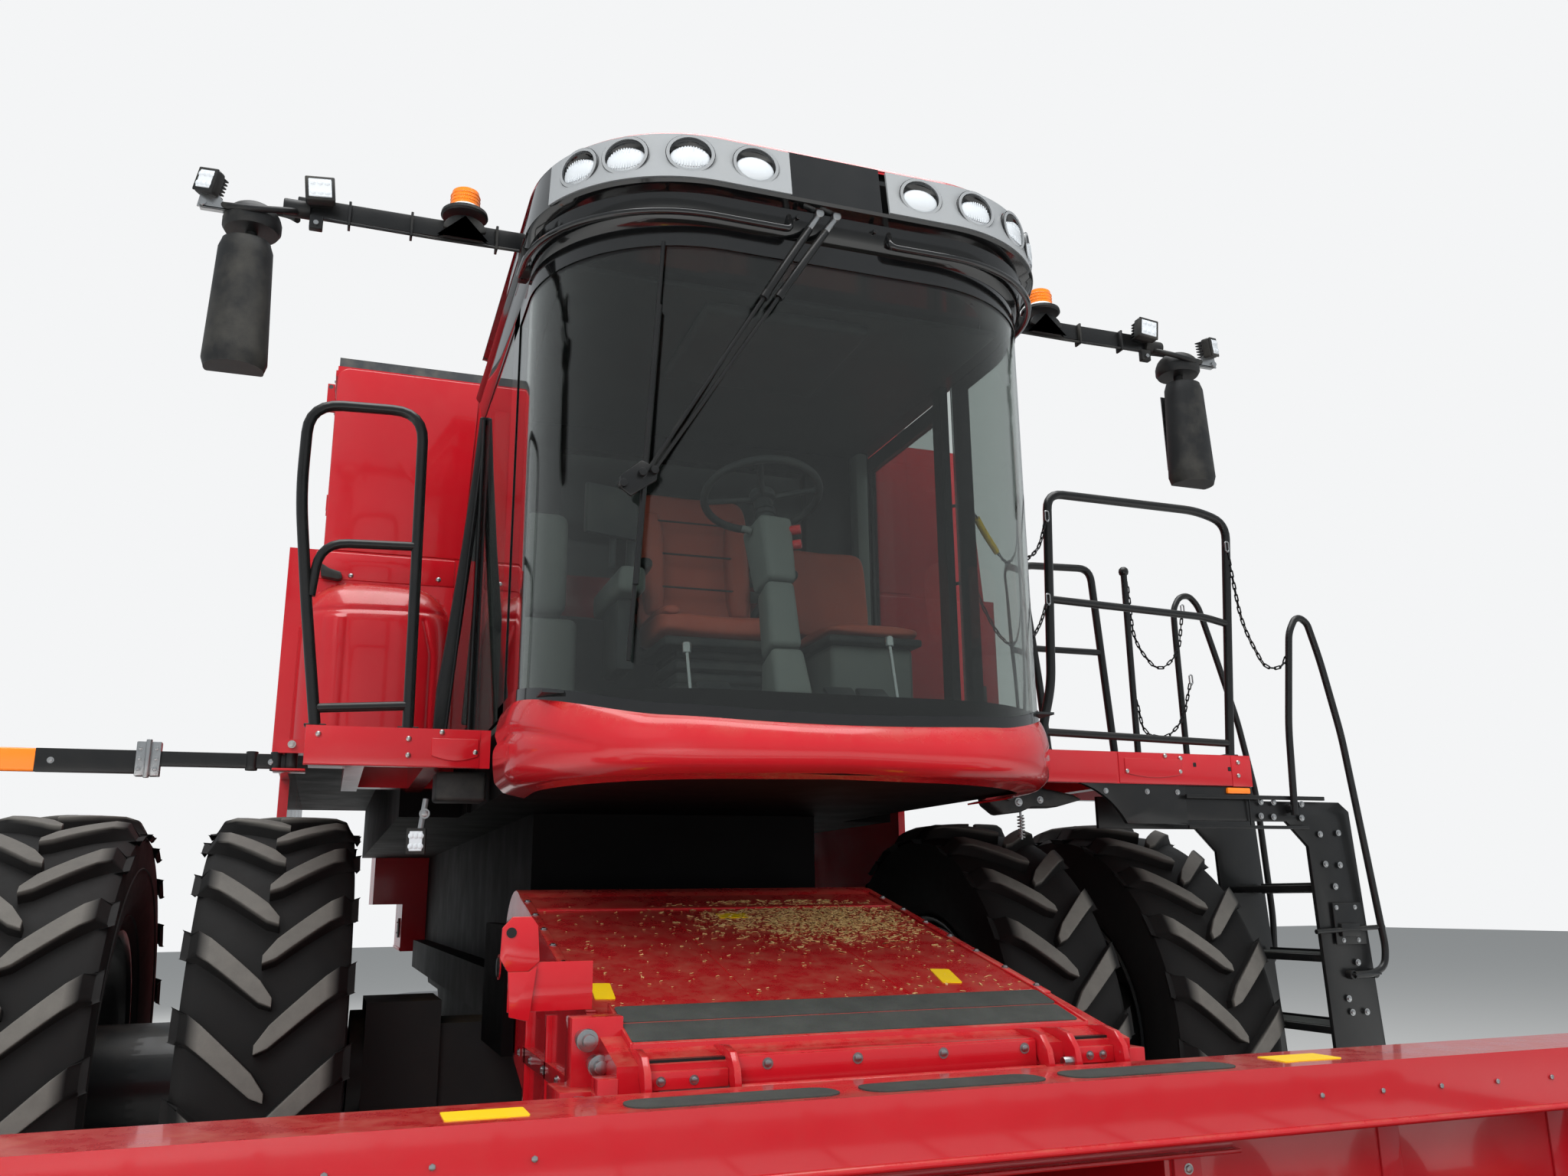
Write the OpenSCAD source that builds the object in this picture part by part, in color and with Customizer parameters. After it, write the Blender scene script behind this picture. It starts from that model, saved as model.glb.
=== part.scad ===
// Self-propelled combine harvester with a belt pickup header, twin front wheels
// and a steered rear axle. Millimetres, +Z up, forward is -Y, +X is the
// machine's left side, where the ladder and the unloading tube are.

/* [Wheels] */
// Distance from the front axle to the rear axle
wheelbase = 3770; // [3600:10:3900]
// Front tyre outside diameter, over the lugs
front_tyre_d = 1950; // [1900:10:1980]
// Front tyre section width
front_tyre_w = 520; // [460:10:540]
// Front rim diameter at the bead seat
front_rim_d = 1067; // [1000:1:1100]
// Distance of the inner front tyre's middle from the centre plane
inner_wheel_x = 1520; // [1510:5:1560]
// Distance between the middles of a pair of front tyres
dual_pitch = 765; // [700:5:780]
// Rear tyre outside diameter, over the lugs
rear_tyre_d = 1490; // [1440:10:1510]
// Rear tyre section width
rear_tyre_w = 600; // [540:10:620]
// Rear rim diameter at the bead seat
rear_rim_d = 711; // [660:1:760]
// Distance of the rear tyre's middle outside the steering pivot
kingpin_offset = 500; // [490:5:530]
// Distance of the steering pivot from the centre plane
kingpin_x = 1000; // [960:5:1010]

/* [Cab] */
// Half width of the cab over its glass
cab_half_w = 870; // [840:5:890]
// Furthest forward point of the windscreen
cab_front = 2190; // [2100:10:2250]
// Where the curved windscreen ends and the straight side begins
cab_side_front = 1330; // [1300:10:1380]
// Outside of the cab's rear wall
cab_rear = 400; // [380:10:440]
// Height of the cab floor above the front tyres
floor_over_tyre = 230; // [210:10:270]
// Height of the glass above the cab floor
glass_h = 1410; // [1360:10:1440]
// Height of the roof's rim above the glass
roof_h = 310; // [280:10:340]
// How far the roof reaches past the glass in front
roof_overhang = 45; // [35:5:60]
// Thickness of the glass
glass_t = 20; // [12:1:25]

/* [Platform and ladder] */
// Outer end of the left platform
platform_left = 2330; // [2280:10:2360]
// Outer end of the right platform
platform_right = 1460; // [1440:10:1540]
// Front edge of both platforms
platform_front = 1100; // [1080:10:1140]
// Diameter of the handrail tube
rail_d = 38; // [30:1:44]
// Height of the front handrail above the platform
rail_h = 1080; // [1000:10:1120]
// Ladder's clear distance outside the outer tyre
ladder_gap = 60; // [40:5:80]
// Spacing of the ladder's steps
step_rise = 290; // [270:5:300]

/* [Body] */
// Half width of the lower body between the wheels
lower_half_w = 700; // [660:10:720]
// Half width of the upper body
upper_half_w = 1100; // [1060:10:1120]
// Outside of the panels on the right
panel_right = 1600; // [1580:10:1640]
// Outside of the panels on the left
panel_left = 1750; // [1740:10:1780]
// Thickness of panels and doors
panel_t = 40; // [30:1:45]
// Height of the deck above the cab floor
deck_step = 170; // [150:10:200]
// Height of the side panels above the deck
panel_h = 700; // [650:10:730]
// Gap between side panel, side door and wheel arch
door_gap = 10; // [8:1:14]
// Rear face of the grain tank
tank_rear = 2350; // [2250:10:2450]
// Height of the grain tank above the deck
tank_h = 1550; // [1500:10:1600]
// Rear end of the engine hood
hood_rear = 4850; // [4750:10:4900]
// Height of the engine hood above the deck
hood_h = 950; // [850:10:1000]

/* [Unloading tube] */
// Outer diameter of the unloading tube
tube_d = 400; // [360:5:420]
// Radius of the turret
turret_r = 165; // [150:5:175]
// Distance of the turret behind the front axle
turret_y = 500; // [460:10:560]
// Height of the folded tube above the side panels
tube_gap = 120; // [100:5:150]
// Length of the tube behind the turret
tube_len = 5800; // [5500:50:6000]

/* [Feeder and header] */
// Half width of the feeder housing
feeder_half_w = 700; // [680:5:720]
// Distance of the feeder's pivot in front of the front axle
feeder_pivot_y = 700; // [690:5:720]
// Height of the feeder's pivot
feeder_pivot_z = 1380; // [1360:5:1400]
// Front face of the feeder housing
feeder_front = 2450; // [2420:10:2480]
// Half width of the header
header_half_w = 2600; // [2500:10:2650]
// Height of the top of the header's beam
beam_top = 1200; // [1180:5:1220]
// Radius of the header auger over its flighting
auger_r = 290; // [270:5:300]
// Radius of the header auger's tube
auger_tube_r = 150; // [120:5:170]
// Distance of the pickup belts inside the header's end
belt_inset = 315; // [300:5:380]

/* [Hidden] */
$fn = 48;

red = "firebrick";
black = [0.1, 0.1, 0.11];
grey = [0.45, 0.46, 0.47];

run_gap = 0.06;      // radial clearance of a shaft in its bore
seat_gap = 0.3;      // gap between curved pieces that seat on each other
clear = 8;           // least gap between pieces that move past each other

front_axle_z = front_tyre_d / 2;
rear_axle_z = rear_tyre_d / 2;
rear_wheel_x = kingpin_x + kingpin_offset;
frame_z = front_axle_z + 175;
cab_floor_z = front_tyre_d + floor_over_tyre;
base_z = cab_floor_z - 230;
cab_glass_top = cab_floor_z + glass_h;
roof_rim_z = cab_glass_top + roof_h;
deck_z = cab_floor_z + deck_step;
panel_top = deck_z + panel_h;
tank_top = deck_z + tank_h;
hood_top = deck_z + hood_h;
turret_top = panel_top - 50;
tube_z = panel_top + tube_gap + tube_d / 2;
turret_x = panel_left - panel_t - turret_r - 15;
tank_right = panel_right - 130;
tank_left = panel_left - 470;
door_front = front_axle_z + 135;
door_rear = wheelbase - 980;
body_front = feeder_pivot_y - 300;
belt_half_w = header_half_w - belt_inset;
trough_r = auger_r + 30;
outer_wheel_x = inner_wheel_x + dual_pitch;
front_outer_edge = outer_wheel_x + front_tyre_w / 2;

// where the machine's box has its middle, so that the origin is under it
pickup_nose = feeder_front + 2395;
machine_rear = turret_y + tube_len;
ladder_in = front_outer_edge + ladder_gap;
ladder_out = ladder_in + 330;
arm_tip = front_outer_edge + 130;
box_x = (ladder_out + 16 - arm_tip) / 2;
box_y = (machine_rear - pickup_nose) / 2;

module place() { translate([-box_x, -box_y, 0]) children(); }
module both_sides() { children(); mirror([1, 0, 0]) children(); }
// a block from one corner to the other
module block(a, b) { translate(a) cube(b - a); }
// a profile drawn in (y, z), as wide as from x0 to x1
module across(x0, x1) {
    translate([x0, 0, 0]) rotate([90, 0, 90]) linear_extrude(x1 - x0) children();
}
// a profile drawn in (x, z), as deep as from y0 to y1
module along(y0, y1) {
    translate([0, y1, 0]) rotate([90, 0, 0]) linear_extrude(y1 - y0) children();
}
// a round bar from x0 to x1 at (y, z)
module bar_x(x0, x1, y, z, r) { translate([x0, y, z]) rotate([0, 90, 0]) cylinder(h = x1 - x0, r = r); }
module bar_y(y0, y1, x, z, r) { translate([x, y0, z]) rotate([-90, 0, 0]) cylinder(h = y1 - y0, r = r); }
module bar_z(z0, z1, x, y, r) { translate([x, y, z0]) cylinder(h = z1 - z0, r = r); }
// a round bar between two points
module rod(a, b, r) {
    d = b - a;
    l = norm(d);
    translate(a) rotate([0, acos(d[2] / l), atan2(d[1], d[0])]) cylinder(h = l, r = r);
}
// a tube along corner points, with a ball in each corner
module tube_path(p, r) {
    for (i = [0 : len(p) - 2]) rod(p[i], p[i + 1], r);
    for (i = [1 : len(p) - 2]) translate(p[i]) sphere(r = r * 1.07);
}

// Wheels and tyres, drawn around the X axis and moved into place
function tyre_half(od, rim, w) = [
    [rim / 2, w * 0.36], [rim / 2 + 30, w * 0.44], [(od + 2 * rim) / 6, w * 0.5],
    [od * 0.44, w * 0.49], [od / 2 - 45, w * 0.46], [od / 2 - 12, w * 0.42], [od / 2, w * 0.3]];
module tyre(od, rim, w) {
    side = tyre_half(od, rim, w);
    back = [for (i = [len(side) - 1 : -1 : 0]) [side[i][0], -side[i][1]]];
    rotate([0, 90, 0]) rotate_extrude($fn = 96) polygon(concat(side, back));
}
module rim(rim_d, w, x_disc) {
    r = rim_d / 2 - seat_gap;
    rotate([0, 90, 0]) difference() {
        union() {
            translate([0, 0, -w * 0.392 - 8]) cylinder(h = w * 0.784 + 16, r = r, $fn = 96);
            for (s = [-1, 1]) translate([0, 0, s * (w * 0.392 + 9) - 8]) cylinder(h = 16, r = r + 12, $fn = 96);
        }
        translate([0, 0, -w]) cylinder(h = w + x_disc, r = r - 40, $fn = 96);
        translate([0, 0, x_disc + 24]) cylinder(h = w, r = r - 40, $fn = 96);
    }
}
hub_x = inner_wheel_x - 280;
module wheels_front_left() {
    color("dimgray") {
        difference() {
            union() {
                translate([inner_wheel_x, 0, front_axle_z]) rim(front_rim_d, front_tyre_w, -170);
                translate([outer_wheel_x, 0, front_axle_z]) rim(front_rim_d, front_tyre_w, 60);
                bar_x(hub_x, inner_wheel_x - 160, 0, front_axle_z, 235);
                bar_x(inner_wheel_x - 160, outer_wheel_x + 70, 0, front_axle_z, 210);
                bar_x(outer_wheel_x + 60, outer_wheel_x + 140, 0, front_axle_z, 130);
            }
            bar_x(hub_x - 40, hub_x + 70, 0, front_axle_z, 90 + run_gap);
        }
    }
}
module wheels_front_right() { mirror([1, 0, 0]) wheels_front_left(); }
module tyres_front_left() {
    color(black) for (x = [inner_wheel_x, outer_wheel_x]) translate([x, 0, front_axle_z])
        tyre(front_tyre_d, front_rim_d, front_tyre_w);
}
module tyres_front_right() { mirror([1, 0, 0]) tyres_front_left(); }
module wheel_rear_left() {
    color("dimgray") difference() {
        union() {
            translate([rear_wheel_x, wheelbase, rear_axle_z]) rim(rear_rim_d, rear_tyre_w, -150);
            bar_x(kingpin_x + 180, rear_wheel_x - 140, wheelbase, rear_axle_z, 130);
            bar_x(rear_wheel_x - 130, rear_wheel_x - 60, wheelbase, rear_axle_z, 95);
        }
        bar_x(kingpin_x + 100, kingpin_x + 300, wheelbase, rear_axle_z, 60 + run_gap);
    }
}
module wheel_rear_right() { mirror([1, 0, 0]) wheel_rear_left(); }
module tyre_rear_left() {
    color(black) translate([rear_wheel_x, wheelbase, rear_axle_z]) tyre(rear_tyre_d, rear_rim_d, rear_tyre_w);
}
module tyre_rear_right() { mirror([1, 0, 0]) tyre_rear_left(); }

// Frame and axles
module chassis_frame() {
    color(grey) both_sides() {
        block([lower_half_w - 100, -body_front, frame_z], [lower_half_w, wheelbase + 830, frame_z + 190]);
        difference() {
            block([feeder_half_w + 8, -feeder_pivot_y - 140, frame_z - 60],
                [feeder_half_w + 48, 150 - body_front, feeder_pivot_z + 150]);
            bar_x(feeder_half_w - 50, feeder_half_w + 150, -feeder_pivot_y, feeder_pivot_z, 45 + run_gap);
        }
        block([lower_half_w - 10, -body_front, frame_z + 80],
            [max(lower_half_w, feeder_half_w) + 20, 150 - body_front, frame_z + 190]);
    }
}
module front_axle() {
    color(grey) {
        block([-900, -170, front_axle_z - 145], [900, 170, frame_z]);
        both_sides() {
            block([900, -210, front_axle_z - 265], [hub_x - 60, 210, front_axle_z + 265]);
            bar_x(hub_x - 60, hub_x - 8, 0, front_axle_z, 225);
            bar_x(hub_x - 60, hub_x + 60, 0, front_axle_z, 90);
            // lift cylinder's bracket
            difference() {
                block([470, lift_a[0] - 70, lift_a[1] - 60], [570, -170, lift_a[1] + 100]);
                block([488, lift_a[0] - 80, lift_a[1] - 100], [552, -180, lift_a[1] + 200]);
                bar_x(400, 700, lift_a[0], lift_a[1], 25 + run_gap);
            }
        }
    }
}
// the rear axle's pieces, in heights from the rear wheel's centre
module at_rear_axle() { translate([0, wheelbase, rear_axle_z]) children(); }
module rear_axle() {
    color(grey) at_rear_axle() difference() {
        union() {
            block([-kingpin_x, -80, -80], [kingpin_x, 80, 85]);
            both_sides() bar_z(-80, 85, kingpin_x, 0, 80);
            block([-220, -120, 85], [220, 120, belly_z - rear_axle_z]);
            // drawbar plate
            block([-120, 60, -55], [120, 420, -15]);
            // steering cylinder's barrel on its bracket
            block([-180, -290, -225], [180, -60, -80]);
            bar_x(-300, 300, -steer_arm, -175, 50);
        }
        both_sides() bar_z(-150, 150, kingpin_x, 0, 40 + run_gap);
        bar_x(-400, 400, -steer_arm, -175, 22 + run_gap);
        bar_z(-150, 60, 0, 360, hitch_r);
    }
}
hitch_r = 16.5;
steer_arm = 260;
module knuckle_left() {
    color(grey) at_rear_axle() {
        bar_z(-145, 145, kingpin_x, 0, 40);
        block([kingpin_x - 70, -70, 93], [kingpin_x + 130, 70, 145]);
        block([kingpin_x - 70, -70, -140], [kingpin_x + 130, 70, -88]);
        block([kingpin_x + 98, -70, -140], [kingpin_x + 138, 70, 145]);
        block([kingpin_x - 40, -steer_arm - 40, -140], [kingpin_x + 40, -60, -105]);
        bar_x(kingpin_x + 130, kingpin_x + 300, 0, 0, 60);
    }
}
module knuckle_right() { mirror([1, 0, 0]) knuckle_left(); }
module steering_rod() {
    color("silver") at_rear_axle() {
        bar_x(-kingpin_x + 40, kingpin_x - 40, -steer_arm, -175, 22);
        both_sides() bar_z(-200, -150, kingpin_x, -steer_arm, 42);
    }
}

// Body
belly_z = frame_z - 100;
module separator_body() {
    color(grey) {
        across(-lower_half_w + 100, lower_half_w - 100) polygon([[-body_front, frame_z],
            [450, frame_z], [600, frame_z - 250], [wheelbase - 570, frame_z - 250],
            [wheelbase - 270, belly_z], [wheelbase + 530, belly_z], [hood_rear, frame_z + 200],
            [hood_rear, deck_z - 40], [-body_front, deck_z - 40]]);
        block([10 - cab_half_w, -cab_rear, base_z], [cab_half_w - 10, -90, deck_z - 40]);
        block([-upper_half_w, -100, base_z], [upper_half_w, hood_rear, deck_z - 40]);
        block([-panel_right + panel_t, -60, deck_z - 40], [panel_left - panel_t, hood_rear, deck_z]);
    }
}
module body_panels() {
    color(red) {
        difference() {
            block([-panel_right, -100, cab_floor_z + 20], [panel_left, -60, panel_top]);
            block([-upper_half_w, -110, base_z], [upper_half_w, -50, deck_z - 40]);
        }
        for (p = [[-panel_right, 1], [panel_left, -1]]) {
            x0 = min(p[0], p[0] + p[1] * panel_t);
            block([x0, -100, cab_floor_z + 20], [x0 + panel_t, door_front - door_gap, panel_top]);
            block([x0, door_rear + door_gap, arch_z], [x0 + panel_t, hood_rear, panel_top]);
        }
        // fixed halves of the doors' hinges
        for (s = [-1, 1], z = door_hinge_z) door_side(s) difference() {
            union() {
                block([-5, -50, z - 36], [36, -25, z - 6]);
                block([8, -30, z - 36], [36, -door_gap / 2, z - 6]);
                bar_z(z - 36, z - 6, hinge_out, -door_gap / 2, 14);
            }
            bar_z(z - 50, z, hinge_out, -door_gap / 2, 8 + run_gap);
        }
    }
}
// a side door is drawn from its panel's outer face and its own front edge
hinge_out = 22;
arch_z = rear_tyre_d + 310;
door_hinge_z = [cab_floor_z + 120, panel_top - 150];
module door_side(s) {
    if (s > 0) translate([panel_left, door_front, 0]) children();
    else mirror([1, 0, 0]) translate([panel_right, door_front, 0]) children();
}
module side_door(s) {
    color(red) door_side(s) {
        block([-panel_t, 0, frame_z - 150], [0, door_rear - door_front, panel_top]);
        for (z = door_hinge_z) {
            block([-5, 6, z], [36, 45, z + 30]);
            block([8, -door_gap / 2, z], [36, 20, z + 30]);
            bar_z(z, z + 30, hinge_out, -door_gap / 2, 14);
            bar_z(z - 36, z + 10, hinge_out, -door_gap / 2, 8);
        }
    }
}
module side_door_left() { side_door(1); }
module side_door_right() { side_door(-1); }
module grain_tank() {
    color(red) {
        difference() {
            block([-tank_right, -60, deck_z], [tank_left, tank_rear, tank_top]);
            block([-tank_right + 40, -20, deck_z + 60], [tank_left - 40, tank_rear - 40, tank_top + 10]);
        }
        along(-60, 0) polygon([[tank_left - 20, deck_z], [panel_left - panel_t, deck_z],
            [panel_left - panel_t, panel_top], [panel_left - 110, tank_top - 60], [tank_left - 20, tank_top - 60]]);
        // fixed halves of the covers' hinges
        for (s = [-1, 1], y = cover_hinge_y, t = [-1, 1]) cover_edge(s) difference() {
            union() {
                block([-1, y + t * 52 - 8, -60], [44, y + t * 52 + 8, -4]);
                block([12, y + t * 52 - 8, -60], [44, y + t * 52 + 8, 34]);
            }
            bar_y(y - 70, y + 70, 30, 20, 10 + run_gap);
        }
    }
}
// a tank cover is drawn from the tank's outer top edge
cover_hinge_y = [300, tank_rear - 350];
module cover_edge(s) {
    if (s > 0) translate([tank_left, 0, tank_top]) children();
    else mirror([1, 0, 0]) translate([tank_right, 0, tank_top]) children();
}
module tank_cover(s) {
    color("dimgray") cover_edge(s) {
        block([-(tank_left + tank_right) / 2 + 6, -60, seat_gap], [-5, tank_rear, 40]);
        for (y = cover_hinge_y) {
            block([-60, y - 38, 12], [30, y + 38, 32]);
            bar_y(y - 60, y + 60, 30, 20, 10);
            bar_y(y - 38, y + 38, 30, 20, 14);
        }
    }
}
module tank_cover_left() { tank_cover(1); }
module tank_cover_right() { tank_cover(-1); }
module engine_block() {
    color(grey) block([-420, tank_rear + 250, deck_z], [420, tank_rear + 1550, hood_top - 100]);
}
screen_y = tank_rear + 1150;
screen_z = hood_top - 470;
module engine_hood() {
    color(red) difference() {
        union() {
            block([-upper_half_w, tank_rear, deck_z], [upper_half_w, hood_rear, hood_top]);
            bar_x(-upper_half_w - 60, -upper_half_w + 10, screen_y, screen_z, 460);
        }
        block([-upper_half_w + 40, tank_rear + 40, deck_z], [upper_half_w - 40, hood_rear - 40, hood_top - 40]);
        bar_x(-upper_half_w - 80, -upper_half_w + 50, screen_y, screen_z, 430);
    }
    color(grey) {
        block([-upper_half_w + 10, screen_y - 440, screen_z - 30], [-upper_half_w + 35, screen_y + 440, screen_z + 30]);
        bar_x(-upper_half_w - 40, -upper_half_w + 20, screen_y, screen_z, 30);
        bar_z(hood_top, hood_top + 450, 800, tank_rear + 350, 70);
    }
}
module air_screen() {
    color(black) difference() {
        bar_x(-upper_half_w - 50, -upper_half_w, screen_y, screen_z, 420);
        bar_x(-upper_half_w - 80, -upper_half_w + 50, screen_y, screen_z, 30 + run_gap);
    }
}
module rear_hood() {
    color(red) difference() {
        union() {
            across(-1000, 1000) polygon([[hood_rear, 1600], [hood_rear, hood_top - 100],
                [hood_rear + 300, hood_top - 150], [hood_rear + 850, deck_z - 50], [hood_rear + 850, 1600]]);
            block([-780, hood_rear, 1250], [780, hood_rear + 850, 1600]);
        }
        for (x = [-spreader_x, spreader_x]) bar_z(1200, 1310, x, spreader_y, 30 + run_gap);
    }
}
spreader_x = 400;
spreader_y = hood_rear + 450;
module spreader(x) {
    color(black) translate([x, spreader_y, 0]) {
        bar_z(880, 900, 0, 0, 370);
        bar_z(880, 1300, 0, 0, 30);
        for (a = [0 : 90 : 270]) rotate([0, 0, a]) block([60, -8, 800], [360, 8, 885]);
    }
}
module spreader_left() { spreader(spreader_x); }
module spreader_right() { spreader(-spreader_x); }

// Unloading tube
module unload_turret() {
    color(red) {
        bar_z(deck_z, turret_top, turret_x, turret_y, turret_r);
        block([tank_left, turret_y - 150, deck_z], [turret_x, turret_y + 150, turret_top - 100]);
        bar_z(turret_top, turret_top + 60, turret_x, turret_y, 90);
    }
}
module unload_tube() {
    color(red) difference() {
        union() {
            bar_z(turret_top + seat_gap, tube_z, turret_x, turret_y, turret_r);
            translate([turret_x, turret_y, tube_z]) sphere(r = tube_d / 2 + 5);
            bar_y(turret_y, machine_rear, turret_x, tube_z, tube_d / 2);
            // collar for the spout
            bar_y(machine_rear - 200, machine_rear, turret_x, tube_z, tube_d / 2 + 6);
        }
        bar_z(turret_top - 10, turret_top + 70, turret_x, turret_y, 90 + run_gap);
        bar_y(machine_rear - 300, machine_rear + 10, turret_x, tube_z, tube_d / 2 - 12);
    }
}

// Cab
roof_half_w = cab_half_w + 20;
roof_front = cab_front + roof_overhang;
arm_z = cab_glass_top + 150;
module rounded_plan(hw, front, rear, r) {
    translate([-hw, -front + r]) square([2 * hw, front - r - rear]);
    translate([-hw + r, -front]) square([2 * (hw - r), r + 1]);
    for (s = [-1, 1]) translate([s * (hw - r), -front + r]) circle(r = r, $fn = 96);
}
module cab_plan(inset) {
    rounded_plan(cab_half_w - inset, cab_front - inset, cab_rear, 520 - inset);
}
// the windscreen's lower edge, seen from the front
module swoop() {
    z = cab_floor_z;
    w = cab_half_w;
    polygon([[-1200, z + 720], [-1200, z], [-w, z], [350 - w, z - 90], [0, z - 105],
        [w - 350, z - 90], [w, z], [1200, z], [1200, z + 720]]);
}
module cab_base() {
    color(black) translate([0, 0, base_z]) linear_extrude(cab_floor_z - base_z) cab_plan(glass_t + 5);
}
module front_bumper() {
    color(red) difference() {
        translate([0, 0, base_z - 5]) linear_extrude(260) cab_plan(0);
        translate([0, 0, base_z - 50]) linear_extrude(400) cab_plan(glass_t + 5);
        along(-cab_front - 200, 0) swoop();
        block([-1100, -cab_side_front - 120, base_z - 50], [1100, 0, cab_floor_z + 220]);
    }
}
module cab_frame() {
    x = cab_half_w - 25;
    rear = -cab_rear - 60;
    color(black) {
        // rear wall with its window's opening
        difference() {
            block([-x, rear, cab_floor_z], [x, -cab_rear, cab_glass_top]);
            block([-560, rear - 40, cab_floor_z + 570], [560, 0, cab_glass_top - 110]);
        }
        // side pillars
        both_sides() {
            block([x - 35, -cab_side_front, cab_floor_z], [x, -cab_side_front + 70, cab_glass_top]);
            block([x - 35, rear - 70, cab_floor_z], [x, rear, cab_glass_top]);
        }
        // ring under the roof
        translate([0, 0, cab_glass_top]) linear_extrude(50) difference() {
            cab_plan(0);
            cab_plan(120);
        }
        block([-cab_half_w, rear - 70, cab_glass_top], [cab_half_w, -cab_rear, cab_glass_top + 50]);
        // door hinges
        for (z = cab_hinge_z) difference() {
            union() {
                block([cab_half_w - 45, rear - 2, z], [cab_half_w + 20, rear + 22, z + 40]);
                bar_z(z, z + 40, cab_half_w + 20, rear + 10, 14);
            }
            bar_z(z - 10, z + 50, cab_half_w + 20, rear + 10, 8 + run_gap);
        }
    }
}
cab_hinge_z = [cab_floor_z + 170, cab_glass_top - 240];
module cab_roof() {
    color(black) translate([0, 0, cab_glass_top + 50]) linear_extrude(roof_h - 80)
        rounded_plan(roof_half_w, roof_front, cab_rear - 50, 510);
}
module roof_cap() {
    color(red) {
        translate([0, 0, roof_rim_z - 30]) linear_extrude(30)
            rounded_plan(roof_half_w - 10, roof_front - 10, cab_rear - 60, 500);
        translate([0, 0, roof_rim_z]) linear_extrude(30)
            rounded_plan(roof_half_w - 130, roof_front - 135, cab_rear + 20, 420);
    }
}
module cab_glass() {
    color([0.4, 0.6, 0.55, 0.5]) {
        // curved windscreen
        difference() {
            translate([0, 0, base_z + 100]) linear_extrude(cab_glass_top - base_z - 100) difference() {
                cab_plan(0);
                cab_plan(glass_t);
            }
            block([-1100, -cab_side_front - 10, base_z], [1100, 0, cab_glass_top + 100]);
            difference() {
                block([-1100, -cab_front - 200, base_z - 50], [1100, 0, cab_floor_z + 120]);
                along(-cab_front - 300, 10) translate([0, 0.3]) swoop();
            }
        }
        // right side window and rear window
        block([-cab_half_w, -cab_side_front, cab_floor_z], [-cab_half_w + glass_t, -cab_rear - 60, cab_glass_top]);
        block([-600, -cab_rear, cab_floor_z + 540], [600, -cab_rear + 12, cab_glass_top - 70]);
    }
}
cab_door_front = 85 - cab_side_front;
cab_door_rear = -cab_rear - 72;
cab_door_rim = 70;
module cab_door() {
    rear = cab_door_rear;
    color(black) difference() {
        block([cab_half_w - 20, cab_door_front, cab_floor_z + 30], [cab_half_w + 15, rear, cab_glass_top - 20]);
        block([cab_half_w - 50, cab_door_front + cab_door_rim, cab_floor_z + 110],
            [cab_half_w + 40, rear - cab_door_rim, cab_glass_top - 90]);
    }
    color(black) for (z = cab_hinge_z) {
        bar_z(z, z + 80, cab_half_w + 20, rear + 22, 8);
        block([cab_half_w - 14, rear - 18, z + 46], [cab_half_w + 34, rear + 36, z + 80]);
    }
}
module cab_door_glass() {
    color([0.4, 0.6, 0.55, 0.5]) block(
        [cab_half_w - 8, cab_door_front + cab_door_rim, cab_floor_z + 110],
        [cab_half_w + 4, cab_door_rear - cab_door_rim, cab_glass_top - 90]);
}
// a seat is drawn from the floor under the back of its backrest
module one_seat(x, w) {
    translate([0, -cab_rear - 220, cab_floor_z]) {
        block([x - w / 2 + 80, -530, 0], [x + w / 2 - 80, -180, 320]);
        across(x - w / 2, x + w / 2) polygon([[-670, 310], [-670, 440], [-200, 430],
            [-100, 1060], [0, 1060], [-70, 310]]);
    }
}
module seats() {
    color("saddlebrown") {
        one_seat(-60, 520);
        one_seat(530, 400);
    }
}
module cab_console() {
    color(black) {
        // steering column and wheel
        translate([-60, 360 - cab_front, cab_floor_z]) {
            difference() {
                block([-70, -70, 0], [70, 70, 670]);
                block([-80, 50, 420], [80, 130, 720]);
            }
            translate([0, 0, 670]) rotate([20, 0, 0]) {
                cylinder(h = 60, r = 30);
                translate([0, 0, 60]) difference() {
                    cylinder(h = 28, r = 210);
                    translate([0, 0, -1]) cylinder(h = 30, r = 180);
                }
                translate([-190, -20, 60]) cube([380, 40, 20]);
            }
            // pedals
            for (x = [-270, 150]) block([x, -30, 0], [x + 120, 50, 80]);
        }
        // armrest with the controls
        translate([0, -cab_rear, cab_floor_z]) block([-470, -900, 0], [-370, -350, 580]);
    }
}

// Platforms, rails and ladder
module platforms() {
    z = cab_floor_z;
    y = -platform_front;
    color(red) {
        block([cab_half_w + 30, y, z - 40], [platform_left, -100, z]);
        block([cab_half_w - 5, y - 20, z - 130], [platform_left, y, z]);
        block([-platform_right, y, z - 40], [-cab_half_w - 10, -100, z]);
        block([-platform_right, y - 20, z - 130], [-cab_half_w + 5, y, z]);
        // beams under the floor, back to the body
        for (x = [160 - platform_right, 410 - platform_right, cab_half_w + 180, cab_half_w + 430])
            block([x - 30, y, z - 130], [x + 30, -100, z - 40]);
        both_sides() block([cab_half_w + 30, -180, z - 120], [cab_half_w + 460, -100, z - 40]);
        // warning arm's bracket
        difference() {
            block([-platform_right - 80, y + 60, z - 85], [20 - platform_right, y + 140, z - 40]);
            bar_z(z - 200, z, -platform_right - 40, y + 100, 22 + run_gap);
        }
        block([platform_left - 630, y, z - 130], [platform_left - 570, -300, z - 40]);
        block([cab_half_w + 150, -300, z - 130], [platform_left - 30, -240, z - 40]);
    }
}
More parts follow.
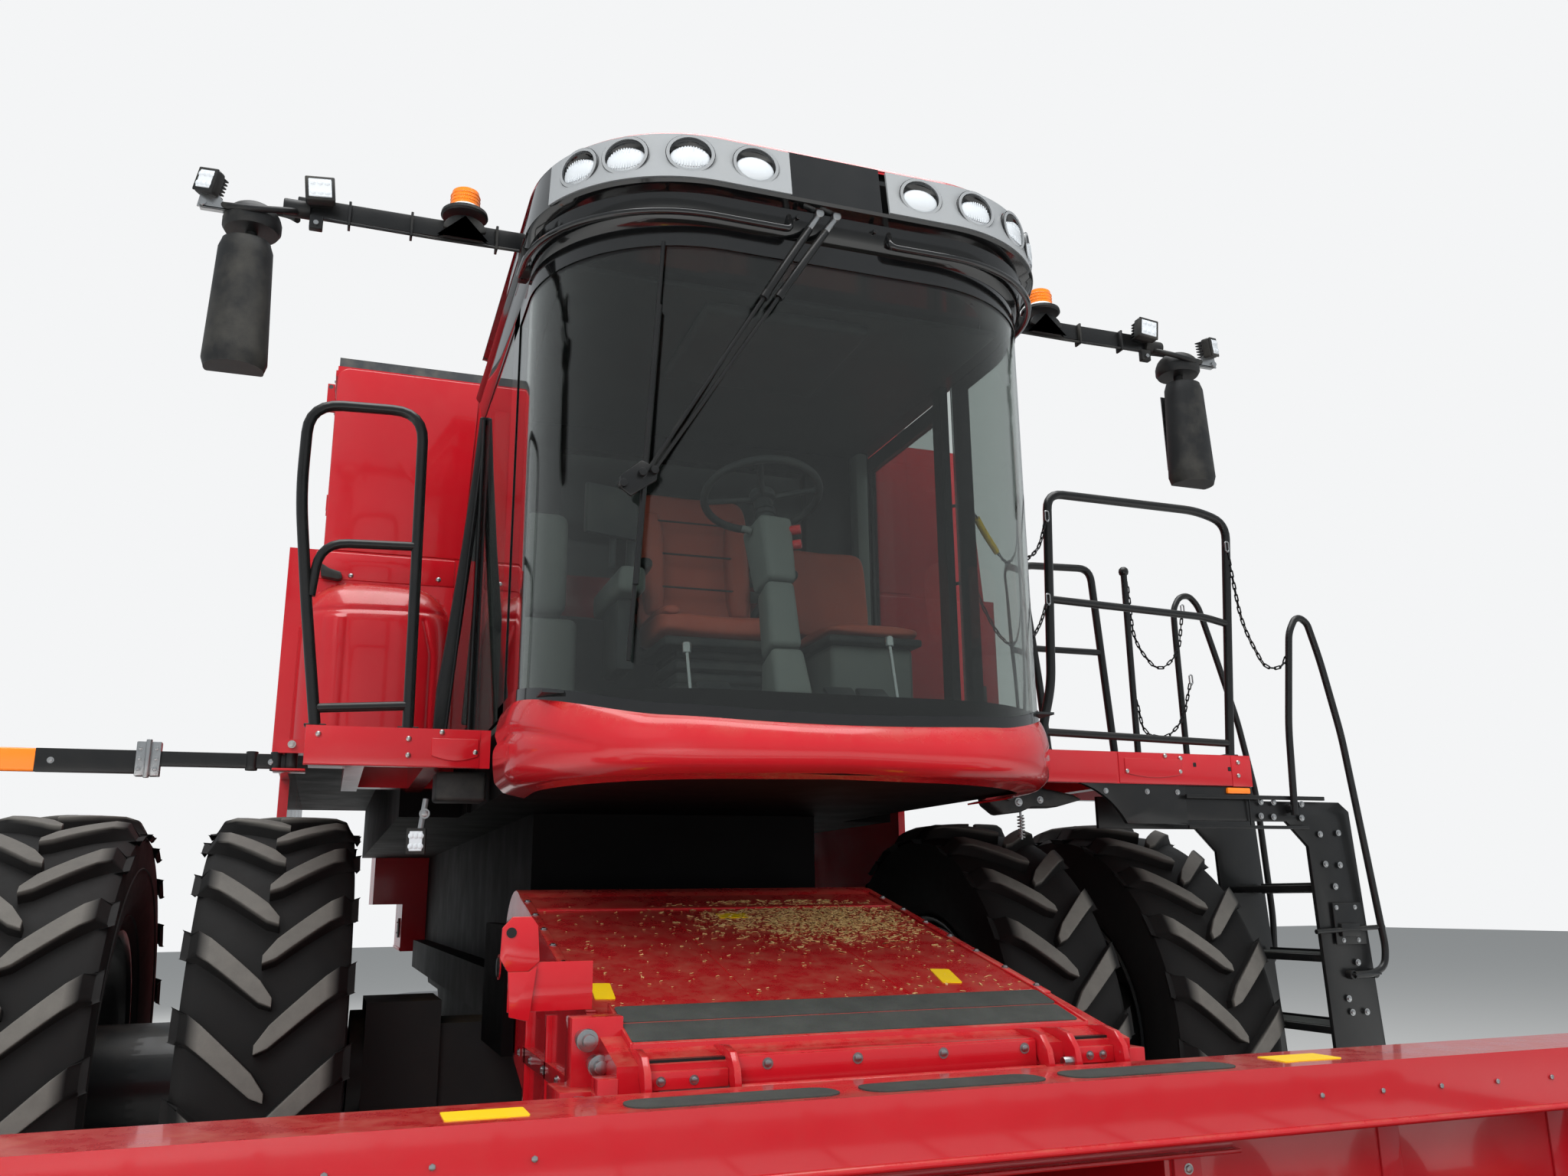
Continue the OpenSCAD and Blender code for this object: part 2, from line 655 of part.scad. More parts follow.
module handrails() {
    r = rail_d / 2;
    z = cab_floor_z;
    zt = z + rail_h;
    y = 15 - platform_front;
    xr = 325 - platform_right;
    color(black) {
        // right front rail
        tube_path([[xr, y, z + 4], [xr, y, zt + 30], [xr - 295, y, zt + 30],
            [xr - 300, y, zt - 150], [xr - 300, y, z + 4]], r);
        rod([xr, y, z + 650], [xr - 300, y, z + 650], r * 0.85);
        rod([xr, y, z + 110], [xr - 300, y, z + 110], r * 0.85);
        // left front rail
        tube_path([[1400, y, z + 4], [1400, y, zt], [platform_left - 70, y, zt - 90],
            [platform_left - 40, y, z + 4]], r);
        rod([1400, y, z + 570], [platform_left - 53, y, z + 520], r * 0.85);
        rod([1400, y, z + 110], [platform_left - 43, y, z + 110], r * 0.85);
        // left rear rail
        tube_path([[1900, -200, z + 4], [1900, -200, zt + 40], [platform_left - 40, -200, zt + 10],
            [platform_left - 30, -200, z + 4]], r);
        rod([1900, -200, z + 570], [platform_left - 35, -200, z + 560], r * 0.85);
        // foot plates
        for (p = [[xr, y], [xr - 300, y], [1400, y], [platform_left - 40, y], [1900, -200], [platform_left - 34, -200]])
            block([p[0] - 30, p[1] - 30, z], [p[0] + 30, p[1] + 30, z + 8]);
    }
}
module stringer(y, top) {
    z = cab_floor_z;
    along(y - 10, y + 10) polygon([[platform_left - 370, top], [platform_left, top], [platform_left + 20, z - 190],
        [ladder_out - 140, z - 190], [ladder_out - 90, z - 230], [ladder_out - 20, 600], [ladder_out - 30, 420],
        [ladder_in + 40, 420], [ladder_in + 20, 1200], [ladder_in, z - 380], [ladder_in - 105, z - 275],
        [platform_left - 370, z - 275]]);
}
module ladder() {
    z = cab_floor_z;
    y = -platform_front;
    color(black) {
        stringer(y - 10, z - 130);
        stringer(y + 590, z - 130);
        for (i = [0 : 4]) block([ladder_in + 50, y, 450 + i * step_rise],
            [ladder_out - 40 - i * 14, y + 580, 480 + i * step_rise]);
        // grab rails
        x = ladder_in + 35;
        tube_path([[x, y - 30, z - 220], [x, y - 30, z + 610], [x + 60, y - 30, z + 650], [x + 120, y - 30, z + 520],
            [ladder_out, y - 30, 1500], [ladder_out - 30, y - 30, 800]], 16);
        for (q = [[x, z - 220], [ladder_out - 30, 830]]) bar_y(y - 30, y - 15, q[0], q[1], 16);
    }
}
mirror_y = -1650;
module mirrors() {
    color(black) both_sides() {
        rod([roof_half_w + seat_gap, mirror_y, arm_z], [1760, mirror_y, arm_z], 16);
        bar_z(arm_z - 340, arm_z + 5, 1760, mirror_y, 14);
        block([1680, mirror_y - 40, arm_z - 660], [1850, mirror_y + 30, arm_z - 290]);
    }
}
module beacons() {
    color("orange") both_sides() {
        bar_z(arm_z + 16 + seat_gap, arm_z + 60, 1090, mirror_y, 50);
        bar_z(arm_z + 60, arm_z + 130, 1090, mirror_y, 42);
    }
}
module lamps() {
    color("silver") {
        both_sides() {
            for (x = [140, 262]) block([x, -roof_front - 15, arm_z - 20], [x + 115, -roof_front, arm_z + 110]);
            block([1500, mirror_y - 70, arm_z - 40], [1600, mirror_y - 16 - seat_gap, arm_z + 50]);
        }
        bar_y(-platform_front - 30, -platform_front - 20, platform_left - 50, cab_floor_z - 90, 30);
    }
}
module warning_arm() {
    z = cab_floor_z;
    x = -platform_right - 40;
    color("orange") {
        bar_z(z - 140, z - 40, x, 100 - platform_front, 22);
        block([-arm_tip, 80 - platform_front, z - 135], [x, 120 - platform_front, z - 95]);
    }
}

// Feeder house, lift cylinders and header
module feeder_house() {
    fy = -feeder_pivot_y;
    fz = feeder_pivot_z;
    color(red) difference() {
        union() {
            across(-feeder_half_w, feeder_half_w) {
                polygon([[fy, fz + 270], [-feeder_front, 1235], [-feeder_front, 560], [fy, fz - 270]]);
                translate([fy, fz]) circle(r = 268, $fn = 64);
            }
            both_sides() {
                bar_x(feeder_half_w - 5, feeder_half_w + 52, fy, fz, 45);
                translate([520, lift_b[0], lift_b[1]]) {
                    difference() {
                        block([-45, -60, -70], [45, 60, 150]);
                        block([-30, -70, -140], [30, 100, 60]);
                    }
                    bar_x(-40, 40, 0, 0, 17);
                }
            }
        }
        // mouth
        across(-600, 600) polygon([[-feeder_front - 10, 1180], [-feeder_front - 10, 620],
            [-1700, 850], [-1700, 1360]]);
    }
}
lift_a = [-230, front_axle_z - 175];
lift_b = [-1900, 640];
lift_len = norm(lift_b - lift_a);
lift_tilt = atan2(lift_a[1] - lift_b[1], lift_a[0] - lift_b[0]);
// a lift cylinder is drawn along -Y from its rear eye, then tilted
module lift_at() {
    for (x = [-520, 520]) translate([x, lift_a[0], lift_a[1]]) rotate([lift_tilt, 0, 0]) children();
}
module lift_barrels() {
    color(black) lift_at() difference() {
        union() {
            bar_x(-28, 28, 0, 0, 40);
            bar_y(-100, -25, 0, 0, 25);
            bar_y(-1150, -98, 0, 0, 42);
        }
        bar_y(-1200, -160, 0, 0, 25 + run_gap);
    }
    color(black) for (x = [-520, 520]) bar_x(x - 49, x + 49, lift_a[0], lift_a[1], 25);
}
module lift_rods() {
    color("silver") lift_at() {
        difference() {
            union() {
                bar_y(-lift_len + 20, -350, 0, 0, 25);
                bar_x(-22, 22, -lift_len, 0, 42);
            }
            bar_x(-40, 40, -lift_len, 0, 25);
        }
    }
}
// the header is drawn from the feeder's front face
module at_header() { translate([0, -feeder_front, 0]) children(); }
auger_y = -630;
auger_z = 640;
guard_y = -950;
guard_z = 880;
gauge_y = -1700;
rollers = [[-1110, 540], [-2230, 250]];
sheet_x = header_half_w - 40;
module header_frame() {
    color(red) at_header() {
        difference() {
            union() {
                // beams and back wall
                block([-header_half_w, -415, beam_top - 150], [header_half_w, -170, beam_top]);
                block([-sheet_x, -250, 200], [sheet_x, -150, 310]);
                block([-sheet_x, -250, 300], [sheet_x, -230, beam_top - 140]);
                // auger trough
                across(-sheet_x, sheet_x) {
                    difference() {
                        translate([auger_y, auger_z]) circle(r = trough_r + 15, $fn = 96);
                        translate([auger_y, auger_z]) circle(r = trough_r, $fn = 96);
                        translate([auger_y - 400, auger_z]) square([800, 400]);
                        translate([auger_y - 400, auger_z - 165]) square([200, 400]);
                    }
                    translate([auger_y + trough_r, auger_z]) square([70, 30]);
                }
            }
            block([-600, -450, 410], [600, 50, beam_top - 200]);
        }
        both_sides() {
            // side sheets
            difference() {
                across(sheet_x, header_half_w) polygon([[-150, 200], [-150, beam_top - 150],
                    [-415, beam_top - 150], [-1000, 930], [-1110, 420], [-880, 260], [-550, 200]]);
                bar_x(sheet_x - 60, sheet_x + 140, auger_y, auger_z, 30 + run_gap);
                bar_x(sheet_x - 60, sheet_x + 140, guard_y, guard_z, 15 + run_gap);
            }
            // pickup's side plates
            across(belt_half_w + 10, belt_half_w + 40) polygon([[-910, 320], [-910, 420],
                [-1050, 640], [-2250, 330], [-2310, 260], [-2250, 190], [-1650, 210]]);
            bar_x(belt_half_w + 35, sheet_x, -980, 400, 40);
            bar_x(belt_half_w + 35, belt_half_w + 235, gauge_y, 250, 20);
        }
    }
}
// frame round the opening, between the header's back and the feeder's front
module header_adapter() {
    color(red) at_header() difference() {
        across(-760, 760) polygon([[-230, 330], [-230, beam_top - 150], [-170, beam_top - 150],
            [-170, beam_top - 60], [0, beam_top - 60], [0, 330]]);
        block([-600, -450, 410], [600, 50, beam_top - 200]);
    }
}
module header_auger() {
    color(grey) at_header() {
        bar_x(-header_half_w, header_half_w, auger_y, auger_z, 30);
        bar_x(-sheet_x + 20, sheet_x - 20, auger_y, auger_z, auger_tube_r);
        both_sides() bar_x(640, sheet_x - 30, auger_y, auger_z, auger_r);
    }
}
module pickup_belts() {
    color(black) at_header() {
        across(-belt_half_w, belt_half_w) {
            translate(rollers[0]) circle(r = 100);
            translate(rollers[1]) circle(r = 90);
            polygon([[-1135, 637], [-2252, 337], [-2207, 163], [-1085, 443]]);
        }
        for (q = rollers) bar_x(-belt_half_w - 10, belt_half_w + 10, q[0], q[1], 25);
        // tines' reach at the nose
        across(-belt_half_w, belt_half_w) translate(rollers[1]) difference() {
            circle(r = 165);
            circle(r = 85);
            translate([20, -200]) square([400, 400]);
        }
    }
}
module windguard() {
    color(black) at_header() {
        both_sides() {
            bar_x(sheet_x - 30, header_half_w, guard_y, guard_z, 15);
            block([sheet_x - 60, -1850, guard_z - 30], [sheet_x - 20, guard_y + 20, guard_z + 30]);
            bar_x(sheet_x - 60, sheet_x - 20, guard_y, guard_z, 35);
        }
        bar_x(60 - sheet_x, sheet_x - 60, -1820, guard_z, 50);
    }
}
module gauge_wheel_left() {
    color(black) at_header() difference() {
        bar_x(belt_half_w + 85, belt_half_w + 225, gauge_y, 250, 240);
        bar_x(belt_half_w, belt_half_w + 300, gauge_y, 250, 20 + run_gap);
    }
}
module gauge_wheel_right() { mirror([1, 0, 0]) gauge_wheel_left(); }

place() {
    chassis_frame();
    separator_body();
    front_axle();
    rear_axle();
    grain_tank();
    engine_block();
    engine_hood();
    rear_hood();
    body_panels();
    cab_base();
    front_bumper();
    cab_frame();
    cab_roof();
    roof_cap();
    cab_glass();
    seats();
    cab_console();
    platforms();
    handrails();
    ladder();
    mirrors();
    beacons();
    lamps();
    unload_turret();
    unload_tube();
    cab_door();
    cab_door_glass();
    tank_cover_left();
    tank_cover_right();
    side_door_left();
    side_door_right();
    air_screen();
    spreader_left();
    spreader_right();
    wheels_front_left();
    wheels_front_right();
    tyres_front_left();
    tyres_front_right();
    knuckle_left();
    knuckle_right();
    wheel_rear_left();
    wheel_rear_right();
    tyre_rear_left();
    tyre_rear_right();
    steering_rod();
    feeder_house();
    header_frame();
    header_adapter();
    header_auger();
    pickup_belts();
    windguard();
    gauge_wheel_left();
    gauge_wheel_right();
    lift_barrels();
    lift_rods();
    warning_arm();
}
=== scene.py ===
"""Looks of a combine harvester, built round its CAD frame."""
import random
from math import asin, atan, atan2, cos, exp, hypot, pi, radians, sin, sqrt

import bpy
from mathutils import Matrix, Vector


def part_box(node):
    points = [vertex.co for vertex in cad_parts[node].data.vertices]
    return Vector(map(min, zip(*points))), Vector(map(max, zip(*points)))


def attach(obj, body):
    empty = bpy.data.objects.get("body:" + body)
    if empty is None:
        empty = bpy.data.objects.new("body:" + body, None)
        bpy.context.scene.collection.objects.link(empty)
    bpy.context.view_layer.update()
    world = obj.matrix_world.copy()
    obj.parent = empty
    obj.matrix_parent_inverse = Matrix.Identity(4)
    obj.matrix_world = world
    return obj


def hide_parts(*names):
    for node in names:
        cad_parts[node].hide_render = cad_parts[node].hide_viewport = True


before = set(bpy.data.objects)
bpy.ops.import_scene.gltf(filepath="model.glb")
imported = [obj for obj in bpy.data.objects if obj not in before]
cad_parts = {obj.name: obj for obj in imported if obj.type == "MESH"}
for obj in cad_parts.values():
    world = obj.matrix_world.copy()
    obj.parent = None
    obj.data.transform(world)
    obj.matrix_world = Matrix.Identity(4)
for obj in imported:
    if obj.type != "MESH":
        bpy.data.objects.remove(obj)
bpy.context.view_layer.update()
random.seed(7)

# Everything below is in the machine's own metres: x=0 in the middle, y=0 on the
# front axle, -y forward, z=0 on the ground. HOME moves it into the row frame.
_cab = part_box("cab_base")
_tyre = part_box("tyres_front_left")
HOME = Vector(((_cab[0].x + _cab[1].x) / 2, (_tyre[0].y + _tyre[1].y) / 2, 0))
# height of the cab's floor and of the platforms
FLOOR = 2.18


# ---- modelling
def deselect():
    """Nothing selected, object mode."""
    if bpy.context.object and bpy.context.object.mode != "OBJECT":
        bpy.ops.object.mode_set(mode="OBJECT")
    bpy.ops.object.select_all(action="DESELECT")


def choose(*objects):
    """Only these objects selected, the first one active."""
    deselect()
    for ob in objects:
        ob.select_set(True)
    bpy.context.view_layer.objects.active = objects[0]


def joined(parts):
    """One object made of several."""
    choose(*parts)
    if len(parts) > 1:
        bpy.ops.object.join()
    return bpy.context.object


def in_edit(*steps):
    """Runs edit mode steps on the whole of the active mesh."""
    bpy.ops.object.mode_set(mode="EDIT")
    bpy.ops.mesh.select_all(action="SELECT")
    for step in steps:
        step()
    bpy.ops.object.mode_set(mode="OBJECT")


def shown(name, data):
    """A new object of this mesh, light or camera, linked to the scene."""
    ob = bpy.data.objects.new(name, data)
    bpy.context.scene.collection.objects.link(ob)
    return ob


def modify(ob, kind, **settings):
    """Adds one modifier and applies it."""
    choose(ob)
    m = ob.modifiers.new(kind.title(), kind)
    for key, value in settings.items():
        setattr(m, key, value)
    bpy.ops.object.modifier_apply(modifier=m.name)
    return ob


def bevel(ob, width, segments=2, angle=35):
    return modify(ob, "BEVEL", width=width, segments=segments, limit_method="ANGLE", angle_limit=radians(angle))


def outward(ob, merge=0.0):
    """Merges doubles and turns the faces outwards."""
    choose(ob)
    if merge:
        in_edit(lambda: bpy.ops.mesh.remove_doubles(threshold=merge))
    in_edit(lambda: bpy.ops.mesh.normals_make_consistent(inside=False))
    return ob


def box(a, b, edge=0.0, segments=2):
    """A block from corner a to corner b with rounded edges."""
    deselect()
    mid = [(p + q) / 2 for p, q in zip(a, b)]
    size = [abs(q - p) for p, q in zip(a, b)]
    bpy.ops.mesh.primitive_cube_add(size=1, location=mid, scale=size)
    bpy.ops.object.transform_apply(location=True, rotation=True, scale=True)
    ob = bpy.context.object
    if edge:
        bevel(ob, edge, segments)
    return ob


def bar(a, b, r, sides=20, edge=0.0):
    """A round bar between two points."""
    deselect()
    a, b = Vector(a), Vector(b)
    d = b - a
    bpy.ops.mesh.primitive_cylinder_add(vertices=sides, radius=r, depth=d.length)
    ob = bpy.context.object
    ob.matrix_world = Matrix.Translation((a + b) / 2) @ d.to_track_quat("Z", "Y").to_matrix().to_4x4()
    bpy.ops.object.transform_apply(location=True, rotation=True, scale=True)
    return bevel(ob, edge, 2) if edge else ob


def plate(points, axis, low, high, edge=0.0, segments=2):
    """A flat outline drawn across one axis ('x', 'y' or 'z') and extruded from low to high."""
    deselect()
    bpy.ops.mesh.primitive_circle_add(vertices=len(points), fill_type="NGON")
    ob = bpy.context.object
    for v, (p, q) in zip(ob.data.vertices, points):
        v.co = {"x": (low, p, q), "y": (p, low, q), "z": (p, q, low)}[axis]
    step = [high - low if axis == k else 0 for k in "xyz"]
    in_edit(lambda: bpy.ops.mesh.extrude_region_move(TRANSFORM_OT_translate={"value": step}))
    outward(ob)
    return bevel(ob, edge, segments) if edge else ob


def surface(fn, nu, nv, wall=0.0, offset=0.0, merge=0.0):
    """A grid of nu by nv cells laid over fn(u, v), with u and v from 0 to 1."""
    deselect()
    bpy.ops.mesh.primitive_grid_add(x_subdivisions=nu, y_subdivisions=nv, size=2)
    ob = bpy.context.object
    for v in ob.data.vertices:
        v.co = fn((v.co.x + 1) / 2, (v.co.y + 1) / 2)
    if merge:
        outward(ob, merge)
    if wall:
        modify(ob, "SOLIDIFY", thickness=wall, offset=offset)
        outward(ob)
    return ob


def turned(profile, centre, axis="x", steps=64):
    """A closed profile of (radius, along) turned about an axis through centre."""
    deselect()
    bpy.ops.mesh.primitive_circle_add(vertices=len(profile), fill_type="NOTHING")
    ob = bpy.context.object
    for v, (r, t) in zip(ob.data.vertices, profile):
        v.co = (r, 0, t)
    modify(ob, "SCREW", axis="Z", steps=steps, render_steps=steps, use_merge_vertices=True, merge_threshold=1e-5)
    tilt = {"x": Matrix.Rotation(pi / 2, 4, "Y"), "y": Matrix.Rotation(-pi / 2, 4, "X"),
        "z": Matrix.Identity(4)}[axis]
    ob.data.transform(Matrix.Translation(centre) @ tilt)
    return outward(ob, 1e-5)


def rounded(points, radius, steps=6, closed=False):
    """The points of a path with its corners rounded off."""
    out, n = [], len(points)
    for i, p in enumerate(points):
        p = Vector(p)
        if not closed and i in (0, n - 1):
            out.append(p)
            continue
        a, b = Vector(points[i - 1]), Vector(points[(i + 1) % n])
        r = radius[i] if isinstance(radius, (list, tuple)) else radius
        cut = min(r, (a - p).length * 0.48, (b - p).length * 0.48)
        s, e = p + (a - p).normalized() * cut, p + (b - p).normalized() * cut
        for k in range(steps + 1):
            t = k / steps
            out.append((1 - t) ** 2 * s + 2 * t * (1 - t) * p + t * t * e)
    return out


def tube(points, r, bend=0.0, sides=3, closed=False):
    """A round tube along a path whose corners are bent to a radius."""
    deselect()
    path = rounded(points, bend, closed=closed) if bend else [Vector(p) for p in points]
    bpy.ops.curve.primitive_bezier_curve_add()
    ob = bpy.context.object
    curve = ob.data
    curve.splines.clear()
    line = curve.splines.new("POLY")
    line.points.add(len(path) - 1)
    for q, p in zip(line.points, path):
        q.co = (*p, 1)
    line.use_cyclic_u = closed
    curve.dimensions, curve.bevel_depth = "3D", r
    curve.bevel_resolution, curve.use_fill_caps = sides, True
    bpy.ops.object.convert(target="MESH")
    return outward(bpy.context.object, 1e-6)


def copy_of(ob):
    return shown(ob.name, ob.data.copy())


def copy_to(ob, matrices):
    """Copies of a modelled part, each with its own mesh."""
    out = [copy_of(ob) for m in matrices]
    for new, m in zip(out, matrices):
        new.data.transform(m)
    bpy.data.objects.remove(ob)
    return out


def move(ob, x):
    ob.data.transform(Matrix.Translation((x, 0, 0)))
    return ob


def mirror_it(ob):
    """Reflects a part to the machine's other side."""
    ob.data.transform(Matrix.Scale(-1, 4, (1, 0, 0)))
    ob.data.flip_normals()
    return ob


def turn(ob, angle, axis, centre):
    c = Vector(centre)
    ob.data.transform(Matrix.Translation(c) @ Matrix.Rotation(radians(angle), 4, axis) @ Matrix.Translation(-c))
    return ob


def piece(name, parts, material, body="machine", slot=None, stands_for=(), smooth=40):
    """Joins parts into one finished piece that rides on a body; the slot looked up from its finish is not kept."""
    ob = joined([p for p in parts if p])
    ob.name = ob.data.name = name
    ob.data.transform(Matrix.Translation(HOME))
    choose(ob)
    bpy.ops.object.shade_smooth_by_angle(angle=radians(smooth))
    ob.data.materials.clear()
    ob.data.materials.append(material)
    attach(ob, body)
    if slot is None:
        slot = SLOTS.get(material.name)
    if stands_for:
        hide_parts(*stands_for)
    return ob


# ---- materials
def tone(hexa):
    """An sRGB hex colour as linear red, green, blue and alpha."""
    out = []
    for i in (1, 3, 5):
        c = int(hexa[i:i + 2], 16) / 255
        out.append(c / 12.92 if c <= 0.04045 else ((c + 0.055) / 1.055) ** 2.4)
    return (*out, 1.0)


def add(tree, kind, settings=None, links=None):
    """Adds one node, sets its values and links its inputs from (node, output) pairs.
    A texture that is given no place reads Object coordinates, in metres."""
    node = tree.nodes.new("ShaderNode" + kind)
    for key, value in (settings or {}).items():
        if key == "stops":
            for stop, (position, colour) in zip(node.color_ramp.elements, value):
                stop.position, stop.color = position, colour
        elif not isinstance(key, int) and hasattr(node, key):
            setattr(node, key, value)
        else:
            node.inputs[key].default_value = value
    links = dict(links or {})
    if kind in ("TexNoise", "TexVoronoi", "TexWave", "Mapping"):
        links.setdefault("Vector", (tree.nodes["Texture Coordinate"], "Object"))
    for key, (source, output) in links.items():
        tree.links.new(source.outputs[output], node.inputs[key])
    return node


def grey(v):
    return v, v, v, 1


def start(name, **settings):
    """A new material with its node tree, its shader and its texture coordinates."""
    mat = bpy.data.materials.new(name)
    mat.use_nodes = True
    tree = mat.node_tree
    for key, value in settings.items():
        tree.nodes["Principled BSDF"].inputs[key.replace("_", " ")].default_value = value
    add(tree, "TexCoord")
    return mat, tree


def finish(mat, colour, rough=None, height=None, strength=0.1, depth=0.001):
    """Links a finish's colour, roughness and relief to its shader."""
    tree = mat.node_tree
    into = tree.nodes["Principled BSDF"].inputs
    tree.links.new(colour[0].outputs[colour[1]], into["Base Color"])
    if rough:
        tree.links.new(rough.outputs[0], into["Roughness"])
    if height:
        bump = add(tree, "Bump", {"Strength": strength, "Distance": depth}, {"Height": height})
        tree.links.new(bump.outputs[0], into["Normal"])
    return mat


def painted(name, base, deep, dust, rough=0.22, coat=0.6, dusty=0.35):
    """Sprayed and baked enamel: one even colour under a clear gloss, faint orange peel,
    field dust that settles on faces that look up, and small scuffs."""
    mat, tree = start(name, Coat_Weight=coat, Coat_Roughness=0.06)
    # broad, hardly visible change of shade, about 0.7 m across
    broad = add(tree, "TexNoise", {"Scale": 1.4, "Detail": 3.0})
    body = add(tree, "Mix", {"data_type": "RGBA", 6: tone(base), 7: tone(deep)}, {0: (broad, "Fac")})
    # dust lies on faces that look up, and thins out in patches 80 mm across
    patch = add(tree, "TexNoise", {"Scale": 12.0, "Detail": 8.0, "Roughness": 0.7})
    up = add(tree, "SeparateXYZ", {}, {0: (add(tree, "NewGeometry"), "Normal")})
    lift = add(tree, "MapRange", {"From Min": 0.15, "From Max": 1.0, "To Min": 0.02, "To Max": dusty},
        {"Value": (up, "Z")})
    spots = add(tree, "ValToRGB", {"stops": [(0.42, grey(0.15)), (0.68, grey(1))]}, {"Fac": (patch, "Fac")})
    amount = add(tree, "Math", {"operation": "MULTIPLY"}, {0: (lift, "Result"), 1: (spots, "Color")})
    cover = add(tree, "Mix", {"data_type": "RGBA", 7: tone(dust)}, {0: (amount, 0), 6: (body, 2)})
    # dusty patches are duller than clean enamel, and smears 0.2 m across change the gloss a little
    dull = add(tree, "MapRange", {"From Min": 0.0, "From Max": 0.5, "To Min": rough, "To Max": 0.75},
        {"Value": (amount, 0)})
    smear = add(tree, "TexNoise", {"Scale": 5.0, "Detail": 6.0})
    change = add(tree, "MapRange", {"From Min": 0.3, "From Max": 0.8, "To Min": -0.05, "To Max": 0.08},
        {"Value": (smear, "Fac")})
    total = add(tree, "Math", {"operation": "ADD", "use_clamp": True}, {0: (dull, 0), 1: (change, 0)})
    # orange peel drawn at about 7 mm so that it shows
    peel = add(tree, "TexNoise", {"Scale": 140.0, "Detail": 1.0})
    return finish(mat, (cover, 2), total, (peel, "Fac"), 0.035, 0.002)


def moulded(name, base, rough=0.5, bumpy=0.12, dusty=0.12, coat=0.0):
    """Injection moulded plastic: eroded grain about 4 mm apart, dust in broad smears."""
    mat, tree = start(name, Coat_Weight=coat, Coat_Roughness=0.1)
    smear = add(tree, "TexNoise", {"Scale": 6.0, "Detail": 7.0, "Roughness": 0.65})
    amount = add(tree, "ValToRGB", {"stops": [(0.45, grey(0)), (0.75, grey(dusty))]}, {"Fac": (smear, "Fac")})
    colour = add(tree, "Mix", {"data_type": "RGBA", 6: tone(base), 7: tone("#8A8578")}, {0: (amount, "Color")})
    gloss = add(tree, "MapRange", {"To Min": rough - 0.06, "To Max": rough + 0.12}, {"Value": (smear, "Fac")})
    grain = (add(tree, "TexVoronoi", {"Scale": 260.0}), "Distance") if bumpy else None
    return finish(mat, (colour, 2), gloss, grain, bumpy)


def bare_metal(name, base, rough=0.3, streak=(1, 1, 1), metallic=1.0, dirt="#4A4038", dirty=0.25):
    """Bare or plated steel: drawn or rolled streaks, dull dirty patches."""
    mat, tree = start(name, Metallic=metallic)
    run = add(tree, "Mapping", {"Scale": streak})
    fine = add(tree, "TexNoise", {"Scale": 60.0, "Detail": 4.0}, {"Vector": (run, 0)})
    patch = add(tree, "TexNoise", {"Scale": 9.0, "Detail": 8.0, "Roughness": 0.7})
    amount = add(tree, "ValToRGB", {"stops": [(0.5, grey(0)), (0.72, grey(dirty))]}, {"Fac": (patch, "Fac")})
    colour = add(tree, "Mix", {"data_type": "RGBA", 6: tone(base), 7: tone(dirt)}, {0: (amount, "Color")})
    gloss = add(tree, "MapRange", {"To Min": rough - 0.08, "To Max": rough + 0.2}, {"Value": (fine, "Fac")})
    return finish(mat, (colour, 2), gloss, (fine, "Fac"), 0.05)


RED = painted("sprayed_red_enamel", "#B5141F", "#A30F1B", "#9A7F63", rough=0.2, dusty=0.3)
RED_DUSTY = painted("sprayed_red_enamel_dusty", "#A8131D", "#960F18", "#B08D62", rough=0.3, dusty=0.75, coat=0.3)
BLACK_COAT = painted("black_powder_coat", "#0C0D0E", "#121314", "#6E675C", rough=0.32, coat=0.15, dusty=0.2)
BLACK_GLOSS = painted("black_gloss_moulding", "#08090A", "#0C0D0E", "#5A564E", rough=0.1, coat=0.8, dusty=0.12)
CHASSIS = painted("chassis_black_primer", "#141516", "#1B1B1B", "#6A5A45", rough=0.5, coat=0.0, dusty=0.45)
# black primer darkened well past the chassis paint, with low specular: partly its own colour, partly painted shade
# under the cab and body
SHADED_UNDERBODY = painted("underbody_primer_and_painted_shade", "#030304", "#060606", "#2A231B", rough=0.6, coat=0.0, dusty=0.1)
SHADED_UNDERBODY.node_tree.nodes["Principled BSDF"].inputs["Specular IOR Level"].default_value = 0.12
RIM = painted("rim_dark_enamel", "#17191B", "#1E2022", "#6F6557", rough=0.35, coat=0.2, dusty=0.25)
TRIM = moulded("grained_black_plastic", "#151617", rough=0.48)
COVER = moulded("weathered_cover_plastic", "#35383B", rough=0.55, dusty=0.35)
CAB_GREY = moulded("cab_trim_grey_plastic", "#5E6260", rough=0.5, dusty=0.15, bumpy=0.08)
CAB_DARK = moulded("cab_trim_dark_plastic", "#232627", rough=0.5, dusty=0.1)
BEZEL = moulded("silver_painted_bezel", "#8B8E90", rough=0.32, bumpy=0.0, dusty=0.1, coat=0.4)
ZINC = bare_metal("zinc_plated_steel", "#C9CBCC", rough=0.28)
WORN = bare_metal("crop_worn_steel", "#9FA1A2", rough=0.35, streak=(0.05, 1, 1), dirt="#5B4B3A", dirty=0.5)
CHROME = bare_metal("hard_chrome_rod", "#DCDFE0", rough=0.1, streak=(1, 0.05, 1), dirty=0.05)
CAST = bare_metal("painted_casting", "#2A2C2D", rough=0.55, metallic=0.2, dirty=0.6)
AMBER = moulded("amber_lens_plastic", "#F07A10", rough=0.18, bumpy=0.0, dusty=0.05, coat=0.5)
YELLOW = moulded("yellow_sheet_sticker", "#E8C117", rough=0.4, bumpy=0.0, dusty=0.1)
WHITE = moulded("white_lens_plastic", "#D9DEE0", rough=0.2, bumpy=0.0, dusty=0.05, coat=0.4)


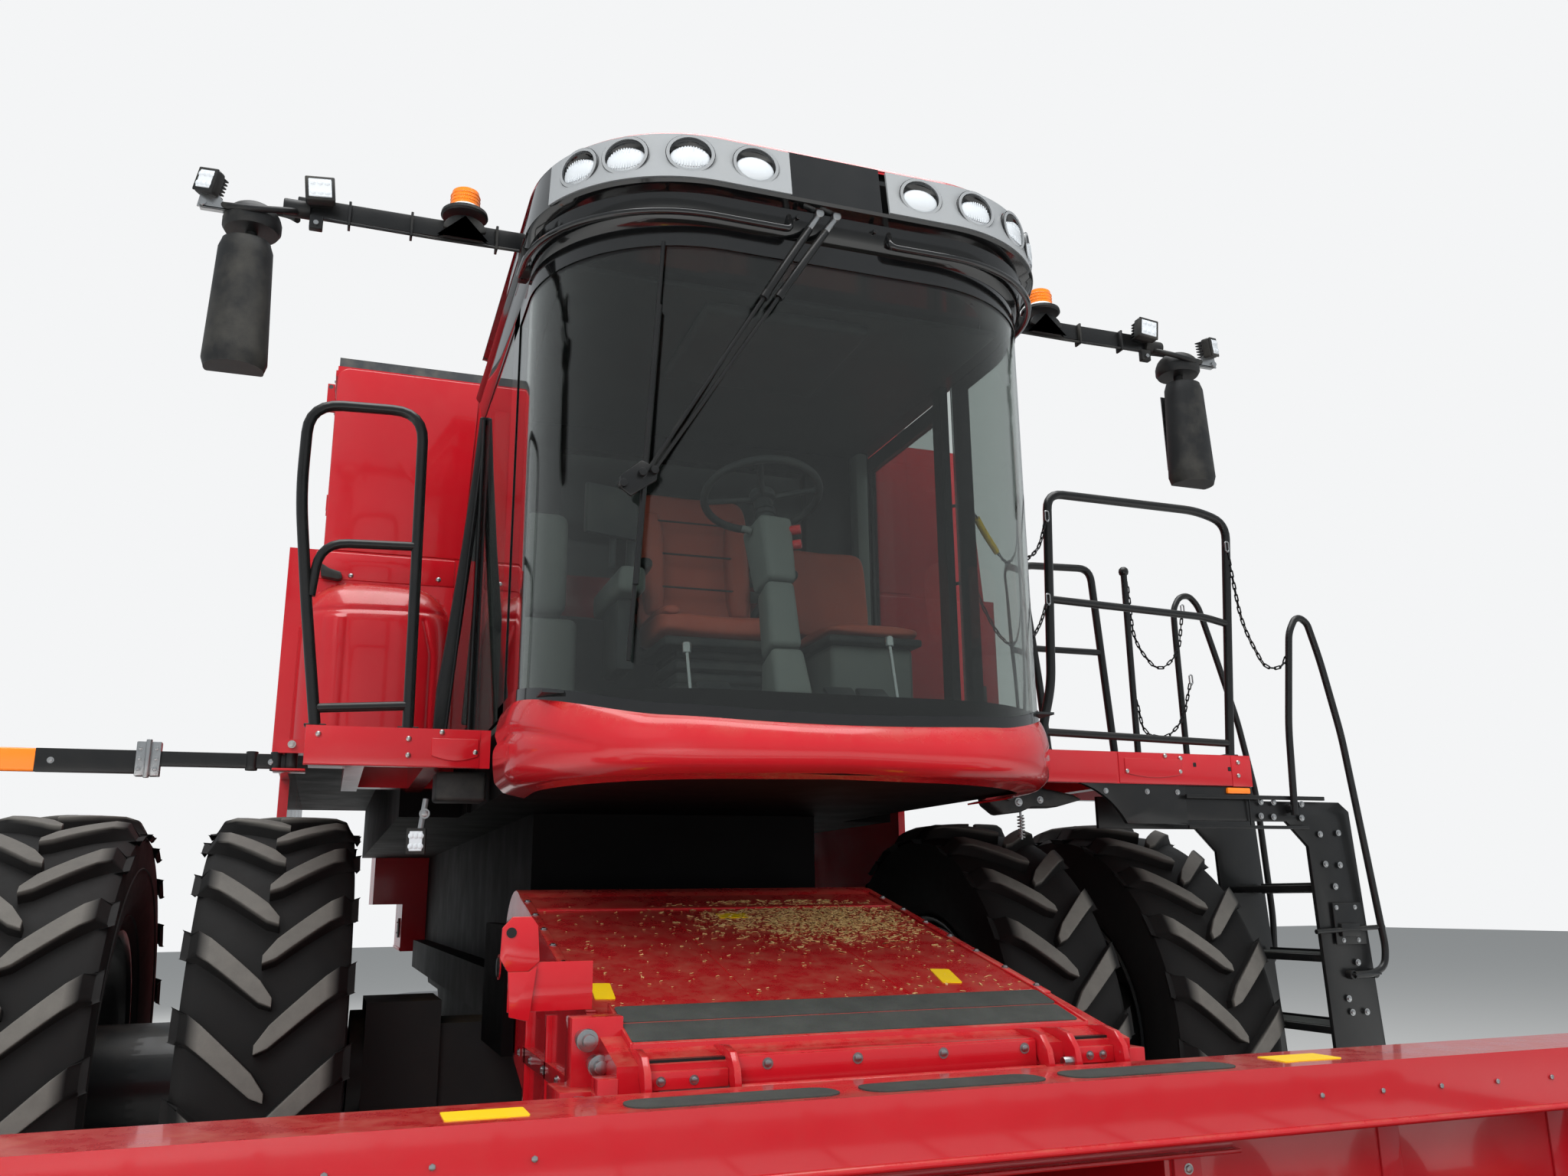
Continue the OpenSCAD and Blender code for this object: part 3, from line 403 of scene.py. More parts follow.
def glass():
    """Laminated float glass with a green body tint: smooth on both sides; light for the
    seats behind it passes straight through."""
    mat, tree = start("tinted_cab_glass", Roughness=0.0, IOR=1.45, Transmission_Weight=1.0)
    shader = tree.nodes["Principled BSDF"]
    shader.inputs["Base Color"].default_value = tone("#BAC1BE")
    see = add(tree, "BsdfTransparent", {"Color": tone("#E7EBE9")})
    path = add(tree, "LightPath")
    both = add(tree, "MixShader", {}, {0: (path, "Is Shadow Ray"), 1: (shader, 0), 2: (see, 0)})
    tree.links.new(both.outputs[0], tree.nodes["Material Output"].inputs["Surface"])
    return mat


def rubber():
    """Vulcanised tyre rubber: near black in the grooves, lug tops scuffed to a dusty grey."""
    mat, tree = start("tyre_rubber_dusty", Specular_IOR_Level=0.35)
    wear = add(tree, "Attribute", {"attribute_name": "wear"})
    mott = add(tree, "TexNoise", {"Scale": 18.0, "Detail": 9.0, "Roughness": 0.7})
    side = add(tree, "Mix", {"data_type": "RGBA", 6: tone("#0D0D0E"), 7: tone("#1D1C1B")}, {0: (mott, "Fac")})
    top = add(tree, "Mix", {"data_type": "RGBA", 6: tone("#4B4946"), 7: tone("#6A6762")}, {0: (mott, "Fac")})
    both = add(tree, "Mix", {"data_type": "RGBA"}, {0: (wear, "Fac"), 6: (side, 2), 7: (top, 2)})
    gloss = add(tree, "MapRange", {"To Min": 0.55, "To Max": 0.85}, {"Value": (mott, "Fac")})
    fine = add(tree, "TexNoise", {"Scale": 220.0, "Detail": 3.0})
    return finish(mat, (both, 2), gloss, (fine, "Fac"), 0.2)


def leather():
    """Pigmented seat leather: fine pebble grain about 3 mm apart, paler where it is rubbed."""
    mat, tree = start("brown_red_seat_leather", Coat_Weight=0.15, Coat_Roughness=0.3)
    rub = add(tree, "TexNoise", {"Scale": 7.0, "Detail": 6.0})
    colour = add(tree, "Mix", {"data_type": "RGBA", 6: tone("#86382B"), 7: tone("#A45545")}, {0: (rub, "Fac")})
    gloss = add(tree, "MapRange", {"To Min": 0.38, "To Max": 0.6}, {"Value": (rub, "Fac")})
    pebble = add(tree, "TexVoronoi", {"Scale": 330.0})
    return finish(mat, (colour, 2), gloss, (pebble, "Distance"), 0.25)


def grit():
    """Anti-slip tape: dark mineral grit about 2 mm apart, greyed by boots."""
    mat, tree = start("anti_slip_grit_tape", Roughness=0.9)
    worn = add(tree, "TexNoise", {"Scale": 7.0, "Detail": 8.0, "Roughness": 0.7})
    grain = add(tree, "TexNoise", {"Scale": 420.0, "Detail": 2.0})
    base = add(tree, "Mix", {"data_type": "RGBA", 6: tone("#202322"), 7: tone("#4A4C48")}, {0: (worn, "Fac")})
    colour = add(tree, "Mix", {"data_type": "RGBA", "blend_type": "OVERLAY", 0: 0.6},
        {6: (base, 2), 7: (grain, "Color")})
    return finish(mat, (colour, 2), None, (grain, "Fac"), 0.5, 0.002)


def straw():
    """Chopped straw and chaff: dry, pale tan, each chip a little different."""
    mat, tree = start("dry_straw_chaff", Roughness=0.85)
    soft = add(tree, "TexNoise", {"Scale": 90.0})
    colour = add(tree, "ValToRGB", {"stops": [(0.3, tone("#A37B45")), (0.7, tone("#DDBD86"))]},
        {"Fac": (soft, "Fac")})
    return finish(mat, (colour, 0))


def ribbed_belt():
    """Rubber coated draper belt: fine cross ribs every 12 mm, dusted by the crop."""
    mat, tree = start("ribbed_draper_belt", Roughness=0.75)
    dusty = add(tree, "TexNoise", {"Scale": 8.0, "Detail": 7.0})
    colour = add(tree, "Mix", {"data_type": "RGBA", 6: tone("#181817"), 7: tone("#4C463B")}, {0: (dusty, "Fac")})
    wave = add(tree, "TexWave", {"bands_direction": "X", "Scale": 26.0})
    return finish(mat, (colour, 2), None, (wave, "Fac"), 0.3, 0.002)


GLASS, TYRE, LEATHER, GRIT, STRAW, BELT = glass(), rubber(), leather(), grit(), straw(), ribbed_belt()
LAMP = moulded("ribbed_lamp_glass", "#C6CBCF", rough=0.12, bumpy=0.0, dusty=0.04, coat=0.8)
TINE = moulded("tine_plastic", "#2B2A28", rough=0.5, bumpy=0.1, dusty=0.35)
DARK_STEEL = bare_metal("blackened_chain_steel", "#3A3B3C", rough=0.4, dirty=0.4)
WHITE_ZINC = bare_metal("dome_bolt_steel", "#E4E2DE", rough=0.3, dirty=0.1)
RED_LENS = moulded("red_lens_plastic", "#B00D12", rough=0.15, bumpy=0.0, dusty=0.05, coat=0.6)
SLOTS = {material.name: slot for slot, materials in {"worn_steel": (ZINC, WORN, WHITE_ZINC, RED_DUSTY),
    "red_paint": (RED,), "black_paint": (BLACK_COAT, TRIM, DARK_STEEL), "roof_gloss": (BLACK_GLOSS, BEZEL),
    "amber_lens": (AMBER,), "lamp_lens": (LAMP, WHITE), "tyre_rubber": (TYRE,), "cab_window": (GLASS,),
    "seat_cover": (LEATHER,), "belt_rubber": (BELT,), "cover_plastic": (COVER,)}.items() for material in materials}


# ---- tyres
def lug(side, top_r, base_r, half, reach, width, bow):
    """One rubber lug: a bar from the shoulder (side -1 or 1) to just past the middle of the tread.
    It is drawn at the front of the tyre, where its middle end points down."""
    deselect()
    bpy.ops.mesh.primitive_cube_add(size=2)
    ob = bpy.context.object
    bpy.ops.object.mode_set(mode="EDIT")
    bpy.ops.mesh.select_all(action="SELECT")
    bpy.ops.mesh.subdivide(number_cuts=6)
    bpy.ops.object.mode_set(mode="OBJECT")
    for v in ob.data.vertices:
        u = (v.co.x + 1) / 2
        h = (v.co.z + 1) / 2
        x = half * (1.02 - 1.1 * u)
        t = reach * u ** 1.25
        # the top is narrower than the foot, the two ends are rounded, the shoulder end is wider
        w = width * (1.15 - 0.3 * u) * (1.18 - 0.24 * h)
        end = max(0.0, (u - 0.82) / 0.18)
        w *= sqrt(max(0.0, 1 - 0.82 * end * end))
        fall = 0.085 * max(0.0, 1 - u / 0.22) ** 2 * (half / 0.26)
        r = base_r - 0.02 + (top_r - base_r + 0.02 - 0.01 * (x / half) ** 2) * h - fall * h
        x += 0.012 * max(0.0, 1 - u / 0.12) * (1 - h)
        angle = (t + v.co.y * w / 2 + bow * sin(pi * u)) / top_r
        v.co = (side * x, -r * cos(angle), -r * sin(angle))
    bevel(ob, 0.006, 2, 40)
    return outward(ob)


def tyre(centre_x, axle, top_r, rim_r, half, lugs, reach, width, depth):
    """A tractor tyre: carcass turned from its section, lugs in two staggered rows."""
    base = top_r - depth
    section = [(base, 0), (base - 0.003, half * 0.5), (base - 0.012, half * 0.86), (base - 0.035, half * 0.985),
        (base - 0.085, half * 1.0), (rim_r + (base - rim_r) * 0.55, half * 1.0),
        (rim_r + (base - rim_r) * 0.3, half * 0.95), (rim_r + 0.05, half * 0.83), (rim_r + 0.012, half * 0.74),
        (rim_r + 0.002, half * 0.66), (rim_r + 0.003, half * 0.45)]
    back = [(r, -t) for r, t in reversed(section[1:])]
    carcass = turned(section + back, (0, 0, 0), "x", 96)
    parts = [carcass]
    for side, shift in ((-1, 0.0), (1, 0.5)):
        one = lug(side, top_r, base, half, reach, width, 0.012)
        parts += copy_to(one, [Matrix.Rotation(2 * pi * (k + shift) / lugs, 4, "X") for k in range(lugs)])
    # moulded rings on the sidewall
    for side in (-1, 1):
        for r in (rim_r + 0.07, rim_r + (base - rim_r) * 0.62):
            ring = turned([(r - 0.004, 0), (r, 0.006), (r + 0.004, 0)], (0, 0, 0), "x", 72)
            move(ring, side * half * (0.86 if r < rim_r + 0.1 else 0.995))
            parts.append(ring)
    ob = joined(parts)
    wear = ob.data.attributes.new("wear", "FLOAT", "POINT")
    low = base + depth * 0.72
    values = []
    for v in ob.data.vertices:
        r = hypot(v.co.y, v.co.z)
        values.append(max(0.0, min(1.0, (r - low) / (depth * 0.14))) if abs(v.co.x) < half * 1.05 else 0.0)
    wear.data.foreach_set("value", values)
    ob.data.transform(Matrix.Translation((centre_x, axle[0], axle[1])))
    return ob


# wheels: x of the duals' middles and of the rear wheels, y of the rear axle, radii of tyres and rims
DUALS_X, REAR_X, REAR_Y = (1.52, 2.285), 1.5, 3.77
FRONT_RADIUS, REAR_RADIUS, FRONT_RIM, REAR_RIM = 0.975, 0.745, 0.5335, 0.3555


def build_tyres():
    for name, s in (("left", 1), ("right", -1)):
        pair = [tyre(s * x, (0, FRONT_RADIUS), FRONT_RADIUS, FRONT_RIM, 0.26, 21, 0.25, 0.086, 0.052)
            for x in DUALS_X]
        piece(f'front_tyres_{name}', pair, TYRE, f'front_wheels_{name}', stands_for=[f'tyres_front_{name}'],
            smooth=50)
        rear = tyre(s * REAR_X, (REAR_Y, REAR_RADIUS), REAR_RADIUS, REAR_RIM, 0.3, 18, 0.24, 0.08, 0.045)
        piece(f'rear_tyre_{name}', [rear], TYRE, f'rear_wheel_{name}_body', stands_for=[f'tyre_rear_{name}'],
            smooth=50)


build_tyres()


# ---- cab shell
def plan(u, half, front, radius, y_end):
    """A point of the cab's plan from its right side, round the front, to its left side."""
    straight = y_end + front - radius
    arc = radius * pi / 2
    flat = 2 * (half - radius)
    total = 2 * straight + 2 * arc + flat
    s = u * total
    cx, cy = half - radius, -front + radius
    if s < straight:
        return -half, y_end - s
    s -= straight
    if s < arc:
        a = s / radius
        return -cx - radius * cos(a), cy - radius * sin(a)
    s -= arc
    if s < flat:
        return -cx + s, -front
    s -= flat
    if s < arc:
        a = s / radius
        return cx + radius * sin(a), cy - radius * cos(a)
    s -= arc
    return half, cy + s


def swoop(x):
    """Height of the lower edge of the windscreen."""
    a = abs(x)
    return 2.075 + 0.015 * min(1.0, a / 0.52) ** 2 + (0.09 * ((a - 0.52) / 0.35) ** 1.5 if a > 0.52 else 0.0)


# half width, reach forward and corner radius of the windscreen, and of the border printed on it
SCREEN, PRINT = (0.868, 2.188, 0.52), (0.87, 2.19, 0.522)


def build_windscreen():
    def screen(u, v):
        x, y = plan(u, *SCREEN, -1.335)
        z0 = swoop(x) + 0.012
        return x, y, z0 + (3.6 - z0) * v

    shell = surface(screen, 120, 10, 0.012, -1)
    right = box((-0.868, -1.33, 2.19), (-0.856, -0.455, 3.59))
    back = box((-0.6, -0.398, 2.72), (0.6, -0.39, 3.52), 0.003)
    corner = plate([(-0.866, 3.5), (-0.866, 2.19), (-0.975, 2.19), (-0.935, 2.64), (-0.905, 3.013)], "y", -0.456,
        -0.45, 0.001, 1)
    piece("cab_glazing", [shell, right, back, corner], GLASS, stands_for=["cab_glass"])
    # black ceramic border printed round the screen
    def border(low, high):
        def fn(u, v):
            x, y = plan(u, *PRINT, -1.335)
            z0 = swoop(x) + 0.01
            return (x, y, z0 + low + (high - low) * v) if high < 1 else (x, y, low + (high - low) * v)

        return fn

    low = surface(border(0.0, 0.035), 100, 1, 0.002, 1)
    high = surface(border(3.53, 3.6), 100, 1, 0.002, 1)
    edges = []
    for u0 in (0.0, 0.955):
        def strip(u, v, u0=u0):
            x, y = plan(u0 + 0.045 * u, *PRINT, -1.335)
            z0 = swoop(x) + 0.01
            return x, y, z0 + (3.6 - z0) * v

        edges.append(surface(strip, 6, 12, 0.002, 1))
    piece("windscreen_border", [low, high] + edges, BLACK_GLOSS, slot="black_paint")


build_windscreen()


def build_bumper():
    """The glossy red lip under the windscreen, with a crease running out at each end."""

    def skin(u, v):
        x, y = plan(u, *SCREEN, -1.45)
        a = abs(x) / 0.87
        top = swoop(x) + 0.008
        low = 1.945 + 0.015 * (1 - a)
        end = max(0.0, (a - 0.8) / 0.2)
        # v runs over the lip: inner top edge, out over the bulge, down and under
        angle = pi * (0.5 - 1.15 * v)
        out = 0.034 * (1 - 0.35 * end) * max(0.0, cos(angle)) ** 0.8 - 0.1 * max(0.0, v - 0.72) / 0.28 * 0.8
        z = top + (low - top) * min(1.0, v / 0.8) ** 1.1
        if v > 0.8:
            z = low - 0.012 * (v - 0.8) / 0.2
        crease = 0.012 * exp(-((v - 0.33 - 0.25 * (1 - a) * 3) / 0.05) ** 2) * max(0.0, (a - 0.74) / 0.26)
        out -= crease
        nx, ny = x, y + 1.3
        n = hypot(nx, ny)
        return x + nx / n * out, y + ny / n * out, z

    lip = surface(skin, 140, 24, 0.006, -1)
    piece("bumper_lip", [lip], RED, stands_for=["front_bumper"], smooth=60)


build_bumper()


def roof_ring(u, half, front, radius, back):
    """A point of the roof's closed outline: round the front, then straight across the back."""
    n = 0.86
    if u <= n:
        return plan(u / n, half, front, radius, -back)
    return half - 2 * half * (u - n) / (1 - n), -back


def build_roof():
    """The wrap-round visor with its lamp band, and the red cap over it."""
    levels = [(3.585, 0.855, 2.17, 0.5, 0.36), (3.6, 0.868, 2.195, 0.51, 0.36), (3.625, 0.878, 2.215, 0.51, 0.355),
        (3.685, 0.886, 2.228, 0.51, 0.35), (3.697, 0.898, 2.262, 0.51, 0.35), (3.706, 0.903, 2.268, 0.51, 0.35),
        (3.708, 0.86, 2.215, 0.47, 0.35), (3.8, 0.855, 2.21, 0.47, 0.35), (3.876, 0.85, 2.205, 0.47, 0.35),
        (3.885, 0.884, 2.224, 0.505, 0.355)]
    steps = len(levels) - 1

    def skin(u, v):
        z, *shape = levels[round(v * steps)]
        return (*roof_ring(u, *shape), z)

    def lid(z, half, front, radius, back, rise):
        def fn(u, v):
            x, y = roof_ring(u, half, front, radius, back)
            return x * (1 - v), (y + 1.25) * (1 - v) - 1.25, z + rise * (1 - (1 - v) ** 2)

        return fn

    def edge(u, v):
        out = 0.022 * cos(v * pi / 2)
        return (*roof_ring(u, 0.865 + out, 2.2 + out, 0.5 + out, 0.37), 3.876 + 0.03 * sin(v * pi / 2))

    visor = surface(skin, 200, steps, merge=1e-5)
    under = surface(lid(3.6, 0.868, 2.195, 0.51, 0.36, 0.0), 120, 2, merge=1e-5)
    piece("roof_visor", [visor, under], BLACK_GLOSS, stands_for=["cab_roof"], smooth=28)
    rim_edge = surface(edge, 200, 5, merge=1e-5)
    dome = surface(lid(3.906, 0.865, 2.2, 0.5, 0.37, 0.024), 200, 8, merge=1e-5)
    piece("roof_cap_red", [rim_edge, dome], RED, stands_for=["roof_cap"], smooth=50)


build_roof()


# ---- roof band, lamps, wipers
def rim(s, half, front, radius):
    """The point at arc length s from the middle of the front (+ to the left), and its outward direction."""
    side, s = 1 if s >= 0 else -1, abs(s)
    flat, arc = half - radius, radius * pi / 2
    if s <= flat:
        return Vector((side * s, -front, 0)), Vector((0, -1, 0))
    if s <= flat + arc:
        a = (s - flat) / radius
        n = Vector((side * sin(a), -cos(a), 0))
        return Vector((side * flat, radius - front, 0)) + radius * n, n
    return Vector((side * half, radius - front + s - flat - arc, 0)), Vector((side, 0, 0))


def band(s0, s1, z0, z1, out, wall, cells=40, lean=0.025):
    """A strip bent round the roof's edge, out by some metres, leaning back towards its top."""

    def fn(u, v):
        k = out - lean * v
        p = rim(s0 + (s1 - s0) * u, 0.9 + k, 2.26 + k, 0.51 + k)[0]
        return p.x, p.y, z0 + (z1 - z0) * v

    return surface(fn, cells, 4, wall, -1)


LAMPS = [(s * p, k) for s in (-1, 1) for p, k in ((0.28, 0), (0.486, 1), (0.686, 1), (0.85, 1))]


def seat_at(ob, s, z, out=0.0):
    """Turns a part drawn at the front (facing -y) to its place on the roof's edge."""
    p, n = rim(s, 0.9, 2.26, 0.51)
    angle = atan2(n.x, -n.y)
    ob.data.transform(Matrix.Translation((p.x + n.x * out, p.y + n.y * out, z)) @ Matrix.Rotation(angle, 4, "Z"))
    return ob


def oval(rx, rz, y0, y1, sides=40):
    pts = [(rx * cos(2 * pi * i / sides), rz * sin(2 * pi * i / sides)) for i in range(sides)]
    return plate(pts, "y", y0, y1)


# height of the middle of the lamp band
LAMP_Z = 3.795


def build_roof_band():
    cutters = [seat_at(oval(0.073, 0.062, -0.1, 0.03), s, LAMP_Z) for s, _ in LAMPS]
    cutter = joined(cutters)
    black = [band(-0.168, 0.14, 3.706, 3.876, 0.006, 0.008, 12), band(-1.62, -0.975, 3.706, 3.876, 0.006, 0.008),
        band(0.975, 1.62, 3.706, 3.876, 0.006, 0.008)]
    silver = []
    for s0, s1 in ((-0.985, -0.165), (0.165, 0.985)):
        strip = band(s0, s1, 3.712, 3.872, 0.009, 0.009, 60)
        modify(strip, "BOOLEAN", operation="DIFFERENCE", object=cutter, solver="EXACT")
        silver.append(bevel(strip, 0.002, 1, 50))
    bpy.data.objects.remove(cutter)
    piece("roof_band", black, BLACK_GLOSS)
    piece("lamp_bezels", silver, BEZEL)
    rims, lids, lenses, dots = [], [], [], []
    for s, kind in LAMPS:
        ring = turned([(0.062, -0.004), (0.064, 0.004), (0.07, 0.004), (0.072, -0.004)], (0, 0, 0), "y", 40)
        ring.data.transform(Matrix.Diagonal((1.03, 1, 0.88, 1)))
        rims.append(seat_at(ring, s, LAMP_Z))
        bowl = surface(lambda u, v: (0.076 * cos(2 * pi * u) * sin(v * pi / 2), 0.04 * cos(v * pi / 2) - 0.002,
            0.065 * sin(2 * pi * u) * sin(v * pi / 2)), 32, 8, merge=1e-5)
        lids.append(seat_at(bowl, s, LAMP_Z))
        lens = surface(lambda u, v: (0.06 * cos(2 * pi * u) * sin(v * pi / 2), -0.02 * cos(v * pi / 2) + 0.012,
            0.04 * sin(2 * pi * u) * sin(v * pi / 2) - 0.014), 32, 8, 0.004, 1, merge=1e-5)
        lenses.append(seat_at(lens, s, LAMP_Z))
        if kind:
            for i in range(-6, 7):
                x = i * 0.0085
                h = 0.034 * sqrt(max(0.0, 1 - (x / 0.058) ** 2))
                y = 0.012 - 0.021 * sqrt(max(0.0, 1 - (x / 0.06) ** 2))
                dots.append(seat_at(bar((x, y, -0.014 - h), (x, y, -0.014 + h), 0.0022, 6), s, LAMP_Z))
        else:
            for i in (-1.5, -0.5, 0.5, 1.5):
                for j in (-0.5, 0.5):
                    x, z = i * 0.021, -0.014 + j * 0.026
                    y = 0.012 - 0.02 * sqrt(max(0.0, 1 - (x / 0.06) ** 2 - ((z + 0.014) / 0.04) ** 2))
                    dots.append(seat_at(turned([(0, -0.004), (0.006, -0.002), (0.009, 0.003), (0, 0.003)],
                        (x, y, z), "y", 12), s, LAMP_Z))
    piece("lamp_rims", rims, BEZEL, slot="lamp_lens", smooth=50)
    piece("lamp_bowls", lids, BLACK_GLOSS, smooth=60)
    piece("lamp_lenses", lenses, LAMP, stands_for=["lamps"], smooth=60)
    piece("lamp_ribs", dots, LAMP, smooth=60)


def build_grab_bars():
    """Two black tubes that follow the screen's top edge, for whoever cleans the glass."""
    bars, feet = [], []
    for side, start, end in ((-1, 0.16, 1.28), (1, 0.18, 1.28)):
        path = []
        p = rim(side * start, 0.9, 2.235, 0.51)[0]
        path += [(p.x, p.y + 0.03, 3.69), (p.x, p.y, 3.612)]
        for i in range(1, 19):
            p = rim(side * (start + (end - start) * i / 18), 0.9, 2.235, 0.51)[0]
            path.append((p.x, p.y, 3.612 + 0.02 * (i / 18) ** 2))
        bars.append(tube(path, 0.0115, 0.02, 4))
        feet.append(bar((p.x, p.y, 3.632), (p.x - side * 0.045, p.y, 3.64), 0.016, 12))
    feet += [bar((x, -2.243, 3.655), (x, -2.215, 3.66), 0.008, 10, edge=0.002) for x in (-0.135, 0.125)]
    piece("screen_grab_bars", bars + feet, BLACK_GLOSS, slot="black_paint", smooth=50)


def build_wipers():
    dark, caps = [], []
    link = Vector((-0.586, -2.166, 2.783))
    for x, dx in ((-0.063, -0.012), (-0.006, 0.018)):
        top = Vector((x, -2.232, 3.682))
        low = link + Vector((dx, 0, dx * 0.8))
        mid = top.lerp(low, 0.34)
        step = top.lerp(low, 0.06)
        sag = Vector((0, -0.028, 0))
        dark += [bar(step, mid + sag, 0.0125, 12, edge=0.003), bar(mid + sag, low, 0.0065, 10),
            bar(mid + sag + (top - mid).normalized() * 0.012, mid + sag - (top - mid).normalized() * 0.012, 0.0145,
            12)]
        caps += [bar(top + Vector((0, 0.016, 0.004)), top - Vector((0, 0.012, 0)), 0.014, 16, edge=0.003),
            bar(top, step, 0.01, 12, edge=0.002)]
    # link plate, blade carrier and blade
    dark.append(plate([(-0.665, 2.745), (-0.63, 2.72), (-0.555, 2.775), (-0.553, 2.812), (-0.6, 2.83),
        (-0.66, 2.78)], "y", -2.172, -2.16, 0.003))
    dark += [bar((p[0], -2.19, p[1]), (p[0], -2.155, p[1]), 0.012, 12, edge=0.002)
        for p in ((-0.655, 2.752), (-0.6, 2.79), (-0.565, 2.8))]
    path = []
    for i in range(13):
        t = i / 12
        x = -0.544 - 0.075 * t
        a = asin(min(1, (-x - 0.35) / 0.52))
        path.append(Vector((x, -2.19 + 0.52 * (1 - cos(a)) - 0.014, 3.535 - 1.28 * t)))
    dark.append(tube(path, 0.0065, 0.0, 2))
    spine = [p + Vector((0, -0.012, 0)) for p in path[2:11]]
    dark.append(tube(spine, 0.009, 0.0, 2))
    piece("wiper_arms", dark, BLACK_COAT)
    piece("wiper_caps", caps, ZINC)


def build_mirrors():
    """Flat-tube arms with a beacon saucer, two work lamps and a hooded mirror each."""
    arms, heads, lens, silver = [], [], [], []
    for s in (-1, 1):
        y = -1.65
        arm = box((0.86, y - 0.012, 3.712), (1.6, y + 0.012, 3.775), 0.004)
        arms.append(arm if s > 0 else mirror_it(arm))
        # roof bracket
        parts = [box((0.868, y - 0.05, 3.62), (0.905, y + 0.05, 3.735), 0.006)]
        # saucer bracket under the beacon
        arch = [(1.09 + 0.068 * cos(a), 3.735 + 0.052 * sin(a)) for a in [pi * k / 14 for k in range(15)]]
        parts += [plate([(1.03, 3.705)] + arch + [(1.158, 3.705)], "y", y - 0.045, y - 0.03, 0.002),
            turned([(0, 3.795), (0.07, 3.795), (0.076, 3.801), (0.074, 3.812), (0.05, 3.818), (0, 3.818)],
            (1.09, y - 0.005, 0), "z", 36)]
        # wrist at the arm's end, a bail that holds the mirror, and its domed cap
        parts += [bar((1.56, y, 3.735), (1.64, y, 3.735), 0.028, 20, edge=0.004),
            tube([(1.6, y + 0.06, 3.73), (1.63, y + 0.1, 3.765), (1.74, y + 0.1, 3.77), (1.8, y + 0.05, 3.735),
            (1.82, y - 0.03, 3.69), (1.72, y - 0.085, 3.665), (1.63, y - 0.06, 3.69), (1.6, y - 0.01, 3.72)],
            0.0105, 0.04, 3), surface(lambda u, v: (1.725 + 0.085 * cos(2 * pi * u) * sin(v * pi / 2),
            y + 0.01 + 0.085 * sin(2 * pi * u) * sin(v * pi / 2), 3.665 + 0.065 * cos(v * pi / 2)), 32, 8,
            merge=1e-5), turned([(0, 3.63), (0.078, 3.632), (0.086, 3.645), (0.086, 3.668), (0.03, 3.672),
            (0, 3.672)], (1.725, y + 0.01, 0), "z", 36),
            bar((1.725, y + 0.01, 3.58), (1.725, y + 0.01, 3.64), 0.018, 16)]
        # angle under the inner lamp
        parts += [box((1.52, y - 0.045, 3.655), (1.56, y - 0.02, 3.7), 0.003), mirror_head(1.735, y + 0.01)]
        lamp1 = cube_lamp(0.088, 0.082)
        for q in lamp1:
            q.data.transform(Matrix.Translation((1.535, y - 0.045, 3.775)) @ Matrix.Rotation(radians(6), 4, "Y"))
        lamp2 = cube_lamp(0.068, 0.078)
        for q in lamp2:
            q.data.transform(Matrix.Translation((1.845, y - 0.03, 3.752)) @ Matrix.Rotation(radians(28), 4, "Z")
                @ Matrix.Rotation(radians(-14), 4, "Y"))
        heads_here = parts + [lamp1[0], lamp2[0]]
        bolts = [bar((1.865, y - 0.01, 3.685), (1.865, y - 0.045, 3.685), 0.011, 12)]
        # angle that carries the outer lamp on the bail's corner
        bolts += [plate([(1.788, 3.672), (1.88, 3.672), (1.872, 3.724), (1.826, 3.724)], "y", y - 0.037, y - 0.031),
            box((1.788, y - 0.037, 3.672), (1.872, y - 0.012, 3.678), 0.001, 1),
            bar((1.54, y - 0.052, 3.672), (1.54, y - 0.04, 3.672), 0.008, 10)]
        bolts += [bar((0.888, y - 0.058, z), (0.888, y - 0.045, z), 0.008, 6) for z in (3.64, 3.67, 3.7)]
        lens_here = [lamp1[1], lamp2[1]]
        glass_here = [plate([(1.665, 3.24), (1.8, 3.24), (1.805, 3.55), (1.66, 3.55)], "y", y + 0.046, y + 0.05,
            0.0)]
        wire = tube([(1.52, y - 0.03, 3.7), (1.47, y - 0.018, 3.703), (1.18, y - 0.018, 3.7),
            (0.91, y - 0.018, 3.703)], 0.005, 0.02, 2)
        heads_here += [box((x, y - 0.026, 3.694), (x + 0.008, y + 0.015, 3.778), 0.001, 1)
            for x in (0.98, 1.25, 1.44)]
        heads_here.append(wire)
        if s < 0:
            for q in heads_here + bolts + lens_here + glass_here:
                mirror_it(q)
        heads += heads_here
        silver += bolts + glass_here
        lens += lens_here
    piece("mirror_arms", arms, BLACK_COAT, stands_for=["mirrors"], smooth=35)
    piece("mirror_heads", heads, TRIM, smooth=45)
    piece("mirror_bolts", silver, ZINC, smooth=35)
    piece("work_lamp_lenses", lens, LAMP, smooth=35)


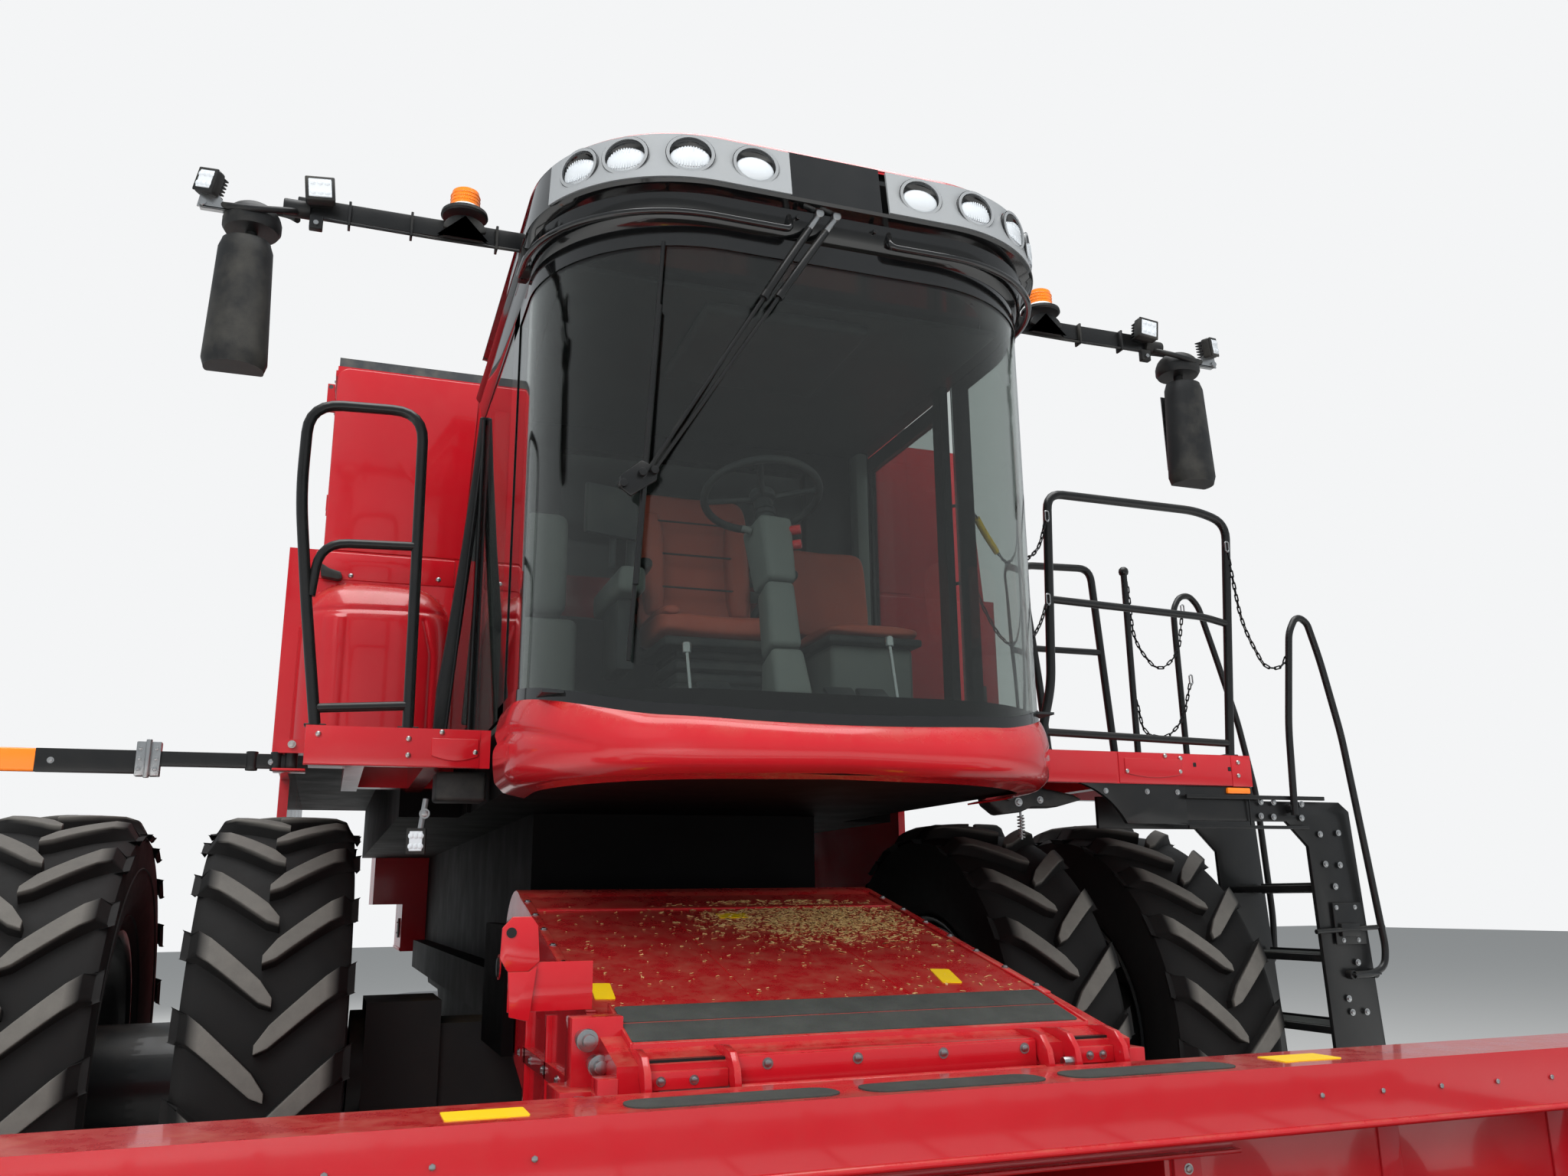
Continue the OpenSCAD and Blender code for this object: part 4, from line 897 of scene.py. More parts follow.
def mirror_head(x, y):
    """Hooded mirror housing: rounded back, cut off at an angle at its lower end."""

    def fn(u, v):
        z = 3.59 - 0.42 * v
        w = 0.078 + 0.016 * v
        d = 0.068 + 0.02 * v
        end = min(1.0, min(v, 1 - v) / 0.06)
        k = 0.9 + 0.1 * sqrt(max(0.0, 1 - (1 - end) ** 2))
        return x + w * k * cos(2 * pi * u), y - 0.01 - d * k * max(-0.35, sin(2 * pi * u)), z

    shell = surface(fn, 40, 16, merge=1e-5)
    tops = []
    for z, w, d in ((3.59, 0.078 * 0.9, 0.068 * 0.9), (3.17, 0.094 * 0.9, 0.088 * 0.9)):
        pts = [(x + w * cos(2 * pi * i / 40), y - 0.01 - d * max(-0.35, sin(2 * pi * i / 40))) for i in range(40)]
        tops.append(plate(pts, "z", z - 0.002, z + 0.002))
    return outward(joined([shell, *tops]), 0.0002)


def cube_lamp(w, h):
    """A square work lamp facing -y: finned housing, and its lens with six reflector cells."""
    body = [box((-w / 2, -0.03, -h / 2), (w / 2, 0.005, h / 2), 0.008, 3)]
    body += [box((-w / 2 + 0.008, 0.0, -h / 2 + 0.01 + i * (h - 0.02) / 5),
        (w / 2 - 0.008, 0.032, -h / 2 + 0.014 + i * (h - 0.02) / 5)) for i in range(6)]
    body.append(box((-w / 2, -0.036, -h / 2), (w / 2, -0.028, h / 2), 0.004))
    lens = [box((-w / 2 + 0.01, -0.0385, -h / 2 + 0.01), (w / 2 - 0.01, -0.034, h / 2 - 0.01), 0.002, 1)]
    lens += [turned([(0, -0.042), (0.006, -0.041), (0.0105, -0.038), (0, -0.038)], (i * w * 0.24, 0, j * h * 0.2),
        "y", 12) for i in (-1, 0, 1) for j in (-1, 1)]
    return joined(body), joined(lens)


def build_beacons():
    lens, base = [], []
    for s in (-1, 1):
        x = s * 1.09
        lens.append(turned([(0, 3.895), (0.034, 3.894), (0.043, 3.888), (0.046, 3.87), (0.047, 3.832), (0, 3.832)],
            (x, -1.655, 0), "z", 40))
        lens += [turned([(0.0455, z - 0.003), (0.0485, z), (0.0455, z + 0.003)], (x, -1.655, 0), "z", 40)
            for z in (3.845, 3.858, 3.871)]
        base.append(turned([(0, 3.832), (0.047, 3.832), (0.05, 3.828), (0.05, 3.816), (0, 3.816)], (x, -1.655, 0),
            "z", 40))
    piece("beacon_lenses", lens, AMBER, stands_for=["beacons"])
    piece("beacon_bases", base, WHITE)


build_roof_band()
build_grab_bars()
build_wipers()
build_mirrors()
build_beacons()


# ---- inside the cab
def cushion(low, high, round_, fn=None, cuts=5):
    """A soft block: bevelled, subdivided, and pushed about by fn(x, y, z) from -1 to 1."""
    ob = box(low, high)
    deselect()
    choose(ob)
    bpy.ops.object.mode_set(mode="EDIT")
    bpy.ops.mesh.select_all(action="SELECT")
    bpy.ops.mesh.subdivide(number_cuts=cuts)
    bpy.ops.object.mode_set(mode="OBJECT")
    mid = [(a + b) / 2 for a, b in zip(low, high)]
    half = [abs(b - a) / 2 for a, b in zip(low, high)]
    for v in ob.data.vertices:
        q = [(c - m) / h for c, m, h in zip(v.co, mid, half)]
        # superellipse: corners drawn in to the rounding radius
        for i in range(3):
            others = [abs(q[j]) for j in range(3) if j != i]
            v.co[i] -= q[i] * round_ * (others[0] ** 4 + others[1] ** 4) * 0.5
        if fn:
            v.co = Vector(v.co) + Vector(fn(*q))
    modify(ob, "SUBSURF", levels=2, render_levels=2)
    return ob


def build_seats():
    """Operator's seat with side bolsters, and the narrow instructor's seat beside it."""

    def squab(x, y, z):
        return 0, 0, (0.022 * x * x - 0.014 * (1 - y * y)) * (z > 0) - 0.05 * max(0.0, -y - 0.5) ** 2 * (z > 0)

    def back(x, y, z):
        return 0, -0.045 * x * x * (y < 0) + 0.02 * (1 - z * z) * (y < 0), 0.0

    main = [cushion((-0.31, -1.275, FLOOR + 0.335), (0.19, -0.84, FLOOR + 0.45), 0.03, squab)]
    rest = cushion((-0.3, -0.845, FLOOR + 0.42), (0.18, -0.735, FLOOR + 1.045), 0.035, back)
    turn(rest, -8, "X", (0, -0.8, FLOOR + 0.43))
    main.append(rest)
    for s in (-1, 1):
        side = cushion((-0.06 + s * 0.175 - 0.045, -0.91, FLOOR + 0.5),
            (-0.06 + s * 0.175 + 0.045, -0.81, FLOOR + 0.93), 0.02)
        turn(side, -8, "X", (0, -0.8, FLOOR + 0.43))
        main += [side, cushion((-0.06 + s * 0.205 - 0.04, -1.265, FLOOR + 0.41),
            (-0.06 + s * 0.205 + 0.04, -0.86, FLOOR + 0.465), 0.018)]
    second = [cushion((0.335, -1.27, FLOOR + 0.38), (0.72, -0.87, FLOOR + 0.44), 0.02)]
    rest = cushion((0.345, -0.8, FLOOR + 0.47), (0.71, -0.72, FLOOR + 0.86), 0.03, back)
    turn(rest, -8, "X", (0, -0.76, FLOOR + 0.47))
    second.append(rest)
    ob = piece("seat_cushions", main + second, LEATHER, stands_for=["seats"], smooth=60)
    seams, dark = [], []
    seams += [bar((-0.22, -0.872 + 0.14 * (z - 0.62), FLOOR + z), (0.1, -0.872 + 0.14 * (z - 0.62), FLOOR + z),
        0.004, 8) for z in (0.62, 0.76, 0.9)]
    # suspension bellows under the operator, slatted base, arm rests, belt buckle
    for i in range(6):
        k = 0.012 * (i % 2)
        dark.append(box((-0.24 + k, -1.19 + k, FLOOR + 0.05 + i * 0.045),
            (0.12 - k, -0.86 - k, FLOOR + 0.095 + i * 0.045), 0.012, 1))
    dark += [box((-0.29, -1.25, FLOOR + 0.31), (0.17, -0.85, FLOOR + 0.345), 0.01),
        box((0.335, -1.265, FLOOR + 0.355), (0.72, -0.87, FLOOR + 0.385), 0.01)]
    for x in (-0.345, 0.225):
        arm = cushion((x - 0.035, -1.18, FLOOR + 0.6), (x + 0.035, -0.86, FLOOR + 0.655), 0.015)
        dark += [arm, bar((x, -0.85, FLOOR + 0.6), (x * 0.8, -0.8, FLOOR + 0.52), 0.016, 12)]
    piece("seat_seams", seams + dark, CAB_DARK, smooth=45)
    pale = [box((0.36, -1.22, FLOOR + 0.02), (0.7, -0.9, FLOOR + 0.355), 0.02, 3)]
    piece("second_seat_box", pale, CAB_GREY)


def build_controls():
    """Steering column, thin four-spoke wheel, pedals, armrest console, slats and posts behind."""
    grey_parts, dark, red, silver = [], [], [], []
    foot, knee, head = Vector((-0.069, -1.9, FLOOR)), Vector((-0.064, -1.79, 2.58)), Vector((-0.072, -1.73, 2.81))

    def limb(a, b, w0, d0, w1, d1):
        ob = box((-0.5, -0.5, 0), (0.5, 0.5, 1))
        q = (b - a).to_track_quat("Z", "Y").to_matrix().to_4x4()
        for v in ob.data.vertices:
            k = v.co.z
            v.co = (v.co.x * (w0 + (w1 - w0) * k), v.co.y * (d0 + (d1 - d0) * k), k * (b - a).length)
        ob.data.transform(Matrix.Translation(a) @ q)
        return bevel(ob, 0.018, 3)

    grey_parts += [limb(foot, foot.lerp(knee, 0.42), 0.12, 0.185, 0.105, 0.125),
        limb(foot.lerp(knee, 0.44), knee, 0.105, 0.12, 0.095, 0.12),
        limb(knee + Vector((0, 0.002, 0.004)), head, 0.1, 0.13, 0.12, 0.15)]
    axis = Vector((0, 0.36, 1)).normalized()
    q = axis.to_track_quat("Z", "Y").to_matrix().to_4x4()
    dark.append(bar(head - axis * 0.01, head + axis * 0.1, 0.032, 20, edge=0.004))
    dark += [bar(head + axis * (0.012 + i * 0.022), head + axis * (0.022 + i * 0.022), 0.038, 20, edge=0.003)
        for i in range(3)]
    hub = head + axis * 0.125
    ring = [Vector((0.195 * cos(2 * pi * i / 48), 0.195 * sin(2 * pi * i / 48), 0)) for i in range(48)]
    wheel = tube(ring, 0.0135, 0.0, 5, closed=True)
    wheel.data.transform(Matrix.Translation(hub) @ q)
    dark.append(wheel)
    for a in (-20, 70, 160, 250):
        d = q @ Vector((cos(radians(a)), sin(radians(a)), 0))
        dark.append(bar(hub + d * 0.03 - axis * 0.012, hub + d * 0.19, 0.01, 10))
    dark.append(bar(hub - axis * 0.02, hub + axis * 0.012, 0.045, 28, edge=0.008))
    red += [bar((x - 0.015, -1.79, z), (x + 0.02, -1.81, z + 0.004), 0.016, 16, edge=0.005)
        for x, z in ((0.0, 2.78), (0.002, 2.73))]
    grey_parts.append(bar((-0.16, -1.74, 2.79), (-0.13, -1.75, 2.78), 0.012, 12))
    # pedals
    for x in (-0.3, 0.11, 0.22):
        dark += [turn(box((x - 0.05, -1.96, FLOOR + 0.03), (x + 0.05, -1.86, FLOOR + 0.05), 0.008), 35, "X",
            (x, -1.91, FLOOR + 0.04)), bar((x, -1.88, FLOOR), (x, -1.9, FLOOR + 0.05), 0.009, 10)]
    for x, z in ((0.33, 2.42), (-0.36, 2.36)):
        silver += [bar((x, -1.86, FLOOR), (x, -1.8, z), 0.006, 10),
            bar((x, -1.8, z - 0.01), (x, -1.796, z + 0.025), 0.014, 14, edge=0.004)]
    # arm console with screen and joystick on the right of the driver
    grey_parts.append(box((-0.47, -1.3, 2.66), (-0.37, -0.8, 2.76), 0.025, 3))
    dark += [box((-0.455, -1.2, 2.4), (-0.385, -0.95, 2.66), 0.015),
        bar((-0.42, -1.25, 2.75), (-0.42, -1.27, 2.86), 0.02, 14, edge=0.006),
        cushion((-0.455, -1.33, 2.85), (-0.385, -1.24, 2.92), 0.02, None, 2)]
    screen = turn(box((-0.62, -1.36, 2.84), (-0.4, -1.33, 3.02), 0.008), 18, "Z", (-0.5, -1.34, 2.9))
    dark += [screen, bar((-0.5, -1.31, 2.74), (-0.5, -1.325, 2.86), 0.012, 12)]
    grey_parts += [box((-0.8, -1.0, FLOOR + 0.01), (-0.56, -0.5, 2.62), 0.03, 3),
        box((-0.8, -0.98, 2.64), (-0.6, -0.48, 3.03), 0.04, 3)]
    # two pale slats behind between the seats, and the posts at the rear corners
    grey_parts += [box((0.19, -0.475, z), (0.4, -0.463, z + 0.05), 0.004, 1) for z in (2.86, 2.95)]
    grey_parts += [box((s * 0.8 - 0.03, -0.56, FLOOR), (s * 0.8 + 0.03, -0.47, 3.58), 0.015) for s in (-1, 1)]
    dark += [box((-0.8, -0.475, 2.2), (0.8, -0.463, 2.74), 0.004, 1),
        box((-0.83, -1.98, FLOOR), (0.83, -0.47, FLOOR + 0.008))]
    # headliner under the roof
    dark += [box((-0.78, -1.85, 3.565), (0.78, -0.5, 3.59), 0.01),
        box((-0.3, -1.8, 3.52), (0.3, -1.2, 3.565), 0.02, 3)]
    piece("cab_trim_grey", grey_parts, CAB_GREY, stands_for=["cab_console"])
    piece("cab_trim_dark", dark, CAB_DARK)
    piece("cab_knobs", red, RED, slot="")
    piece("cab_stalks", silver, CHROME)


build_seats()
build_controls()
# ---- feeder house and header
HEADER = "feeder_and_header"


def feeder_z(y):
    return 1.65 + (y + 0.7) * 0.2371


def step_z(y):
    return 1.341 + (y + 2.085) * 0.278


def pad(x0, x1, y0, y1, height, lift, r=0.02, edge=0.0, steps=5):
    """A flat pad with rounded corners, laid on the slope z = lift(y)."""
    pts = []
    for cx, cy, a0 in ((x1 - r, y1 - r, 0), (x0 + r, y1 - r, 90), (x0 + r, y0 + r, 180), (x1 - r, y0 + r, 270)):
        for i in range(steps + 1):
            a = radians(a0 + 90 * i / steps)
            pts.append((cx + r * cos(a), cy + r * sin(a)))
    ob = plate(pts, "z", 0, height)
    if edge:
        bevel(ob, edge, 1)
    for v in ob.data.vertices:
        v.co.z += lift(v.co.y)
    return ob


def stamp(ob, matrices):
    """One mesh holding a copy of a part at each place."""
    me = ob.data
    n = len(me.vertices)
    points = [0.0] * (n * 3)
    me.vertices.foreach_get("co", points)
    points = [Vector(points[i:i + 3]) for i in range(0, n * 3, 3)]
    faces = [tuple(p.vertices) for p in me.polygons]
    bpy.data.objects.remove(ob)
    new = bpy.data.meshes.new("stamped")
    new.from_pydata([m @ p for m in matrices for p in points], [],
        [[v + k * n for v in f] for k in range(len(matrices)) for f in faces])
    return shown("stamped", new)


BOLTS = {}


def bolt(at, facing, r=0.011, long=0.008, washer=True):
    """A hexagon head on its washer, facing along a direction."""
    key = (r, long, washer)
    if key not in BOLTS:
        parts = [bar((0, 0, 0), (0, 0, long), r, 6, edge=0.0012)]
        if washer:
            parts.append(bar((0, 0, -0.001), (0, 0, 0.0015), r * 1.45, 16))
        one = joined(parts)
        BOLTS[key] = one.data
        bpy.data.objects.remove(one)
    me = BOLTS[key].copy()
    me.transform(Matrix.Translation(at) @ Vector(facing).to_track_quat("Z", "Y").to_matrix().to_4x4())
    ob = bpy.data.objects.new("bolt", me)
    bpy.context.scene.collection.objects.link(ob)
    return [ob]


def flakes(count, where, lift, low=0.008, high=0.026):
    """Bits of straw and husk scattered at where(), lying on a slope."""
    places = []
    for _ in range(count):
        x, y = where()
        size = random.uniform(low, high)
        places.append(Matrix.Translation((x, y, lift(y) + 0.0015))
            @ Matrix.Rotation(random.uniform(0, 6.28), 4, "Z") @ Matrix.Rotation(random.uniform(-0.5, 0.5), 4, "X")
            @ Matrix.Rotation(random.uniform(-0.3, 0.3), 4, "Y")
            @ Matrix.Diagonal((size, size * random.uniform(0.12, 0.6), 0.0012, 1)))
    return [stamp(box((-0.5, -0.5, 0), (0.5, 0.5, 1)), places)]


def build_feeder():
    strips = [pad(-0.633, 0.632, -2.203, -2.098, 0.003, step_z, 0.012),
        pad(-0.64, 0.625, -2.326, -2.214, 0.003, step_z, 0.012)]
    piece("feeder_step_grip", strips, GRIT, HEADER)
    red, dark, silver, yellow = [], [], [], []
    # folded cheeks and front lip of the step
    red += [plate([(-2.075, 1.348), (-2.343, 1.274), (-2.343, 1.225), (-2.075, 1.285)], "x", s * 0.641 - 0.004,
        s * 0.641 + 0.004, 0.002) for s in (-1, 1)]
    red.append(box((-0.64, -2.345, 1.234), (0.64, -2.337, 1.271), 0.002))
    # seams and edge strips on the long top sheet
    red += [pad(x0, x1, -2.07, -0.8, 0.006, feeder_z, 0.004, 0.0015) for x0, x1 in ((-0.7, -0.672), (0.672, 0.7))]
    red += [pad(x - 0.004, x + 0.004, -2.07, -0.85, 0.003, feeder_z, 0.002) for x in (-0.215, 0.255)]
    red.append(pad(-0.67, 0.67, -1.02, -0.99, 0.006, feeder_z, 0.004, 0.0015))
    for s in (-1, 1):
        for i in range(7):
            y = -0.9 - i * 0.185
            silver += bolt((s * 0.686, y, feeder_z(y) + 0.006), (0, -0.23, 1), 0.008, 0.006)
    # cross member with its bolts, the round bar and the hooks that carry the header
    red += [box((-0.415, -2.463, 1.178), (0.405, -2.449, 1.246), 0.004),
        box((-0.415, -2.455, 1.238), (0.405, -2.335, 1.25), 0.003),
        bar((-0.425, -2.49, 1.168), (0.49, -2.49, 1.168), 0.019, 24, edge=0.003)]
    hook = [(-2.33, 1.262), (-2.42, 1.268), (-2.475, 1.258), (-2.507, 1.225), (-2.518, 1.18), (-2.508, 1.146),
        (-2.485, 1.14), (-2.468, 1.152), (-2.463, 1.19), (-2.455, 1.2), (-2.33, 1.2)]
    red += [plate(hook, "x", x - 0.009, x + 0.009, 0.003) for x in (-0.64, -0.425, 0.418, 0.5, 0.645)]
    # black sheets laid in the pockets between the hooks: painted shade of the pockets
    for x0, x1 in ((-0.631, -0.434), (0.509, 0.636)):
        dark.append(box((x0, -2.44, 1.236), (x1, -2.33, 1.244)))
        red += [box((x0, -2.47, 1.18), (x1, -2.449, 1.222), 0.004),
            box((x0, -2.5, 1.15), (x1, -2.45, 1.166), 0.004)]
    silver += [q for x in (-0.335, -0.1, 0.135, 0.369) for q in bolt((x, -2.463, 1.226), (0, -1, 0), 0.0095, 0.007)]
    silver += [q for x in (-0.6, -0.52, 0.56, 0.6) for q in bolt((x, -2.47, 1.2), (0, -1, 0), 0.008, 0.006)]
    silver.append(bar((0.462, -2.492, 1.19), (0.505, -2.492, 1.19), 0.014, 16, edge=0.003))
    # folded bracket and quick couplers at the right-hand cheek
    red += [plate([(-0.938, 1.47), (-0.935, 1.545), (-0.91, 1.572), (-0.862, 1.572), (-0.845, 1.55),
        (-0.838, 1.462), (-0.866, 1.438), (-0.918, 1.438)], "y", -2.156, -2.148, 0.002),
        plate([(-0.918, 1.438), (-0.866, 1.438), (-0.846, 1.452), (-0.862, 1.318), (-0.912, 1.33)], "y", -2.166,
        -2.156, 0.002), box((-0.915, -2.15, 1.34), (-0.7, -2.142, 1.46), 0.002)]
    dark.append(bar((-0.912, -2.159, 1.533), (-0.912, -2.15, 1.533), 0.013, 16))
    for x, z, y0 in ((-0.742, 1.282, -2.25), (-0.712, 1.222, -2.25), (-0.768, 1.14, -2.33), (-0.738, 1.06, -2.33)):
        silver += [bar((x, y0 + 0.01, z), (x, y0 - 0.045, z), 0.021, 20, edge=0.003),
            bar((x, y0 - 0.045, z), (x, y0 - 0.066, z), 0.027, 20, edge=0.004),
            bar((x, y0 - 0.066, z), (x, y0 - 0.09, z), 0.016, 16, edge=0.003)]
    # seam flange round the cheek, side ribs with their bolts
    for s in (-1, 1):
        silver += [q for i in range(6) for q in bolt((s * 0.717, -1.05 - i * 0.24, 1.125), (s, 0, 0), 0.009, 0.007)]
        silver += [q for i in range(5) for q in bolt((s * 0.722, -2.452, 0.58 + i * 0.13), (0, -1, 0), 0.01, 0.008)]
        dark.append(bar((s * 0.745, -0.7, 1.38), (s * 0.757, -0.7, 1.38), 0.034, 24, edge=0.003))
    # blank yellow plates
    for cx, cy, w, l, a in ((-0.622, -1.902, 0.056, 0.14, -5), (0.004, -1.118, 0.11, 0.062, 0),
        (0.451, -1.874, 0.062, 0.14, -10)):
        one = pad(-w / 2, w / 2, -l / 2, l / 2, 0.0022, lambda y: 0, 0.006)
        one.data.transform(Matrix.Translation((cx, cy, feeder_z(cy) + 0.0005))
            @ Matrix.Rotation(atan(0.2371), 4, "X") @ Matrix.Rotation(radians(a), 4, "Z"))
        yellow.append(one)
    piece("feeder_fittings", red, RED, HEADER)
    # black coupler and rib parts, and the pockets' painted shade
    piece("feeder_pocket_shade_and_black_parts", dark, BLACK_COAT, HEADER)
    piece("feeder_bolts", silver, ZINC, HEADER, smooth=35)
    piece("feeder_warning_plates", yellow, YELLOW, HEADER, smooth=35)

    def near_pile():
        while True:
            x, y = random.gauss(0.3, 0.2), random.gauss(-1.18, 0.16)
            if -0.66 < x < 0.66 and -1.95 < y < -0.9:
                return x, y

    def anywhere():
        return random.uniform(-0.66, 0.66), random.uniform(-2.06, -0.95)

    def by_step():
        return random.uniform(0.15, 0.62), random.uniform(-2.06, -1.85)

    chaff = (flakes(2200, near_pile, feeder_z, 0.005, 0.026) + flakes(260, anywhere, feeder_z, 0.004, 0.012)
        + flakes(30, by_step, feeder_z, 0.006, 0.018))
    piece("chaff_on_feeder", chaff, STRAW, HEADER, smooth=30)


def build_header():
    flat = lambda y: 1.2
    strips = [pad(-0.755, -0.285, -2.835, -2.715, 0.003, flat, 0.05),
        pad(-0.225, 0.225, -2.835, -2.715, 0.003, flat, 0.05),
        pad(0.285, 0.755, -2.835, -2.715, 0.003, flat, 0.05)]
    piece("header_beam_grip", strips, GRIT, HEADER)
    yellow = []
    yellow += [pad(cx - w / 2, cx + w / 2, cy - 0.052, cy + 0.052, 0.0022, flat, 0.006)
        for cx, cy, w in ((-1.035, -2.765, 0.165), (1.0, -2.745, 0.18))]
    piece("header_warning_plates", yellow, YELLOW, HEADER, smooth=35)
    red, silver, dark = [], [], []
    # rolled front edge, back-wall seams, angle over the opening, end plates' flanges
    red.append(tube([(-2.6, -2.866, 1.056), (2.6, -2.866, 1.056)], 0.009, 0, 3))
    red += [box((x - 0.035, -2.706, 0.33), (x + 0.035, -2.698, 1.05), 0.003) for x in (-1.9, -1.3, 1.3, 1.9)]
    red += [box((-0.8, -2.712, 0.985), (0.8, -2.698, 1.025), 0.004),
        box((-0.8, -2.74, 0.99), (0.8, -2.7, 1.0), 0.002)]
    for s in (-1, 1):
        red.append(box((s * 0.66 - 0.04, -2.712, 0.42), (s * 0.66 + 0.04, -2.698, 1.0), 0.004))
        silver += [q for i in range(6) for q in bolt((s * 0.66, -2.712, 0.46 + i * 0.1), (0, -1, 0), 0.009, 0.006)]
    for s in (-1, 1):
        x = s * 2.6
        rim_path = [(x, -2.6, 0.2), (x, -2.6, 1.05), (x, -2.865, 1.05), (x, -3.45, 0.93), (x, -3.56, 0.42),
            (x, -3.33, 0.26), (x, -3.0, 0.2)]
        red.append(tube(rim_path, 0.01, 0.04, 3, closed=True))
        # end drive cover with its bolts, bearing of the auger
        cover = plate([(-2.66, 0.34), (-2.66, 0.98), (-2.86, 0.99), (-3.32, 0.86), (-3.42, 0.6), (-3.3, 0.36),
            (-3.05, 0.3)], "x", min(x, x + s * 0.055), max(x, x + s * 0.055), 0.018, 3)
        red.append(cover)
        silver += [q for y, z in ((-2.7, 0.4), (-2.7, 0.93), (-3.05, 0.36), (-3.3, 0.81), (-3.36, 0.6),
            (-2.95, 0.93)) for q in bolt((x + s * 0.055, y, z), (s, 0, 0), 0.01, 0.008)]
        dark.append(bar((x + s * 0.05, -3.08, 0.64), (x + s * 0.075, -3.08, 0.64), 0.06, 28, edge=0.006))
        # oblong handhole cover
        dark.append(box((x + s * 0.054 - 0.003, -2.98, 0.72), (x + s * 0.054 + 0.003, -2.78, 0.84), 0.0025))
    for i in range(27):
        x = -2.47 + i * 0.19
        if abs(x) > 0.8:
            silver += bolt((x, -2.8655, 1.13), (0, -1, 0), 0.007, 0.005, False)
    piece("header_trim", red, RED, HEADER)
    piece("header_bolts", silver, ZINC, HEADER, smooth=35)
    piece("header_covers", dark, BLACK_COAT, HEADER)


build_feeder()
build_header()
# ---- pickup, auger, guard, gauge wheels
ROLL = ((-3.56, 0.54, 0.1), (-4.68, 0.25, 0.09))


def loop(s):
    """Point and outward direction on the belt, at length s from the upper run's start (in metres)."""
    (y0, z0, r0), (y1, z1, r1) = ROLL
    d = Vector((0, y1 - y0, z1 - z0))
    length = d.length
    along = d.normalized()
    up = Vector((0, along.z, -along.y))
    if up.z < 0:
        up = -up
    run = length
    nose, tail = pi * r1, pi * r0
    s %= 2 * run + nose + tail
    c0, c1 = Vector((0, y0, z0)), Vector((0, y1, z1))
    if s < run:
        k = s / run
        return c0.lerp(c1, k) + up * (r0 + (r1 - r0) * k), up
    s -= run
    if s < nose:
        a = s / r1
        n = up * cos(a) + along * sin(a)
        return c1 + n * r1, n
    s -= nose
    if s < run:
        k = s / run
        return c1.lerp(c0, k) - up * (r1 + (r0 - r1) * k), -up
    a = (s - run) / r0
    n = -up * cos(a) - along * sin(a)
    return c0 + n * r0, n


LOOP = 2 * 1.15694 + pi * 0.19


def build_pickup():
    half = 2.285
    belts, seams, clips = [], [], []
    wide = 2 * half / 7
    for i in range(7):
        x0, x1 = -half + i * wide + 0.006, -half + (i + 1) * wide - 0.006

        def skin(u, v, x0=x0, x1=x1):
            p = loop(u * LOOP)[0]
            return x0 + (x1 - x0) * v, p.y, p.z

        belts.append(surface(skin, 120, 1, 0.006, -1, merge=1e-5))
        # joint of each belt with its lacing
        p = loop(0.35 + 0.11 * (i % 3))[0]
        seam = box((x0 + 0.01, p.y - 0.022, p.z - 0.002), (x1 - 0.01, p.y + 0.022, p.z + 0.004), 0.001, 1)
        seams.append(turn(seam, 14.5, "X", (0, p.y, p.z)))
    piece("pickup_belt_skins", belts, BELT, HEADER, stands_for=["pickup_belts"], smooth=50)
    rows, step = 22, wide / 5
    unit = [tube([(dx, 0, 0.0), (dx, -0.003, 0.028), (dx, 0.003, 0.048), (dx, 0.018, 0.07)], 0.0032, 0, 1)
        for dx in (-0.016, 0.016)]
    unit.append(box((-0.028, -0.012, -0.001), (0.028, 0.012, 0.008), 0.002, 1))
    pair = joined(unit)
    places = []
    for k in range(rows):
        p, n = loop(LOOP * k / rows)
        m = Matrix.Rotation(atan2(-n.y, n.z), 4, "X")
        places += [Matrix.Translation((-half + (i + 0.5) * step, p.y, p.z)) @ m for i in range(35)]
    piece("pickup_tines", [stamp(pair, places)], TINE, HEADER, smooth=50)
    for y, z, _ in ROLL:
        for s in (-1, 1):
            clips += [bar((s * 2.286, y, z), (s * 2.3, y, z), 0.03, 20, edge=0.003),
                bar((s * 2.324, y, z), (s * 2.336, y, z), 0.045, 6, edge=0.003)]
    # belt tensioners on the pickup's side plates
    for s in (-1, 1):
        clips += [bar((s * 2.345, -4.55, 0.285), (s * 2.345, -4.3, 0.35), 0.008, 12),
            *bolt((s * 2.325, -4.3, 0.35), (s, 0, 0), 0.012, 0.01)]
        clips += [q for y, z in ((-3.45, 0.36), (-3.62, 0.44), (-3.9, 0.36), (-4.2, 0.3))
            for q in bolt((s * 2.325, y, z), (s, 0, 0), 0.01, 0.008)]
    piece("pickup_fittings", clips, ZINC, HEADER)
    piece("belt_seams", seams, TRIM, HEADER, slot="")


